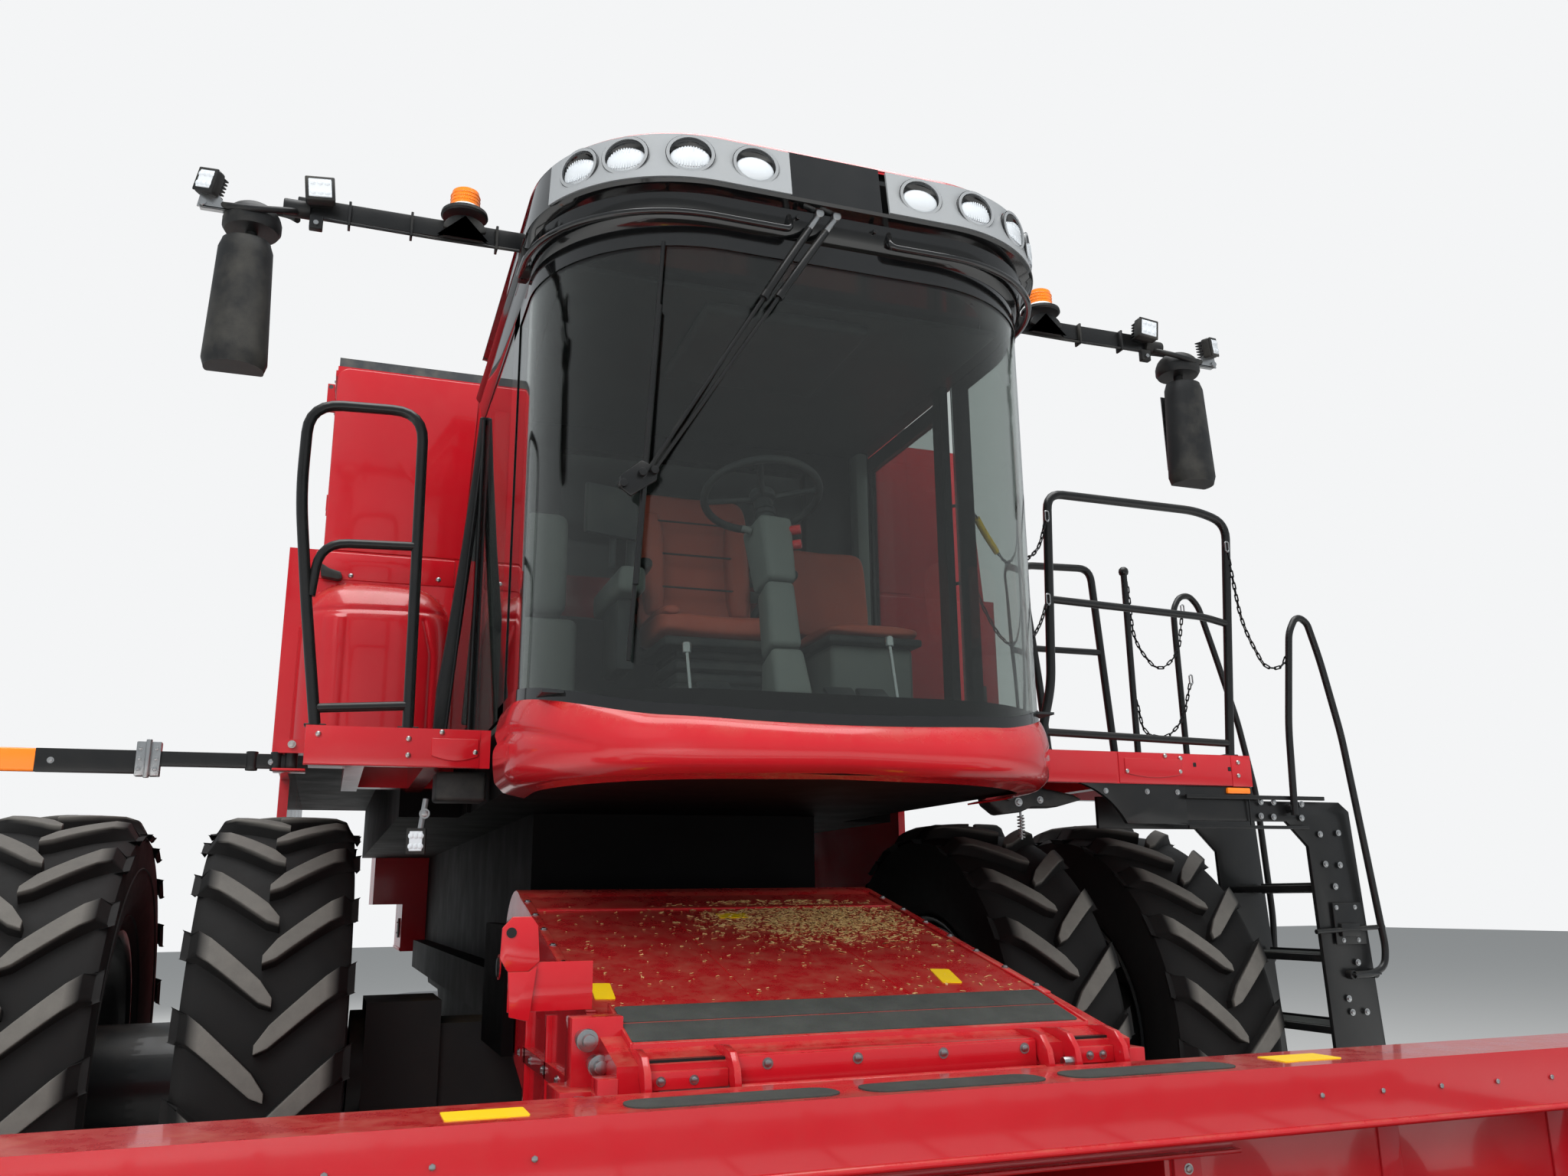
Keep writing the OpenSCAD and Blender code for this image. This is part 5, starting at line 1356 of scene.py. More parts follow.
def build_auger():
    y0, z0, r0, r1 = -3.08, 0.64, 0.15, 0.29
    red = [bar((-2.53, y0, z0), (2.53, y0, z0), r0, 64, edge=0.004)]
    worn = []
    for s in (-1, 1):
        def flight(u, v):
            x = 0.62 + 1.905 * u
            a = -2 * pi * (x - 0.62) / 0.52
            r = r0 - 0.004 + (r1 - r0 + 0.004) * v
            if u < 0.05:
                r = min(r, r0 + (r1 - r0) * u / 0.05 + 0.004)
            return x, y0 + r * sin(a), z0 + r * cos(a)

        one = surface(flight, 300, 3, 0.006, 0)
        worn.append(one if s > 0 else mirror_it(one))
    for i in range(10):
        x, a = -0.54 + 0.12 * i, radians(108 * i)
        d = Vector((0, -sin(a), cos(a)))
        worn.append(bar(Vector((x, y0, z0)) + d * 0.14, Vector((x, y0, z0)) + d * 0.285, 0.008, 14, edge=0.002))
        guide = bar(Vector((x, y0, z0)) + d * 0.146, Vector((x, y0, z0)) + d * 0.16, 0.024, 20, edge=0.003)
        worn.append(guide)
    red += [bar((x - 0.006, y0, z0), (x + 0.006, y0, z0), r0 + 0.012, 64, edge=0.002)
        for x in (-2.53, -0.58, 0.58, 2.53)]
    # bolted hand-hole covers on the tube
    for x in (-1.6, 0.0, 1.6):
        red.append(box((x - 0.09, y0 - 0.05, z0 + r0 - 0.012), (x + 0.09, y0 + 0.05, z0 + r0 + 0.004), 0.003))
        worn += [q for dx in (-0.07, 0.07) for dy in (-0.033, 0.033)
            for q in bolt((x + dx, y0 + dy, z0 + r0 + 0.004), (0, 0, 1), 0.007, 0.005)]
    worn += [bar((s * 2.535, y0, z0), (s * 2.59, y0, z0), 0.029, 24, edge=0.003) for s in (-1, 1)]
    piece("auger_tube", red, RED_DUSTY, "auger_body", stands_for=["header_auger"])
    piece("auger_flights", worn, WORN, "auger_body")


def build_guard():
    dark, silver = [], []
    for s in (-1, 1):
        x = s * 2.54
        silver += [q for y in (-3.5, -3.9, -4.15) for q in bolt((x + s * 0.021, y, 0.88), (s, 0, 0), 0.01, 0.008)]
        dark.append(bar((x - 0.035, -4.27, 0.88), (x + 0.035, -4.27, 0.88), 0.06, 28, edge=0.004))
        silver.append(bar((s * 2.555, -3.4, 0.88), (s * 2.568, -3.4, 0.88), 0.022, 6, edge=0.002))
    n = 14
    for i in range(n):
        x = -2.285 + 0.14 + 0.33 * i
        dark += [box((x - 0.018, -4.335, 0.845), (x + 0.018, -4.235, 0.935), 0.006),
            bar((x, -3.68, 0.81), (x, -3.664, 0.808), 0.012, 12, edge=0.002)]
        silver += bolt((x, -4.272, 0.935), (0, 0, 1), 0.007, 0.006)
    piece("guard_clamps", dark, BLACK_COAT, "windguard_body")
    piece("guard_bolts", silver, ZINC, "windguard_body")


def build_gauge_wheels():
    for name, s in (("left", 1), ("right", -1)):
        c = (s * 2.44, -4.15, 0.25)
        rubber_ = turned([(0.13, -0.052), (0.15, -0.064), (0.18, -0.069), (0.215, -0.06), (0.232, -0.044),
            (0.24, -0.016), (0.24, 0.016), (0.232, 0.044), (0.215, 0.06), (0.18, 0.069), (0.15, 0.064),
            (0.13, 0.052)], c, "x", 72)
        ribs = [turned([(0.236, t - 0.006), (0.2415, t - 0.004), (0.2415, t + 0.004), (0.236, t + 0.006)], c, "x",
            72) for t in (-0.022, 0.0, 0.022)]
        piece(f'gauge_tyre_{name}', [rubber_] + ribs, TYRE, f'gauge_{name}_body',
            stands_for=[f'gauge_wheel_{name}'], smooth=45)
        rim_ = turned([(0.128, -0.056), (0.136, -0.056), (0.132, -0.046), (0.118, -0.028), (0.07, -0.016),
            (0.048, -0.02), (0.044, -0.034), (0.022, -0.034), (0.022, 0.034), (0.044, 0.034), (0.048, 0.02),
            (0.07, 0.008), (0.118, 0.028), (0.132, 0.046), (0.136, 0.056), (0.128, 0.056)], c, "x", 56)
        nuts = []
        for k in range(5):
            a = 2 * pi * k / 5
            nuts += [q for t in (-1, 1)
                for q in bolt((c[0] + t * 0.015, c[1] + 0.075 * cos(a), c[2] + 0.075 * sin(a)), (t, 0, 0), 0.008,
                0.01)]
        piece(f'gauge_rim_{name}', [rim_], BLACK_COAT, f'gauge_{name}_body')
        piece(f'gauge_nuts_{name}', nuts, ZINC, f'gauge_{name}_body')


# ---- wheels
def barrel(c, r, h):
    """The rolled rim that a tyre sits on, with both bead flanges."""
    inner = [(r + 0.014, -h - 0.01), (r + 0.016, -h + 0.002), (r + 0.004, -h + 0.01), (r - 0.004, -h * 0.7),
        (r - 0.03, -h * 0.45), (r - 0.032, h * 0.45), (r - 0.004, h * 0.7), (r + 0.004, h - 0.01),
        (r + 0.016, h - 0.002), (r + 0.014, h + 0.01)]
    under = [(r + 0.004, h + 0.008), (r - 0.01, h - 0.006), (r - 0.016, h * 0.72), (r - 0.044, h * 0.46),
        (r - 0.044, -h * 0.46), (r - 0.016, -h * 0.72), (r - 0.01, -h + 0.006), (r + 0.004, -h - 0.008)]
    return turned(inner + under, c, "x", 96)


def disc(c, r, at, bow, hub, holes, hole_r, thick=0.012):
    """A pressed wheel disc with hand holes, at some distance along the axle from the wheel's middle."""
    front = [(hub, at), (r * 0.52, at + bow * 0.1), (r * 0.6, at + bow), (r * 0.84, at + bow * 0.9),
        (r * 0.93, at + bow * 0.2), (r - 0.03, at - bow * 0.4)]
    back = [(a, b - thick) for a, b in reversed(front)]
    ob = turned(front + back, c, "x", 96)
    cutters = []
    for k in range(holes):
        a = 2 * pi * k / holes
        p = Vector(c) + Vector((at + bow, r * 0.71 * sin(a), r * 0.71 * cos(a)))
        cutters.append(bar(p - Vector((0.1, 0, 0)), p + Vector((0.1, 0, 0)), hole_r, 24))
    cut = joined(cutters)
    modify(ob, "BOOLEAN", operation="DIFFERENCE", object=cut, solver="EXACT")
    bpy.data.objects.remove(cut)
    return bevel(ob, 0.002, 1, 50)


def ring_bolts(c, at, r, count, size, s=1):
    out = []
    for k in range(count):
        a = 2 * pi * (k + 0.5) / count
        p = (c[0] + at, c[1] + r * sin(a), c[2] + r * cos(a))
        out += [bar(p, (p[0] + s * size * 1.6, p[1], p[2]), size * 0.5, 10), *bolt(p, (s, 0, 0), size, size * 0.9)]
    return out


def both_sides(name, body, node, kinds):
    """Finished pieces of the left wheels and, mirrored, of the right ones."""
    for side in ("left", "right"):
        for kind, parts, material, slot in kinds:
            use = [copy_of(p) if side == "left" else mirror_it(p) for p in parts]
            swaps = [node.format(side)] if material is RIM else ()
            piece(f'{name}_{kind}_{side}', use, material, body.format(side), slot=slot, stands_for=swaps, smooth=35)


def build_wheels():
    z = FRONT_RADIUS
    grey_, nuts, dark = [], [], []
    inner, outer = [(x, 0, z) for x in DUALS_X]
    grey_ += [barrel(c, FRONT_RIM, 0.2) for c in (inner, outer)]
    grey_ += [disc(inner, FRONT_RIM, -0.15, 0.03, 0.2, 8, 0.034),
        disc(outer, FRONT_RIM, 0.07, 0.035, 0.12, 8, 0.034)]
    # drum between the discs, final drive's hub inside and its planetary cover outside
    grey_ += [turned([(0.21, 1.37), (0.214, 1.38), (0.206, 1.44), (0.206, 2.27), (0.214, 2.33), (0.21, 2.345),
        (0.18, 2.345), (0.18, 1.37)], (0, 0, z), "x", 72),
        turned([(0.1, 1.24), (0.215, 1.24), (0.235, 1.255), (0.235, 1.33), (0.22, 1.35), (0.22, 1.375),
        (0.1, 1.375)], (0, 0, z), "x", 72),
        turned([(0, 2.345), (0.175, 2.345), (0.175, 2.365), (0.13, 2.372), (0.128, 2.415), (0.112, 2.425),
        (0, 2.425)], (0, 0, z), "x", 72)]
    nuts += (ring_bolts((0, 0, z), 1.374, 0.235, 12, 0.014) + ring_bolts((0, 0, z), 2.362, 0.152, 12, 0.014)
        + ring_bolts((0, 0, z), 2.425, 0.095, 8, 0.009) + ring_bolts((0, 0, z), 2.425, 0.0, 1, 0.012))
    dark += [tube([(c[0] + t * 0.6, 0.47, z), (c[0] + t * 0.95, 0.475, z), (c[0] + t * 1.05, 0.46, z)], 0.006, 0.02,
        2) for c, t in ((inner, -0.215), (outer, 0.205))]
    both_sides("front", "front_wheels_{}", "wheels_front_{}",
        (("rims", grey_, RIM, "rim_paint"), ("nuts", nuts, ZINC, None), ("valves", dark, BLACK_COAT, None)))
    z = REAR_RADIUS
    grey_, nuts = [], []
    c = (REAR_X, REAR_Y, z)
    grey_ += [barrel(c, REAR_RIM, 0.232), disc(c, REAR_RIM, -0.128, 0.024, 0.09, 8, 0.026),
        turned([(0.06, 1.15), (0.115, 1.15), (0.13, 1.165), (0.13, 1.345), (0.115, 1.358), (0.06, 1.358)],
        (0, REAR_Y, z), "x", 56), turned([(0, 1.365), (0.095, 1.365), (0.095, 1.405), (0.078, 1.42),
        (0.072, 1.452), (0, 1.456)], (0, REAR_Y, z), "x", 56)]
    nuts += ring_bolts((0, REAR_Y, z), 1.38, 0.14, 10, 0.013) + ring_bolts((0, REAR_Y, z), 1.452, 0.045, 6, 0.007)
    both_sides("rear", "rear_wheel_{}_body", "wheel_rear_{}",
        (("rim", grey_, RIM, "rim_paint"), ("nuts", nuts, ZINC, None)))


build_pickup()
build_auger()
build_guard()
build_gauge_wheels()
build_wheels()


# ---- rails, chains, ladder, platforms
def chain(points, pitch=0.027):
    """A hanging chain of round-wire links through the given points."""
    path = rounded(points, 0.5, 10)
    lengths = [0.0]
    for a, b in zip(path, path[1:]):
        lengths.append(lengths[-1] + (b - a).length)
    link = tube([(0.0045 * sx, 0, 0.012 * sz) for sx, sz in ((1, -1), (1, 1), (-1, 1), (-1, -1))], 0.0027, 0.009, 1,
        closed=True)
    link.data.transform(Matrix.Diagonal((1.25, 1, 1.35, 1)))
    count = max(2, int(lengths[-1] / pitch))
    places, k = [], 0
    for i in range(count):
        s = (i + 0.5) * lengths[-1] / count
        while k < len(path) - 2 and lengths[k + 1] < s:
            k += 1
        d = path[k + 1] - path[k]
        p = path[k] + d.normalized() * (s - lengths[k])
        q = d.to_track_quat("Z", "Y").to_matrix().to_4x4()
        places.append(Matrix.Translation(p) @ q @ Matrix.Rotation(radians(90 * (i % 2)), 4, "Z"))
    return stamp(link, places)


def hook(at, size=0.022):
    """A snap hook: an oblong ring with its gate."""
    x, y, z = at
    return [tube([(x + 0.4 * size, y, z - size), (x + 0.4 * size, y, z + size), (x - 0.4 * size, y, z + size),
        (x - 0.4 * size, y, z - size)], 0.0035, 0.008, 2, closed=True),
        bar((x, y, z - size * 1.3), (x, y, z - size * 0.9), 0.006, 10)]


def build_rails():
    y = -1.085
    r = 0.019
    rails = [tube([(-1.433, y, FLOOR), (-1.492, y, 2.6), (-1.538, y, 2.98), (-1.535, y, 3.31), (-1.15, y, 3.325),
        (-1.138, y, FLOOR)], r, 0.11, 4),
        tube([(-1.48, y, 2.62), (-1.462, y, 2.81), (-1.145, y, 2.822)], 0.016, 0.1, 3),
        tube([(-1.436, y, 2.24), (-1.14, y, 2.26)], 0.016, 0, 3),
        tube([(1.336, y, FLOOR), (1.342, y, 2.28), (1.392, y, 2.45), (1.412, y, 2.85), (1.432, y, 3.285),
        (2.21, y, 3.28), (2.36, y, 3.235), (2.258, y, FLOOR)], r, 0.075, 4),
        tube([(1.414, y, 2.815), (2.19, y, 2.79), (2.316, y, 2.765)], 0.016, 0.05, 3),
        tube([(1.352, y, 2.255), (2.264, y, 2.235)], 0.016, 0, 3),
        tube([(1.92, -0.2, FLOOR), (1.885, -0.2, 2.62), (1.815, -0.2, 3.225), (2.225, -0.2, 3.238),
        (2.3, -0.2, FLOOR)], r, 0.07, 4), tube([(1.868, -0.2, 2.8), (2.262, -0.2, 2.8)], 0.016, 0, 3)]
    rails += [bar((2.25, -0.45, FLOOR), (2.25, -0.45, 3.165), 0.0155, 20),
        turned([(0, 3.137), (0.013, 3.139), (0.022, 3.148), (0.0245, 3.161), (0.022, 3.174), (0.013, 3.183),
        (0, 3.186)], (2.25, -0.45, 0), "z", 24)]
    rails += [box((p[0] - 0.035, p[1] - (0.034 if p[1] > -1 else 0.012), FLOOR),
        (p[0] + 0.035, p[1] + 0.034, FLOOR + 0.008), 0.003)
        for p in ((-1.433, y), (-1.138, y), (1.336, y), (2.258, y), (1.92, -0.2), (2.3, -0.2), (2.25, -0.45))]
    links = [chain([(0.918, -1.345, 3.1), (0.985, -1.31, 3.035), (1.09, -1.25, 2.95), (1.22, -1.17, 2.925),
        (1.36, -1.11, 3.02), (1.405, -1.1, 3.15)]),
        chain([(0.918, -1.345, 2.785), (0.99, -1.31, 2.68), (1.1, -1.24, 2.59), (1.24, -1.17, 2.585),
        (1.34, -1.12, 2.7), (1.385, -1.1, 2.79)]),
        chain([(2.262, -0.455, 3.11), (2.272, -0.46, 2.8), (2.385, -0.48, 2.655), (2.49, -0.51, 2.75),
        (2.515, -0.53, 2.95)]), chain([(2.262, -0.455, 2.52), (2.285, -0.46, 2.36), (2.385, -0.49, 2.33),
        (2.48, -0.51, 2.42), (2.525, -0.53, 2.6)]),
        chain([(2.342, -1.1, 3.09), (2.372, -1.11, 2.76), (2.46, -1.125, 2.57), (2.545, -1.135, 2.57),
        (2.592, -1.142, 2.67)])]
    shiny = []
    shiny += [q for at in ((1.412, -1.105, 3.175), (1.392, -1.105, 2.81), (2.516, -0.535, 2.97),
        (2.338, -1.105, 3.12), (0.915, -1.348, 3.12), (0.915, -1.348, 2.8), (2.528, -0.535, 2.62),
        (2.592, -1.145, 2.69)) for q in hook(at)]
    sleeve = [tube([(0.965, -1.322, 3.055), (1.02, -1.29, 3.005), (1.1, -1.245, 2.95)], 0.014, 0.05, 3)]
    piece("rails_tube", rails, BLACK_COAT, stands_for=["handrails"], smooth=50)
    piece("safety_chains", links, DARK_STEEL, smooth=60)
    piece("snap_hooks", shiny, ZINC, smooth=50)
    piece("chain_sleeve", sleeve, YELLOW, smooth=50)


def build_ladder():
    silver, dark, grip, grey_ = [], [], [], []
    silver += [q for x, z in ((2.366, 1.986), (2.433, 1.986), (2.36, 1.926), (2.426, 1.923), (2.582, 1.979),
        (2.575, 1.92), (2.665, 1.852), (2.765, 1.858), (2.676, 1.726), (2.754, 1.722), (2.715, 1.632),
        (2.789, 1.318), (2.718, 1.174), (2.729, 1.119), (2.806, 1.118), (2.74, 0.86), (2.81, 0.86), (2.75, 0.62),
        (2.82, 0.62)) for q in bolt((x, -1.12, z), (0, -1, 0), 0.0095, 0.007)]
    silver += [q for x in (1.6, 1.8, 1.95) for q in bolt((x, -1.112, 2.02), (0, -1, 0), 0.008, 0.006)]
    # latch with its lever, a step plate and the rail's lower shoe
    dark += [box((2.682, -1.127, 1.392), (2.845, -1.118, 1.565), 0.004),
        box((2.7, -1.145, 1.425), (2.8, -1.125, 1.48), 0.005),
        bar((2.57, -1.136, 1.448), (2.925, -1.136, 1.462), 0.01, 14),
        turned([(0, -0.016), (0.011, -0.013), (0.016, 0), (0.011, 0.013), (0, 0.016)], (2.922, -1.136, 1.462), "x",
        16)]
    silver += [q for x, z in ((2.7, 1.545), (2.8, 1.545), (2.72, 1.41), (2.8, 1.41))
        for q in bolt((x, -1.127, z), (0, -1, 0), 0.007, 0.005)]
    grey_.append(box((2.73, -1.162, 1.268), (2.87, -1.122, 1.276), 0.002))
    # grip on the treads, and pressed holes along their edge
    for i in range(5):
        z = 0.48 + i * 0.29
        x1 = 2.935 - 0.04 - i * 0.014
        grip.append(pad(2.67, x1 - 0.015, -1.07, -0.55, 0.002, lambda y, z=z: z + 0.0005, 0.01))
        dark.append(box((x1 - 0.006, -1.099, z - 0.034), (x1 + 0.002, -0.521, z + 0.012), 0.002))
    # grip on both platforms' floors
    grip += [pad(0.95, 2.29, -1.06, -0.14, 0.002, lambda y: FLOOR + 0.0005, 0.03),
        pad(-1.43, -0.91, -1.06, -0.14, 0.002, lambda y: FLOOR + 0.0005, 0.03)]
    # stiffener of the front frame and gussets of the arched plate
    dark += [box((1.98, -1.132, 1.995), (2.7, -1.119, 2.012), 0.002),
        box((1.98, -1.132, 1.872), (2.6, -1.119, 1.886), 0.002),
        box((2.3, -1.125, 1.885), (2.307, -1.119, 2.0), 0.001)]
    piece("ladder_bolts", silver, ZINC, smooth=35)
    piece("ladder_fittings", dark, BLACK_COAT)
    piece("step_grip", grip, GRIT)
    piece("ladder_shoe", grey_, RIM, smooth=35)


def build_fascias():
    red, silver, dark, amber = [], [], [], []
    y = -1.12
    red += [box((1.664, y - 0.004, 2.052), (2.226, y + 0.002, 2.178), 0.002),
        box((0.9, y - 0.004, 2.052), (1.652, y + 0.002, 2.178), 0.002),
        box((-1.46, y - 0.004, 2.052), (-0.9, y + 0.002, 2.178), 0.002),
        plate([(2.228, 2.178), (2.228, 2.048), (2.33, 2.048), (2.33, 2.16)], "y", y - 0.004, y + 0.002, 0.002)]
    # embossed covers
    for x0, x1, zs in ((1.69, 1.972, (2.155, 2.092)), (-1.06, -0.905, (2.148, 2.088))):
        pts = ([(x0, zs[0]), (x0, zs[1])]
            + [(x0 + (x1 - x0) * k / 8, zs[1] - 0.016 * sin(pi * k / 8)) for k in range(1, 8)]
            + [(x1, zs[1]), (x1, zs[0])])
        red.append(plate(pts, "y", y - 0.009, y - 0.003, 0.0035, 3))
    silver += [turned([(0, -0.007), (0.006, -0.006), (0.0095, -0.002), (0.0095, 0.001), (0, 0.001)],
        (x, y - 0.006, z), "y", 20) for x, z in ((1.318, 2.162), (1.314, 2.11), (1.7, 2.101), (1.892, 2.168),
        (1.968, 2.16), (1.962, 2.104), (2.262, 2.15), (2.258, 2.094), (-1.135, 2.143), (-1.134, 2.088),
        (-1.028, 2.168), (-0.915, 2.103), (-1.42, 2.15))]
    # small black squares for the fascia's holes: their dark is painted shade
    dark += [box((x - 0.008, y - 0.0052, z - 0.009), (x + 0.008, y - 0.002, z + 0.009), 0.001, 1)
        for x, z in ((2.039, 2.135), (2.216, 2.121))]
    amber.append(box((2.2, y - 0.002, 2.018), (2.318, y + 0.05, 2.044), 0.006))
    # red bracket and black bar of the fold-out warning light
    red.append(box((-1.555, -1.062, 2.035), (-1.452, -0.958, 2.043), 0.003))
    silver += bolt((-1.5, -1.052, 2.122), (0, -1, 0), 0.009, 0.007)
    # grating and toe boards
    red += [box((0.9, -0.118, 2.182), (2.33, -0.108, 2.235), 0.002),
        box((-1.46, -0.118, 2.182), (-0.94, -0.108, 2.235), 0.002)]
    piece("fascia_panels", red, RED)
    piece("fascia_bolts", silver, WHITE_ZINC, smooth=50)
    piece("fascia_hole_shade", dark, BLACK_COAT, slot="")
    piece("fascia_lamp", amber, AMBER)
    bar_, tip, pins = [], [], []
    bar_ += [box((-2.245, -1.012, 2.02), (-1.955, -0.988, 2.094), 0.003),
        box((-1.9, -1.011, 2.045), (-1.5, -0.989, 2.093), 0.003)]
    bar_ += [bar((x, -1.0, 2.038), (x, -1.0, 2.1), 0.019, 20, edge=0.002) for x in (-1.545, -1.62)]
    bar_.append(bar((-1.5, -1.0, 2.045), (-1.5, -1.0, 2.138), 0.021, 20, edge=0.002))
    tip.append(box((-2.672, -1.011, 2.02), (-2.238, -0.989, 2.094), 0.008, 3))
    # bright hinge in the middle of the bar
    pins += [box((-1.962, -1.019, 2.012), (-1.931, -0.981, 2.122), 0.003),
        box((-1.921, -1.019, 2.012), (-1.89, -0.981, 2.122), 0.003),
        bar((-1.926, -1.022, 2.006), (-1.926, -1.022, 2.128), 0.009, 16, edge=0.002)]
    pins += [q for z in (2.035, 2.067, 2.1) for x in (-1.95, -1.902)
        for q in bolt((x, -1.019, z), (0, -1, 0), 0.006, 0.004)]
    pins += (bolt((-2.2, -1.012, 2.056), (0, -1, 0), 0.007, 0.005)
        + bolt((-1.56, -1.012, 2.066), (0, -1, 0), 0.007, 0.005))
    piece("warning_bar", bar_, BLACK_COAT, "warning_arm_body", stands_for=["warning_arm"])
    piece("warning_lens", tip, AMBER, "warning_arm_body")
    piece("warning_pins", pins, ZINC, "warning_arm_body")


# ---- body
def build_front_panels():
    red, dark, silver = [], [], []
    # bulged moulding in front of the right-hand side, with its creases
    def bulge(u, v):
        x, z = -1.535 + 0.6 * u, 2.2 + 0.71 * v
        p = abs((x + 1.235) / 0.3)
        q = max(0.0, (z - 2.55) / 0.36)
        d = (p ** 3.4 + q ** 3.4) ** (1 / 3.4)
        out = 0.17 * max(0.0, 1 - min(1.0, d) ** 3) ** 0.55
        out -= 0.008 * exp(-((z - 2.775 - 0.03 * (x + 1.2)) / 0.01) ** 2) * (p < 0.93)
        out -= 0.008 * exp(-((x + 1.02 + 0.25 * max(0, z - 2.6)) / 0.009) ** 2) * (z < 2.75)
        out += 0.012 * (1 - min(1.0, abs(x + 1.4) / 0.045) ** 2 if abs(x + 1.4) < 0.045 else 0) * (z < 2.74)
        return x, -0.102 - out, z

    red.append(surface(bulge, 90, 90, 0.004, 1))
    # upper sheet of the tank with rounded corners, and the band under it
    corner = [(-1.468 + 0.05 * (1 - cos(a)), 3.84 + 0.05 * sin(a)) for a in [pi / 2 * k / 6 for k in range(7)]]
    red += [plate([(-1.468, 3.06)] + corner + [(-0.86, 3.89), (-0.9, 3.06)], "y", -0.074, -0.061, 0.006, 3),
        box((-1.5, -0.105, 2.925), (-0.93, -0.085, 3.045), 0.006)]
    silver += [turned([(0, -0.007), (0.007, -0.006), (0.011, -0.002), (0.011, 0.001), (0, 0.001)], (x, -0.105, z),
        "y", 20) for x, z in ((-1.354, 2.945), (-0.998, 2.955))]
    # black latch on it and the black post behind the cab's corner
    dark.append(plate([(-1.478, 2.985), (-1.44, 2.962), (-1.395, 2.95), (-1.385, 2.925), (-1.4, 2.915),
        (-1.47, 2.925)], "y", -0.15, -0.104, 0.006))
    for s in (-1, 1):
        post = [(s * 0.895, 2.3), (s * 0.8, 2.3), (s * 0.8, 3.7), (s * 0.838, 3.7), (s * 0.858, 3.1)]
        dark += [plate(post, "y", -0.395, -0.33, 0.012, 3),
            tube([(s * 0.876, -0.4, 2.32), (s * 0.846, -0.4, 3.08), (s * 0.822, -0.4, 3.68)], 0.01, 0.2, 3)]
    # left-hand front: two-step red sheet beside the cab and the vent in it
    red += [plate([(1.12, 3.06), (1.27, 3.06), (1.27, 3.86), (1.24, 3.89), (0.92, 3.89), (0.96, 3.06)], "y", -0.074,
        -0.061, 0.006, 3), box((0.95, -0.116, 2.235), (1.735, -0.104, 3.035), 0.008, 3)]
    dark += [box((1.56, -0.13, 2.487 + 0.046 * i), (1.658, -0.104, 2.512 + 0.046 * i), 0.006, 2) for i in range(3)]
    dark.append(box((1.552, -0.121, 2.475), (1.665, -0.114, 2.615), 0.004))
    # casting, spring and bolts under the left platform; grey box and work lamp under the right one
    dark += [plate([(1.095, 2.045), (1.11, 1.965), (1.165, 1.925), (1.25, 1.935), (1.3, 1.955), (1.42, 1.958),
        (1.545, 1.99), (1.5, 2.01), (1.3, 2.045)], "y", -1.03, -0.93, 0.012, 3),
        bar((1.19, -1.035, 2.0), (1.19, -1.05, 2.0), 0.022, 20, edge=0.003)]
    silver += (bolt((1.24, -1.03, 1.975), (0, -1, 0), 0.012, 0.01)
        + bolt((1.34, -1.03, 1.985), (0, -1, 0), 0.01, 0.01))
    spring = [(1.275 + 0.013 * cos(i * 0.8), -0.98 + 0.013 * sin(i * 0.8), 1.925 - i * 0.0016) for i in range(56)]
    silver += [tube(spring, 0.0028, 0, 2), bar((1.275, -0.98, 1.94), (1.275, -0.98, 1.83), 0.005, 10)]
    dark.append(box((-1.035, -1.05, 1.945), (-0.865, -0.92, 2.045), 0.012, 3))
    lamp = cube_lamp(0.062, 0.085)
    for q in lamp:
        q.data.transform(Matrix.Translation((-1.086, -1.06, 1.808)) @ Matrix.Rotation(radians(-8), 4, "Z"))
    dark.append(lamp[0])
    silver += [bar((-1.075, -1.055, 1.85), (-1.062, -1.045, 1.95), 0.01, 14),
        *bolt((-1.066, -1.068, 1.9), (0, -1, 0), 0.012, 0.012)]
    piece("front_side_panels", red, RED, smooth=55)
    piece("front_dark_parts", dark, TRIM)
    piece("front_small_bolts", silver, ZINC, smooth=45)
    piece("underside_lamp_lens", [lamp[1]], LAMP)


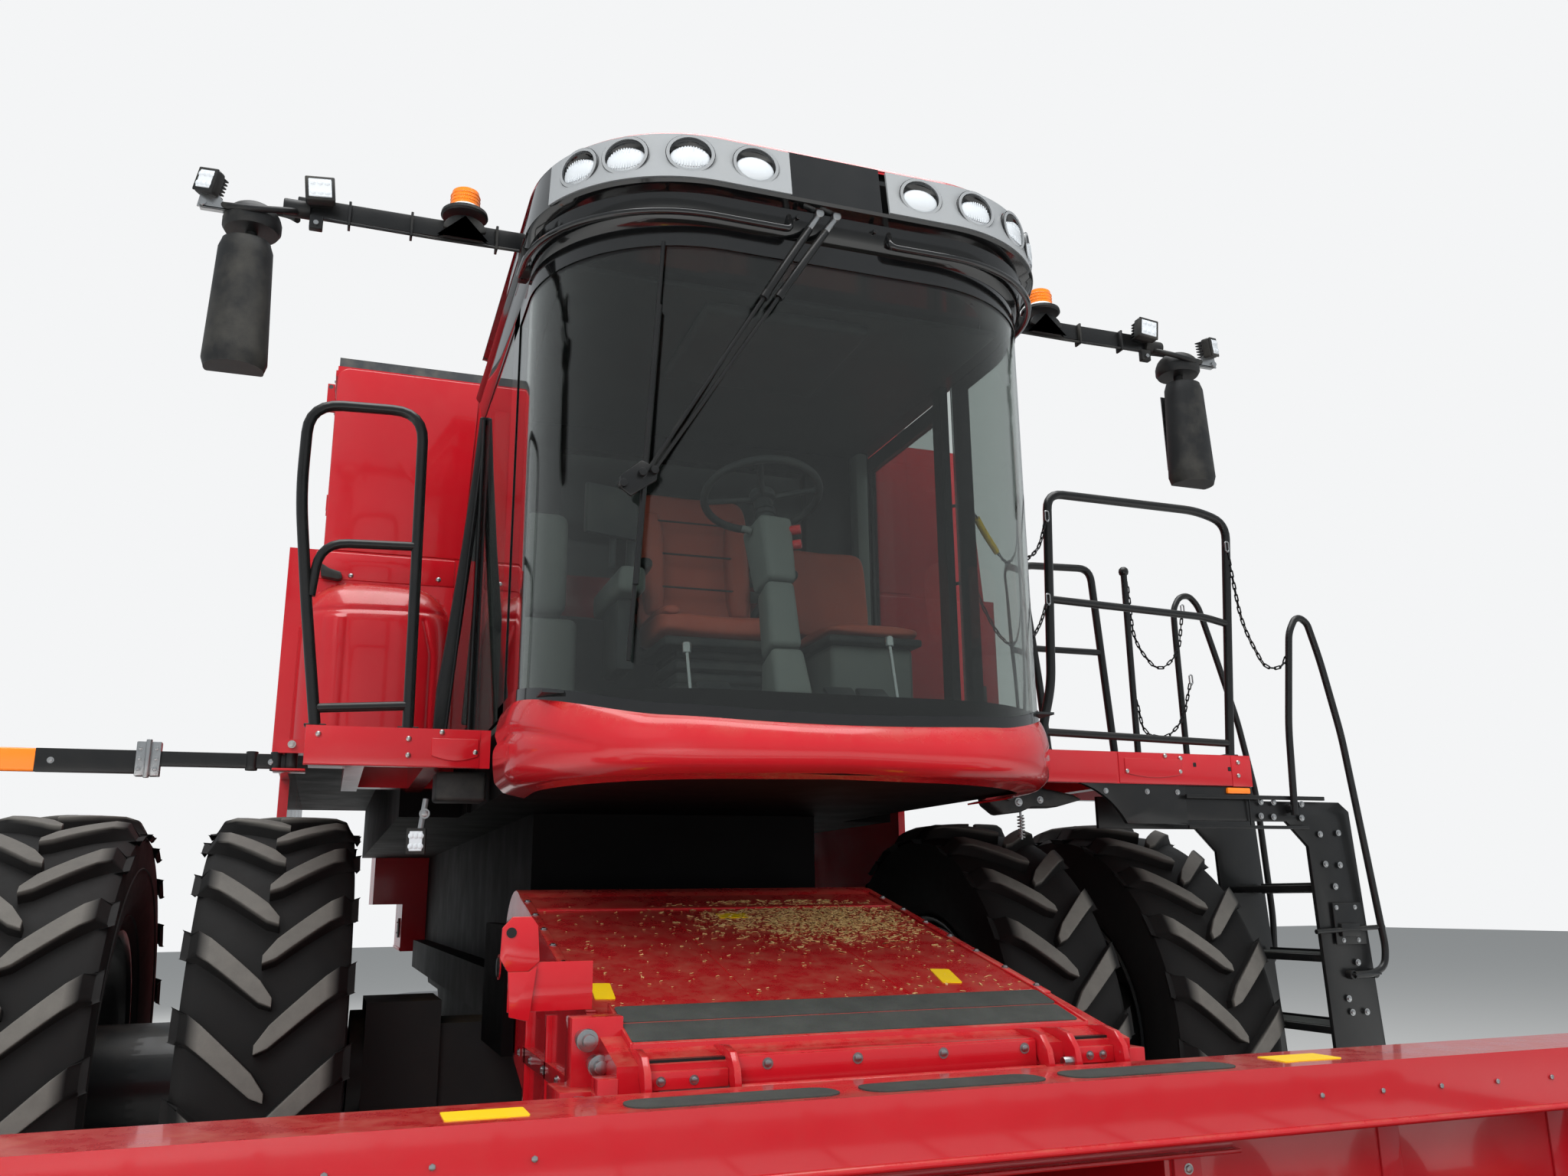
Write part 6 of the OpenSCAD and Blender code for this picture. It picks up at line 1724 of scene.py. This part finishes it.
def build_sides():
    red, dark, silver, amber = [], [], [], []
    for s, x, body in ((1, 1.75, "side_door_left_body"), (-1, -1.6, "side_door_right_body")):
        door, dsilver = [], []
        # door: rolled edges, two latches with their pulls
        lo, hi, y0, y1 = 1.002, 3.048, 1.135, 2.785
        door += [box((x - s * 0.002, a[0], a[1]), (x + s * 0.006, b[0], b[1]), 0.003)
            for a, b in (((y0, lo), (y1, lo + 0.03)), ((y0, hi - 0.03), (y1, hi)), ((y0, lo), (y0 + 0.03, hi)),
            ((y1 - 0.03, lo), (y1, hi)))]
        for z in (1.35, 2.55):
            dsilver += [box((x + s * 0.001, y1 - 0.15, z - 0.05), (x + s * 0.012, y1 - 0.06, z + 0.05), 0.004),
                box((x + s * 0.01, y1 - 0.135, z - 0.018), (x + s * 0.022, y1 - 0.075, z + 0.018), 0.005)]
        piece(f"side_door_edges_{('left' if s > 0 else 'right')}", door, RED, body)
        piece(f"side_door_latches_{('left' if s > 0 else 'right')}", dsilver, TRIM, body)
        # rear panel: seams, arch flange and bolts
        red += [box((x - s * 0.002, 2.805, 1.806), (x + s * 0.006, 2.835, 3.045), 0.003),
            box((x - s * 0.002, 2.805, 1.802), (x + s * 0.008, 4.845, 1.835), 0.003),
            box((x - s * 0.002, 2.805, 3.01), (x + s * 0.008, 4.845, 3.045), 0.003),
            box((x - s * 0.002, 3.8, 1.835), (x + s * 0.005, 3.82, 3.01), 0.002)]
        for k in range(3):
            z = 2.1 + k * 0.3
            red.append(box((x - s * 0.002, 2.92, z), (x + s * 0.007, 3.72, z + 0.1), 0.012, 3))
        # grille of the cooling air outlet with its slats
        dark.append(box((x - s * 0.002, 3.92, 2.08), (x + s * 0.005, 4.74, 2.84), 0.004))
        for k in range(17):
            z = 2.11 + k * 0.043
            dark.append(box((x + s * 0.003, 3.94, z), (x + s * 0.014, 4.72, z + 0.013), 0.002, 1))
        for k in range(11):
            silver += (bolt((x + s * 0.008, 2.86 + k * 0.19, 1.818), (s, 0, 0), 0.008, 0.006)
                + bolt((x + s * 0.008, 2.86 + k * 0.19, 3.028), (s, 0, 0), 0.008, 0.006))
        amber += [box((x + s * 0.006, 2.84, 1.86), (x + s * 0.016, 2.93, 1.9), 0.004),
            box((x + s * 0.006, 4.72, 1.86), (x + s * 0.016, 4.81, 1.9), 0.004)]
    piece("side_panel_trim", red, RED)
    piece("side_grilles", dark, TRIM)
    piece("side_panel_bolts", silver, ZINC, smooth=35)
    piece("side_reflectors", amber, AMBER, smooth=35)


def build_top():
    red, dark, silver = [], [], []
    # covers of the tank: pressed ribs and edge seals
    for name, x0, x1 in (("left", -0.085, 1.265), ("right", -1.455, -0.105)):
        ribs = [box((x0 + 0.05, y, 3.937), (x1 - 0.05, y + 0.05, 3.952), 0.006, 2)
            for y in [0.05 + 0.275 * k for k in range(9)]]
        ribs.append(box((x0 + 0.03, -0.03, 3.936), (x1 - 0.03, 0.0, 3.947), 0.004))
        piece(f'tank_cover_ribs_{name}', ribs, COVER, f'cover_{name}_body')
    # seam strips and bolts of the tank's walls
    for x, s in ((1.28, 1), (-1.47, -1)):
        red += [box((x - s * 0.002, y - 0.012, 3.06), (x + s * 0.006, y + 0.012, 3.84), 0.002)
            for y in (0.55, 1.15, 1.75)]
        red.append(box((x - s * 0.002, -0.05, 3.855), (x + s * 0.008, 2.34, 3.885), 0.003))
        silver += [q for k in range(12)
            for q in bolt((x + s * 0.008, 0.05 + 0.2 * k, 3.87), (s, 0, 0), 0.007, 0.005)]
    # hood: seams, lifting eyes, hinge bar and handle
    red += [box((-1.09, y - 0.015, 3.298), (1.09, y + 0.015, 3.306), 0.003) for y in (3.1, 3.85)]
    for s in (-1, 1):
        red.append(tube([(s * 1.095, 2.38, 3.305), (s * 1.095, 4.83, 3.305)], 0.01, 0, 3))
        silver += [tube([(s * 0.9, y - 0.035, 3.298), (s * 0.9, y - 0.035, 3.345), (s * 0.9, y + 0.035, 3.345),
            (s * 0.9, y + 0.035, 3.298)], 0.008, 0.03, 2) for y in (2.6, 4.6)]
    # guard rail round the service platform on the hood
    dark += [box((s * 1.03 - 0.03, y - 0.03, 3.3), (s * 1.03 + 0.03, y + 0.03, 3.306), 0.002) for s in (-1, 1)
        for y in (2.9, 3.6, 4.3)]
    dark.append(pad(-0.95, 0.62, 2.95, 4.7, 0.003, lambda y: 3.3005, 0.02))
    # clamp and rain flap of the exhaust
    silver += [turned([(0.07, 3.42), (0.078, 3.42), (0.078, 3.45), (0.07, 3.45)], (0.8, 2.7, 0), "z", 40),
        *bolt((0.8, 2.62, 3.435), (0, -1, 0), 0.009, 0.012),
        turned([(0.0605, 3.7), (0.071, 3.7), (0.073, 3.752), (0.0605, 3.752)], (0.8, 2.7, 0), "z", 40)]
    # flanges with bolts along the unloading tube, strap and rubber spout
    x, z = UNLOAD
    tube_red, tube_dark = [], []
    for y in (1.0, 3.2, 5.2):
        tube_red.append(turned([(0.198, y - 0.02), (0.215, y - 0.02), (0.215, y + 0.02), (0.198, y + 0.02)],
            (x, 0, z), "y", 56))
        for k in range(12):
            a = 2 * pi * k / 12
            tube_dark += bolt((x + 0.207 * cos(a), y + 0.02, z + 0.207 * sin(a)), (0, 1, 0), 0.008, 0.008)
    tube_red.append(tube([(x, 0.75, z + 0.2), (x, 0.75, z + 0.235), (x, 0.87, z + 0.235), (x, 0.87, z + 0.2)],
        0.009, 0.03, 2))
    piece("unload_flanges", tube_red, RED, "unload_body")
    piece("unload_bolts", tube_dark, ZINC, "unload_body", smooth=35)
    piece("top_seams", red, RED)
    piece("top_dark_parts", dark, GRIT)
    piece("top_fittings", silver, ZINC)
    # rotary air screen: gauze held between its ribs, centre cap
    c = (-1.1, 3.5, 2.83)
    gauze = []
    for k in range(27):
        r = 0.075 + k * 0.0123
        gauze.append(turned([(r - 0.0012, -0.0535), (r + 0.0012, -0.0535), (r + 0.0012, -0.05),
            (r - 0.0012, -0.05)], c, "x", 72))
    spokes = []
    for k in range(96):
        a = 2 * pi * k / 96
        d = Vector((0, sin(a), cos(a)))
        p = Vector((c[0] - 0.0515, c[1], c[2]))
        spokes.append(Matrix.Translation(p + d * 0.24) @ Matrix.Rotation(-a, 4, "X"))
    gauze.append(stamp(box((-0.0008, -0.001, -0.165), (0.0008, 0.001, 0.165)), spokes))
    piece("air_screen_gauze", gauze, DARK_STEEL, "screen_body")
    cap = [turned([(0, -0.075), (0.05, -0.074), (0.075, -0.062), (0.078, -0.05), (0, -0.05)], c, "x", 40)]
    piece("air_screen_cap", cap, BLACK_COAT, "screen_body")


def build_rear():
    red, dark, silver, amber, lens_red = [], [], [], [], []
    y = 5.7
    for s in (-1, 1):
        wide = sorted((s * 0.862, s * 0.958))
        lens_red += [box((wide[0], y + 0.004, 1.702), (wide[1], y + 0.034, 1.768), 0.006),
            turned([(0, y + 0.012), (0.03, y + 0.012), (0.034, y + 0.004), (0.034, y - 0.001), (0, y - 0.001)],
            (s * 0.8, 0, 1.66), "y", 28)]
        amber.append(box((wide[0], y + 0.004, 1.772), (wide[1], y + 0.034, 1.838), 0.006))
        dark.append(box((wide[0] - 0.008, y - 0.002, 1.694), (wide[1] + 0.008, y + 0.012, 1.846), 0.004))
        # edge strips of the hood and its hinges
        red.append(box((s * 0.985 - 0.01, y - 0.004, 1.61), (s * 0.985 + 0.01, y + 0.01, 2.28), 0.003))
    red += [box((-0.99, y - 0.004, 1.602), (0.99, y + 0.012, 1.632), 0.004),
        box((-0.99, y - 0.004, 2.268), (0.99, y + 0.01, 2.296), 0.004)]
    silver += [q for k in range(9) for q in bolt((-0.92 + 0.23 * k, y + 0.012, 1.617), (0, 1, 0), 0.008, 0.006)]
    # panel of the chopper below, knife shaft's bearings and the deflector's edge
    for x in (-0.78, 0.78):
        s = 1 if x > 0 else -1
        dark.append(bar((x, 5.1, 1.42), (x + s * 0.012, 5.1, 1.42), 0.075, 28, edge=0.004))
        for k in range(4):
            a = pi / 4 + k * pi / 2
            silver += bolt((x + s * 0.012, 5.1 + 0.055 * cos(a), 1.42 + 0.055 * sin(a)), (s, 0, 0), 0.008, 0.007)
        red.append(box((x - 0.002, 4.86, 1.255), (x + s * 0.006, 5.69, 1.275), 0.002))
    red.append(box((-0.78, 5.694, 1.252), (0.78, 5.708, 1.29), 0.003))
    dark.append(box((-0.76, 5.696, 1.235), (0.76, 5.702, 1.262), 0.002))
    dark += [box((x0, 5.699, 1.34), (x0 + 0.32, 5.706, 1.52), 0.004) for x0 in (-0.62, 0.3)]
    piece("rear_trim", red, RED)
    piece("rear_dark_parts", dark, TRIM)
    piece("rear_bolts", silver, ZINC, smooth=35)
    piece("rear_amber_lenses", amber, AMBER)
    piece("rear_red_lenses", lens_red, RED_LENS)
    # spreader discs: bolted vanes
    for name, x in (("left", 0.4), ("right", -0.4)):
        parts = []
        for k in range(4):
            a = k * pi / 2
            parts += [q for r in (0.12, 0.22, 0.32)
                for q in bolt((x + r * cos(a), 5.3 + r * sin(a), 0.9), (0, 0, 1), 0.009, 0.008)]
        piece(f'spreader_bolts_{name}', parts, ZINC, f'spreader_{name}_body', smooth=35)


UNLOAD = (1.53, 3.37)
build_rails()
build_ladder()
build_fascias()
build_front_panels()
build_sides()
build_top()
build_rear()


# ---- forms that the solids leave out
def build_ladder_frame():
    """Stringers, treads, the arched plate over the tyres and the two bent grab rails."""
    top = 2.05
    cheek = [(1.96, top), (2.33, top), (2.35, 1.99), (2.795, 1.99), (2.845, 1.95), (2.915, 0.6), (2.905, 0.42),
        (2.645, 0.42), (2.625, 1.2), (2.605, 1.8), (2.5, 1.905), (1.96, 1.905)]
    steel = [plate(cheek, "y", y - 0.01, y + 0.01, 0.002) for y in (-1.1, -0.5)]
    for i in range(5):
        z = 0.45 + 0.29 * i
        steel.append(box((2.655, -1.1, z), (2.895 - 0.014 * i, -0.52, z + 0.03), 0.003))
    arch = [(1.4 + 0.34 * cos(a), 1.72 + 0.34 * sin(a)) for a in [radians(30 + 46 * k / 12) for k in range(13)]]
    steel.append(plate([(1.48, top), (1.99, top), (1.99, 1.89)] + arch, "y", -1.112, -1.092, 0.002))
    # front rail, and the rear one behind the second stringer
    y = -1.142
    steel.append(tube([(2.52, y, 1.93), (2.538, y, 2.305), (2.598, y, 2.735), (2.637, y, 2.797), (2.667, y, 2.806),
        (2.705, y, 2.783), (2.753, y, 2.621), (2.824, y, 2.283), (2.883, y, 1.767), (2.926, y, 1.374),
        (2.909, y, 1.3), (2.843, y, 1.272), (2.74, y, 1.27)], 0.015, 0.07, 5))
    y = -0.468
    steel.append(tube([(2.519, y, 1.95), (2.512, y, 2.84), (2.513, y, 2.985), (2.555, y, 3.05), (2.612, y, 3.062),
        (2.664, y, 3.012), (2.742, y, 2.759), (2.836, y, 2.438), (2.905, y, 2.077), (2.93, y, 1.5),
        (2.915, y, 1.3), (2.84, y, 1.27)], 0.015, 0.07, 5))
    steel += [bar((x, a, z), (x, b, z), 0.019, 16, edge=0.002)
        for a, b, spots in ((-1.142, -1.108, ((2.521, 1.96), (2.86, 1.272), (2.74, 1.27))),
        (-0.468, -0.492, ((2.519, 1.965), (2.84, 1.27)))) for x, z in spots]
    piece("ladder_frame", steel, BLACK_COAT, stands_for=["ladder"])


def build_feeder_frame():
    """The step across the feeder's top, its face frame, side ribs and the couplers' bracket."""
    red = [plate([(-2.085, 1.341), (-2.337, 1.271), (-2.337, 1.24), (-2.085, 1.305)], "x", -0.635, 0.635, 0.002),
        box((-0.81, -2.33, 0.98), (-0.695, -2.15, 1.17), 0.004),
        box((-0.77, -2.25, 1.165), (-0.64, -2.17, 1.33), 0.004), box((-0.7, -2.452, 0.5), (0.7, -2.3, 0.6), 0.004)]
    for s in (-1, 1):
        red.append(box((s * 0.695, -2.452, 0.5), (s * 0.745, -2.38, 1.21), 0.003))
        red += [box((s * 0.695, y - 0.014, 1.115 + (y + 0.7) * 0.3143), (s * 0.716, y + 0.014, 1.28), 0.002)
            for y in (-2.0, -1.55, -1.15)]
        red.append(box((s * 0.695, -2.4, 1.1), (s * 0.716, -1.1, 1.15), 0.002))
        red += [box((s * x - 0.015, -2.69, 0.3), (s * x + 0.015, -2.63, 1.06), 0.002)
            for x in (0.9, 1.45, 2.0, 2.53)]
    piece("feeder_frame", red, RED, HEADER)
    rods = [bar((-2.145 + 0.33 * i, -4.28, 0.85), (-2.145 + 0.33 * i, -3.68, 0.81), 0.008, 12) for i in range(14)]
    piece("guard_rods", rods, BLACK_COAT, "windguard_body")


def build_outer_forms():
    """Vent slats, the chains' eyes, louvres, muffler outlet, screen ribs, door bands, rear ribs and ladder."""
    dark = [box((1.56, -0.108, 2.485 + 0.046 * i), (1.655, -0.095, 2.517 + 0.046 * i), 0.003) for i in range(3)]
    # moulding down the cab's rear right corner, with its door-side seal
    edge = [(-0.86, 3.58), (-0.892, 3.58), (-0.909, 3.345), (-0.938, 3.013), (-0.979, 2.64), (-1.006, 2.423),
        (-1.014, 2.188), (-0.96, 2.188), (-0.95, 2.423), (-0.926, 2.64), (-0.893, 3.013), (-0.868, 3.345)]
    dark += [plate(edge, "y", -0.47, -0.432, 0.008, 3),
        tube([(-0.876, -0.476, 3.56), (-0.876, -0.476, 2.2)], 0.008, 0, 2),
        tube([(-0.876, -0.474, 3.45), (-0.922, -0.474, 2.8), (-0.969, -0.474, 2.2)], 0.006, 0.3, 2)]
    # black sheet on the tank's front wall behind the cab: painted shade of the gap behind the cab
    dark.append(box((-0.86, -0.07, 2.37), (0.86, -0.0605, 3.6), 0.002))
    dark += [bar((0.835, -1.29, z), (0.905, -1.35, z), 0.007, 12) for z in (2.785, 3.1)]
    y = 5.7
    for x in (0.18, 0.56):
        dark += [tube([(x, y - 0.01, 1.5), (x, y + 0.06, 1.5), (x, y + 0.06, 2.6), (x, y + 0.06 - 0.3, 2.62)],
            0.016, 0.05, 3), bar((x, y - 0.01, 2.15), (x, y + 0.06, 2.15), 0.014, 14)]
    dark += [bar((0.18, y + 0.06, 1.55 + 0.25 * i), (0.56, y + 0.06, 1.55 + 0.25 * i), 0.014, 14) for i in range(5)]
    dark.append(turned([(0, 3.7505), (0.06, 3.7505), (0.06, 3.7515), (0, 3.7515)], (0.8, 2.7, 0), "z", 32))
    piece("outer_dark_forms", dark, BLACK_COAT)
    red = [box((1.04, 2.85, 2.66 + 0.07 * i), (1.12, 3.85, 2.69 + 0.07 * i), 0.006) for i in range(7)]
    red += [box((x - 0.012, 5.695, 1.65), (x + 0.012, 5.725, 2.23), 0.004) for x in (-0.7, 0.0)]
    red.append(bar((0.8, 2.7, 3.29), (0.8, 2.7, 3.36), 0.095, 40, edge=0.008))
    piece("outer_red_forms", red, RED)
    for name, s, x in (("left", 1, 1.75), ("right", -1, 1.6)):
        bands = [box((s * (x - 0.01), 1.23, z), (s * (x + 0.009), 2.67, z + 0.18), 0.008, 3)
            for z in (1.3, 1.75, 2.63)]
        piece(f'side_door_bands_{name}', bands, RED, f'side_door_{name}_body')
    c = (-1.1, 3.5, 2.83)
    ribs = [turned([(r - 0.01, -0.058), (r + 0.01, -0.058), (r + 0.01, -0.045), (r - 0.01, -0.045)], c, "x", 72)
        for r in (0.085, 0.24, 0.405)]
    spokes = [Matrix.Translation((c[0] - 0.0535, c[1], c[2])) @ Matrix.Rotation(a, 4, "X")
        @ Matrix.Translation((0, 0, 0.245)) for a in [pi / 4 * k for k in range(8)]]
    ribs.append(stamp(box((-0.0045, -0.009, -0.165), (0.0045, 0.009, 0.165)), spokes))
    piece("air_screen_ribs", ribs, BLACK_COAT, "screen_body")


build_ladder_frame()
build_feeder_frame()
build_outer_forms()


# ---- CAD nodes kept as they are
def dress(node, material):
    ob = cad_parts[node]
    ob.data.materials.clear()
    ob.data.materials.append(material)


KEPT = {RED: ["grain_tank", "engine_hood", "rear_hood", "body_panels", "platforms", "unload_turret", "unload_tube",
    "side_door_left", "side_door_right", "header_frame", "feeder_house", "front_bumper", "roof_cap",
    "header_adapter"], CHASSIS: ["front_axle", "rear_axle", "knuckle_left", "knuckle_right"],
    # the underbody's near-black primer carries painted shade
    SHADED_UNDERBODY: ["chassis_frame", "separator_body", "cab_base"],
    BLACK_COAT: ["cab_frame", "ladder", "handrails", "cab_door", "windguard", "lift_barrels", "air_screen",
    "mirrors"], BLACK_GLOSS: ["cab_roof"], GLASS: ["cab_glass", "cab_door_glass"],
    COVER: ["tank_cover_left", "tank_cover_right"],
    RIM: ["wheels_front_left", "wheels_front_right", "wheel_rear_left", "wheel_rear_right"],
    TYRE: ["tyres_front_left", "tyres_front_right", "tyre_rear_left", "tyre_rear_right", "gauge_wheel_left",
    "gauge_wheel_right"], CAST: ["engine_block"], LEATHER: ["seats"], CAB_GREY: ["cab_console"],
    AMBER: ["beacons", "warning_arm"], WHITE: ["lamps"], CHROME: ["steering_rod", "lift_rods"],
    WORN: ["header_auger", "spreader_left", "spreader_right"], BELT: ["pickup_belts"]}
for material, names in KEPT.items():
    for name in names:
        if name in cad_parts:
            dress(name, material)


# ---- studio
def build_studio():
    deselect()
    bpy.ops.mesh.primitive_plane_add(size=90, location=(0, 0, 0))
    floor = bpy.context.object
    floor.name = "studio_floor"
    floor.data.materials.append(start("studio_floor_paint", Base_Color=tone("#C9C9C7"), Roughness=0.9)[0])
    world = bpy.data.worlds.new("studio")
    bpy.context.scene.world = world
    world.use_nodes = True
    wt = world.node_tree
    back = wt.nodes["Background"]
    back.inputs["Color"].default_value = tone("#DDE2E6")
    back.inputs["Strength"].default_value = 0.55
    bright = add(wt, "Background", {"Color": tone("#F4F5F6"), "Strength": 1.0})
    path = add(wt, "LightPath")
    seen = add(wt, "Math", {"operation": "MAXIMUM"}, {0: (path, "Is Camera Ray"), 1: (path, "Is Transmission Ray")})
    both = add(wt, "MixShader", {}, {0: (seen, 0), 1: (back, 0), 2: (bright, 0)})
    wt.links.new(both.outputs[0], wt.nodes["World Output"].inputs["Surface"])
    for name, place, aim, size, power in (("key", (-7, -11, 9), (0, -1, 2), 7, 1500),
        ("fill", (9, -9, 6), (0, -1, 2), 7, 700), ("top", (0, -2, 12), (0, -1, 0), 9, 900),
        ("low", (-3, -10, 1.2), (0, -2, 1.5), 4, 250), ("rear", (-6, 12, 8), (0, 2, 2), 8, 900)):
        light = bpy.data.lights.new(name, "AREA")
        light.energy, light.size = power, size
        ob = shown(name, light)
        ob.location = Vector(place) + HOME
        ob.rotation_euler = (Vector(aim) - Vector(place)).to_track_quat("-Z", "Y").to_euler()
        # the low lights would draw hard white strips on the curved windscreen
        ob.visible_glossy = name == "top"
        ob.visible_transmission = False


def build_camera():
    """Where the photo was taken: low, in front of the machine's right half, looking up and across."""
    cam = bpy.data.cameras.new("photo_camera")
    cam.lens, cam.sensor_width = 1616.16 / 2048 * 36, 36
    cam.clip_start, cam.clip_end = 0.05, 200
    ob = shown("photo_camera", cam)
    yaw, pitch, roll = radians(20.08), radians(14.09), radians(-0.68)
    ahead = Vector((sin(yaw) * cos(pitch), cos(yaw) * cos(pitch), sin(pitch)))
    right = Vector((cos(yaw), -sin(yaw), 0))
    up = right.cross(ahead)
    r2 = cos(roll) * right + sin(roll) * up
    u2 = -sin(roll) * right + cos(roll) * up
    turned_to = Matrix((r2, u2, -ahead)).transposed().to_4x4()
    ob.matrix_world = Matrix.Translation(Vector((-1.37, -5.448, 1.609)) + HOME) @ turned_to
    bpy.context.scene.camera = ob


build_studio()
build_camera()
bpy.context.scene.view_settings.view_transform = "Standard"
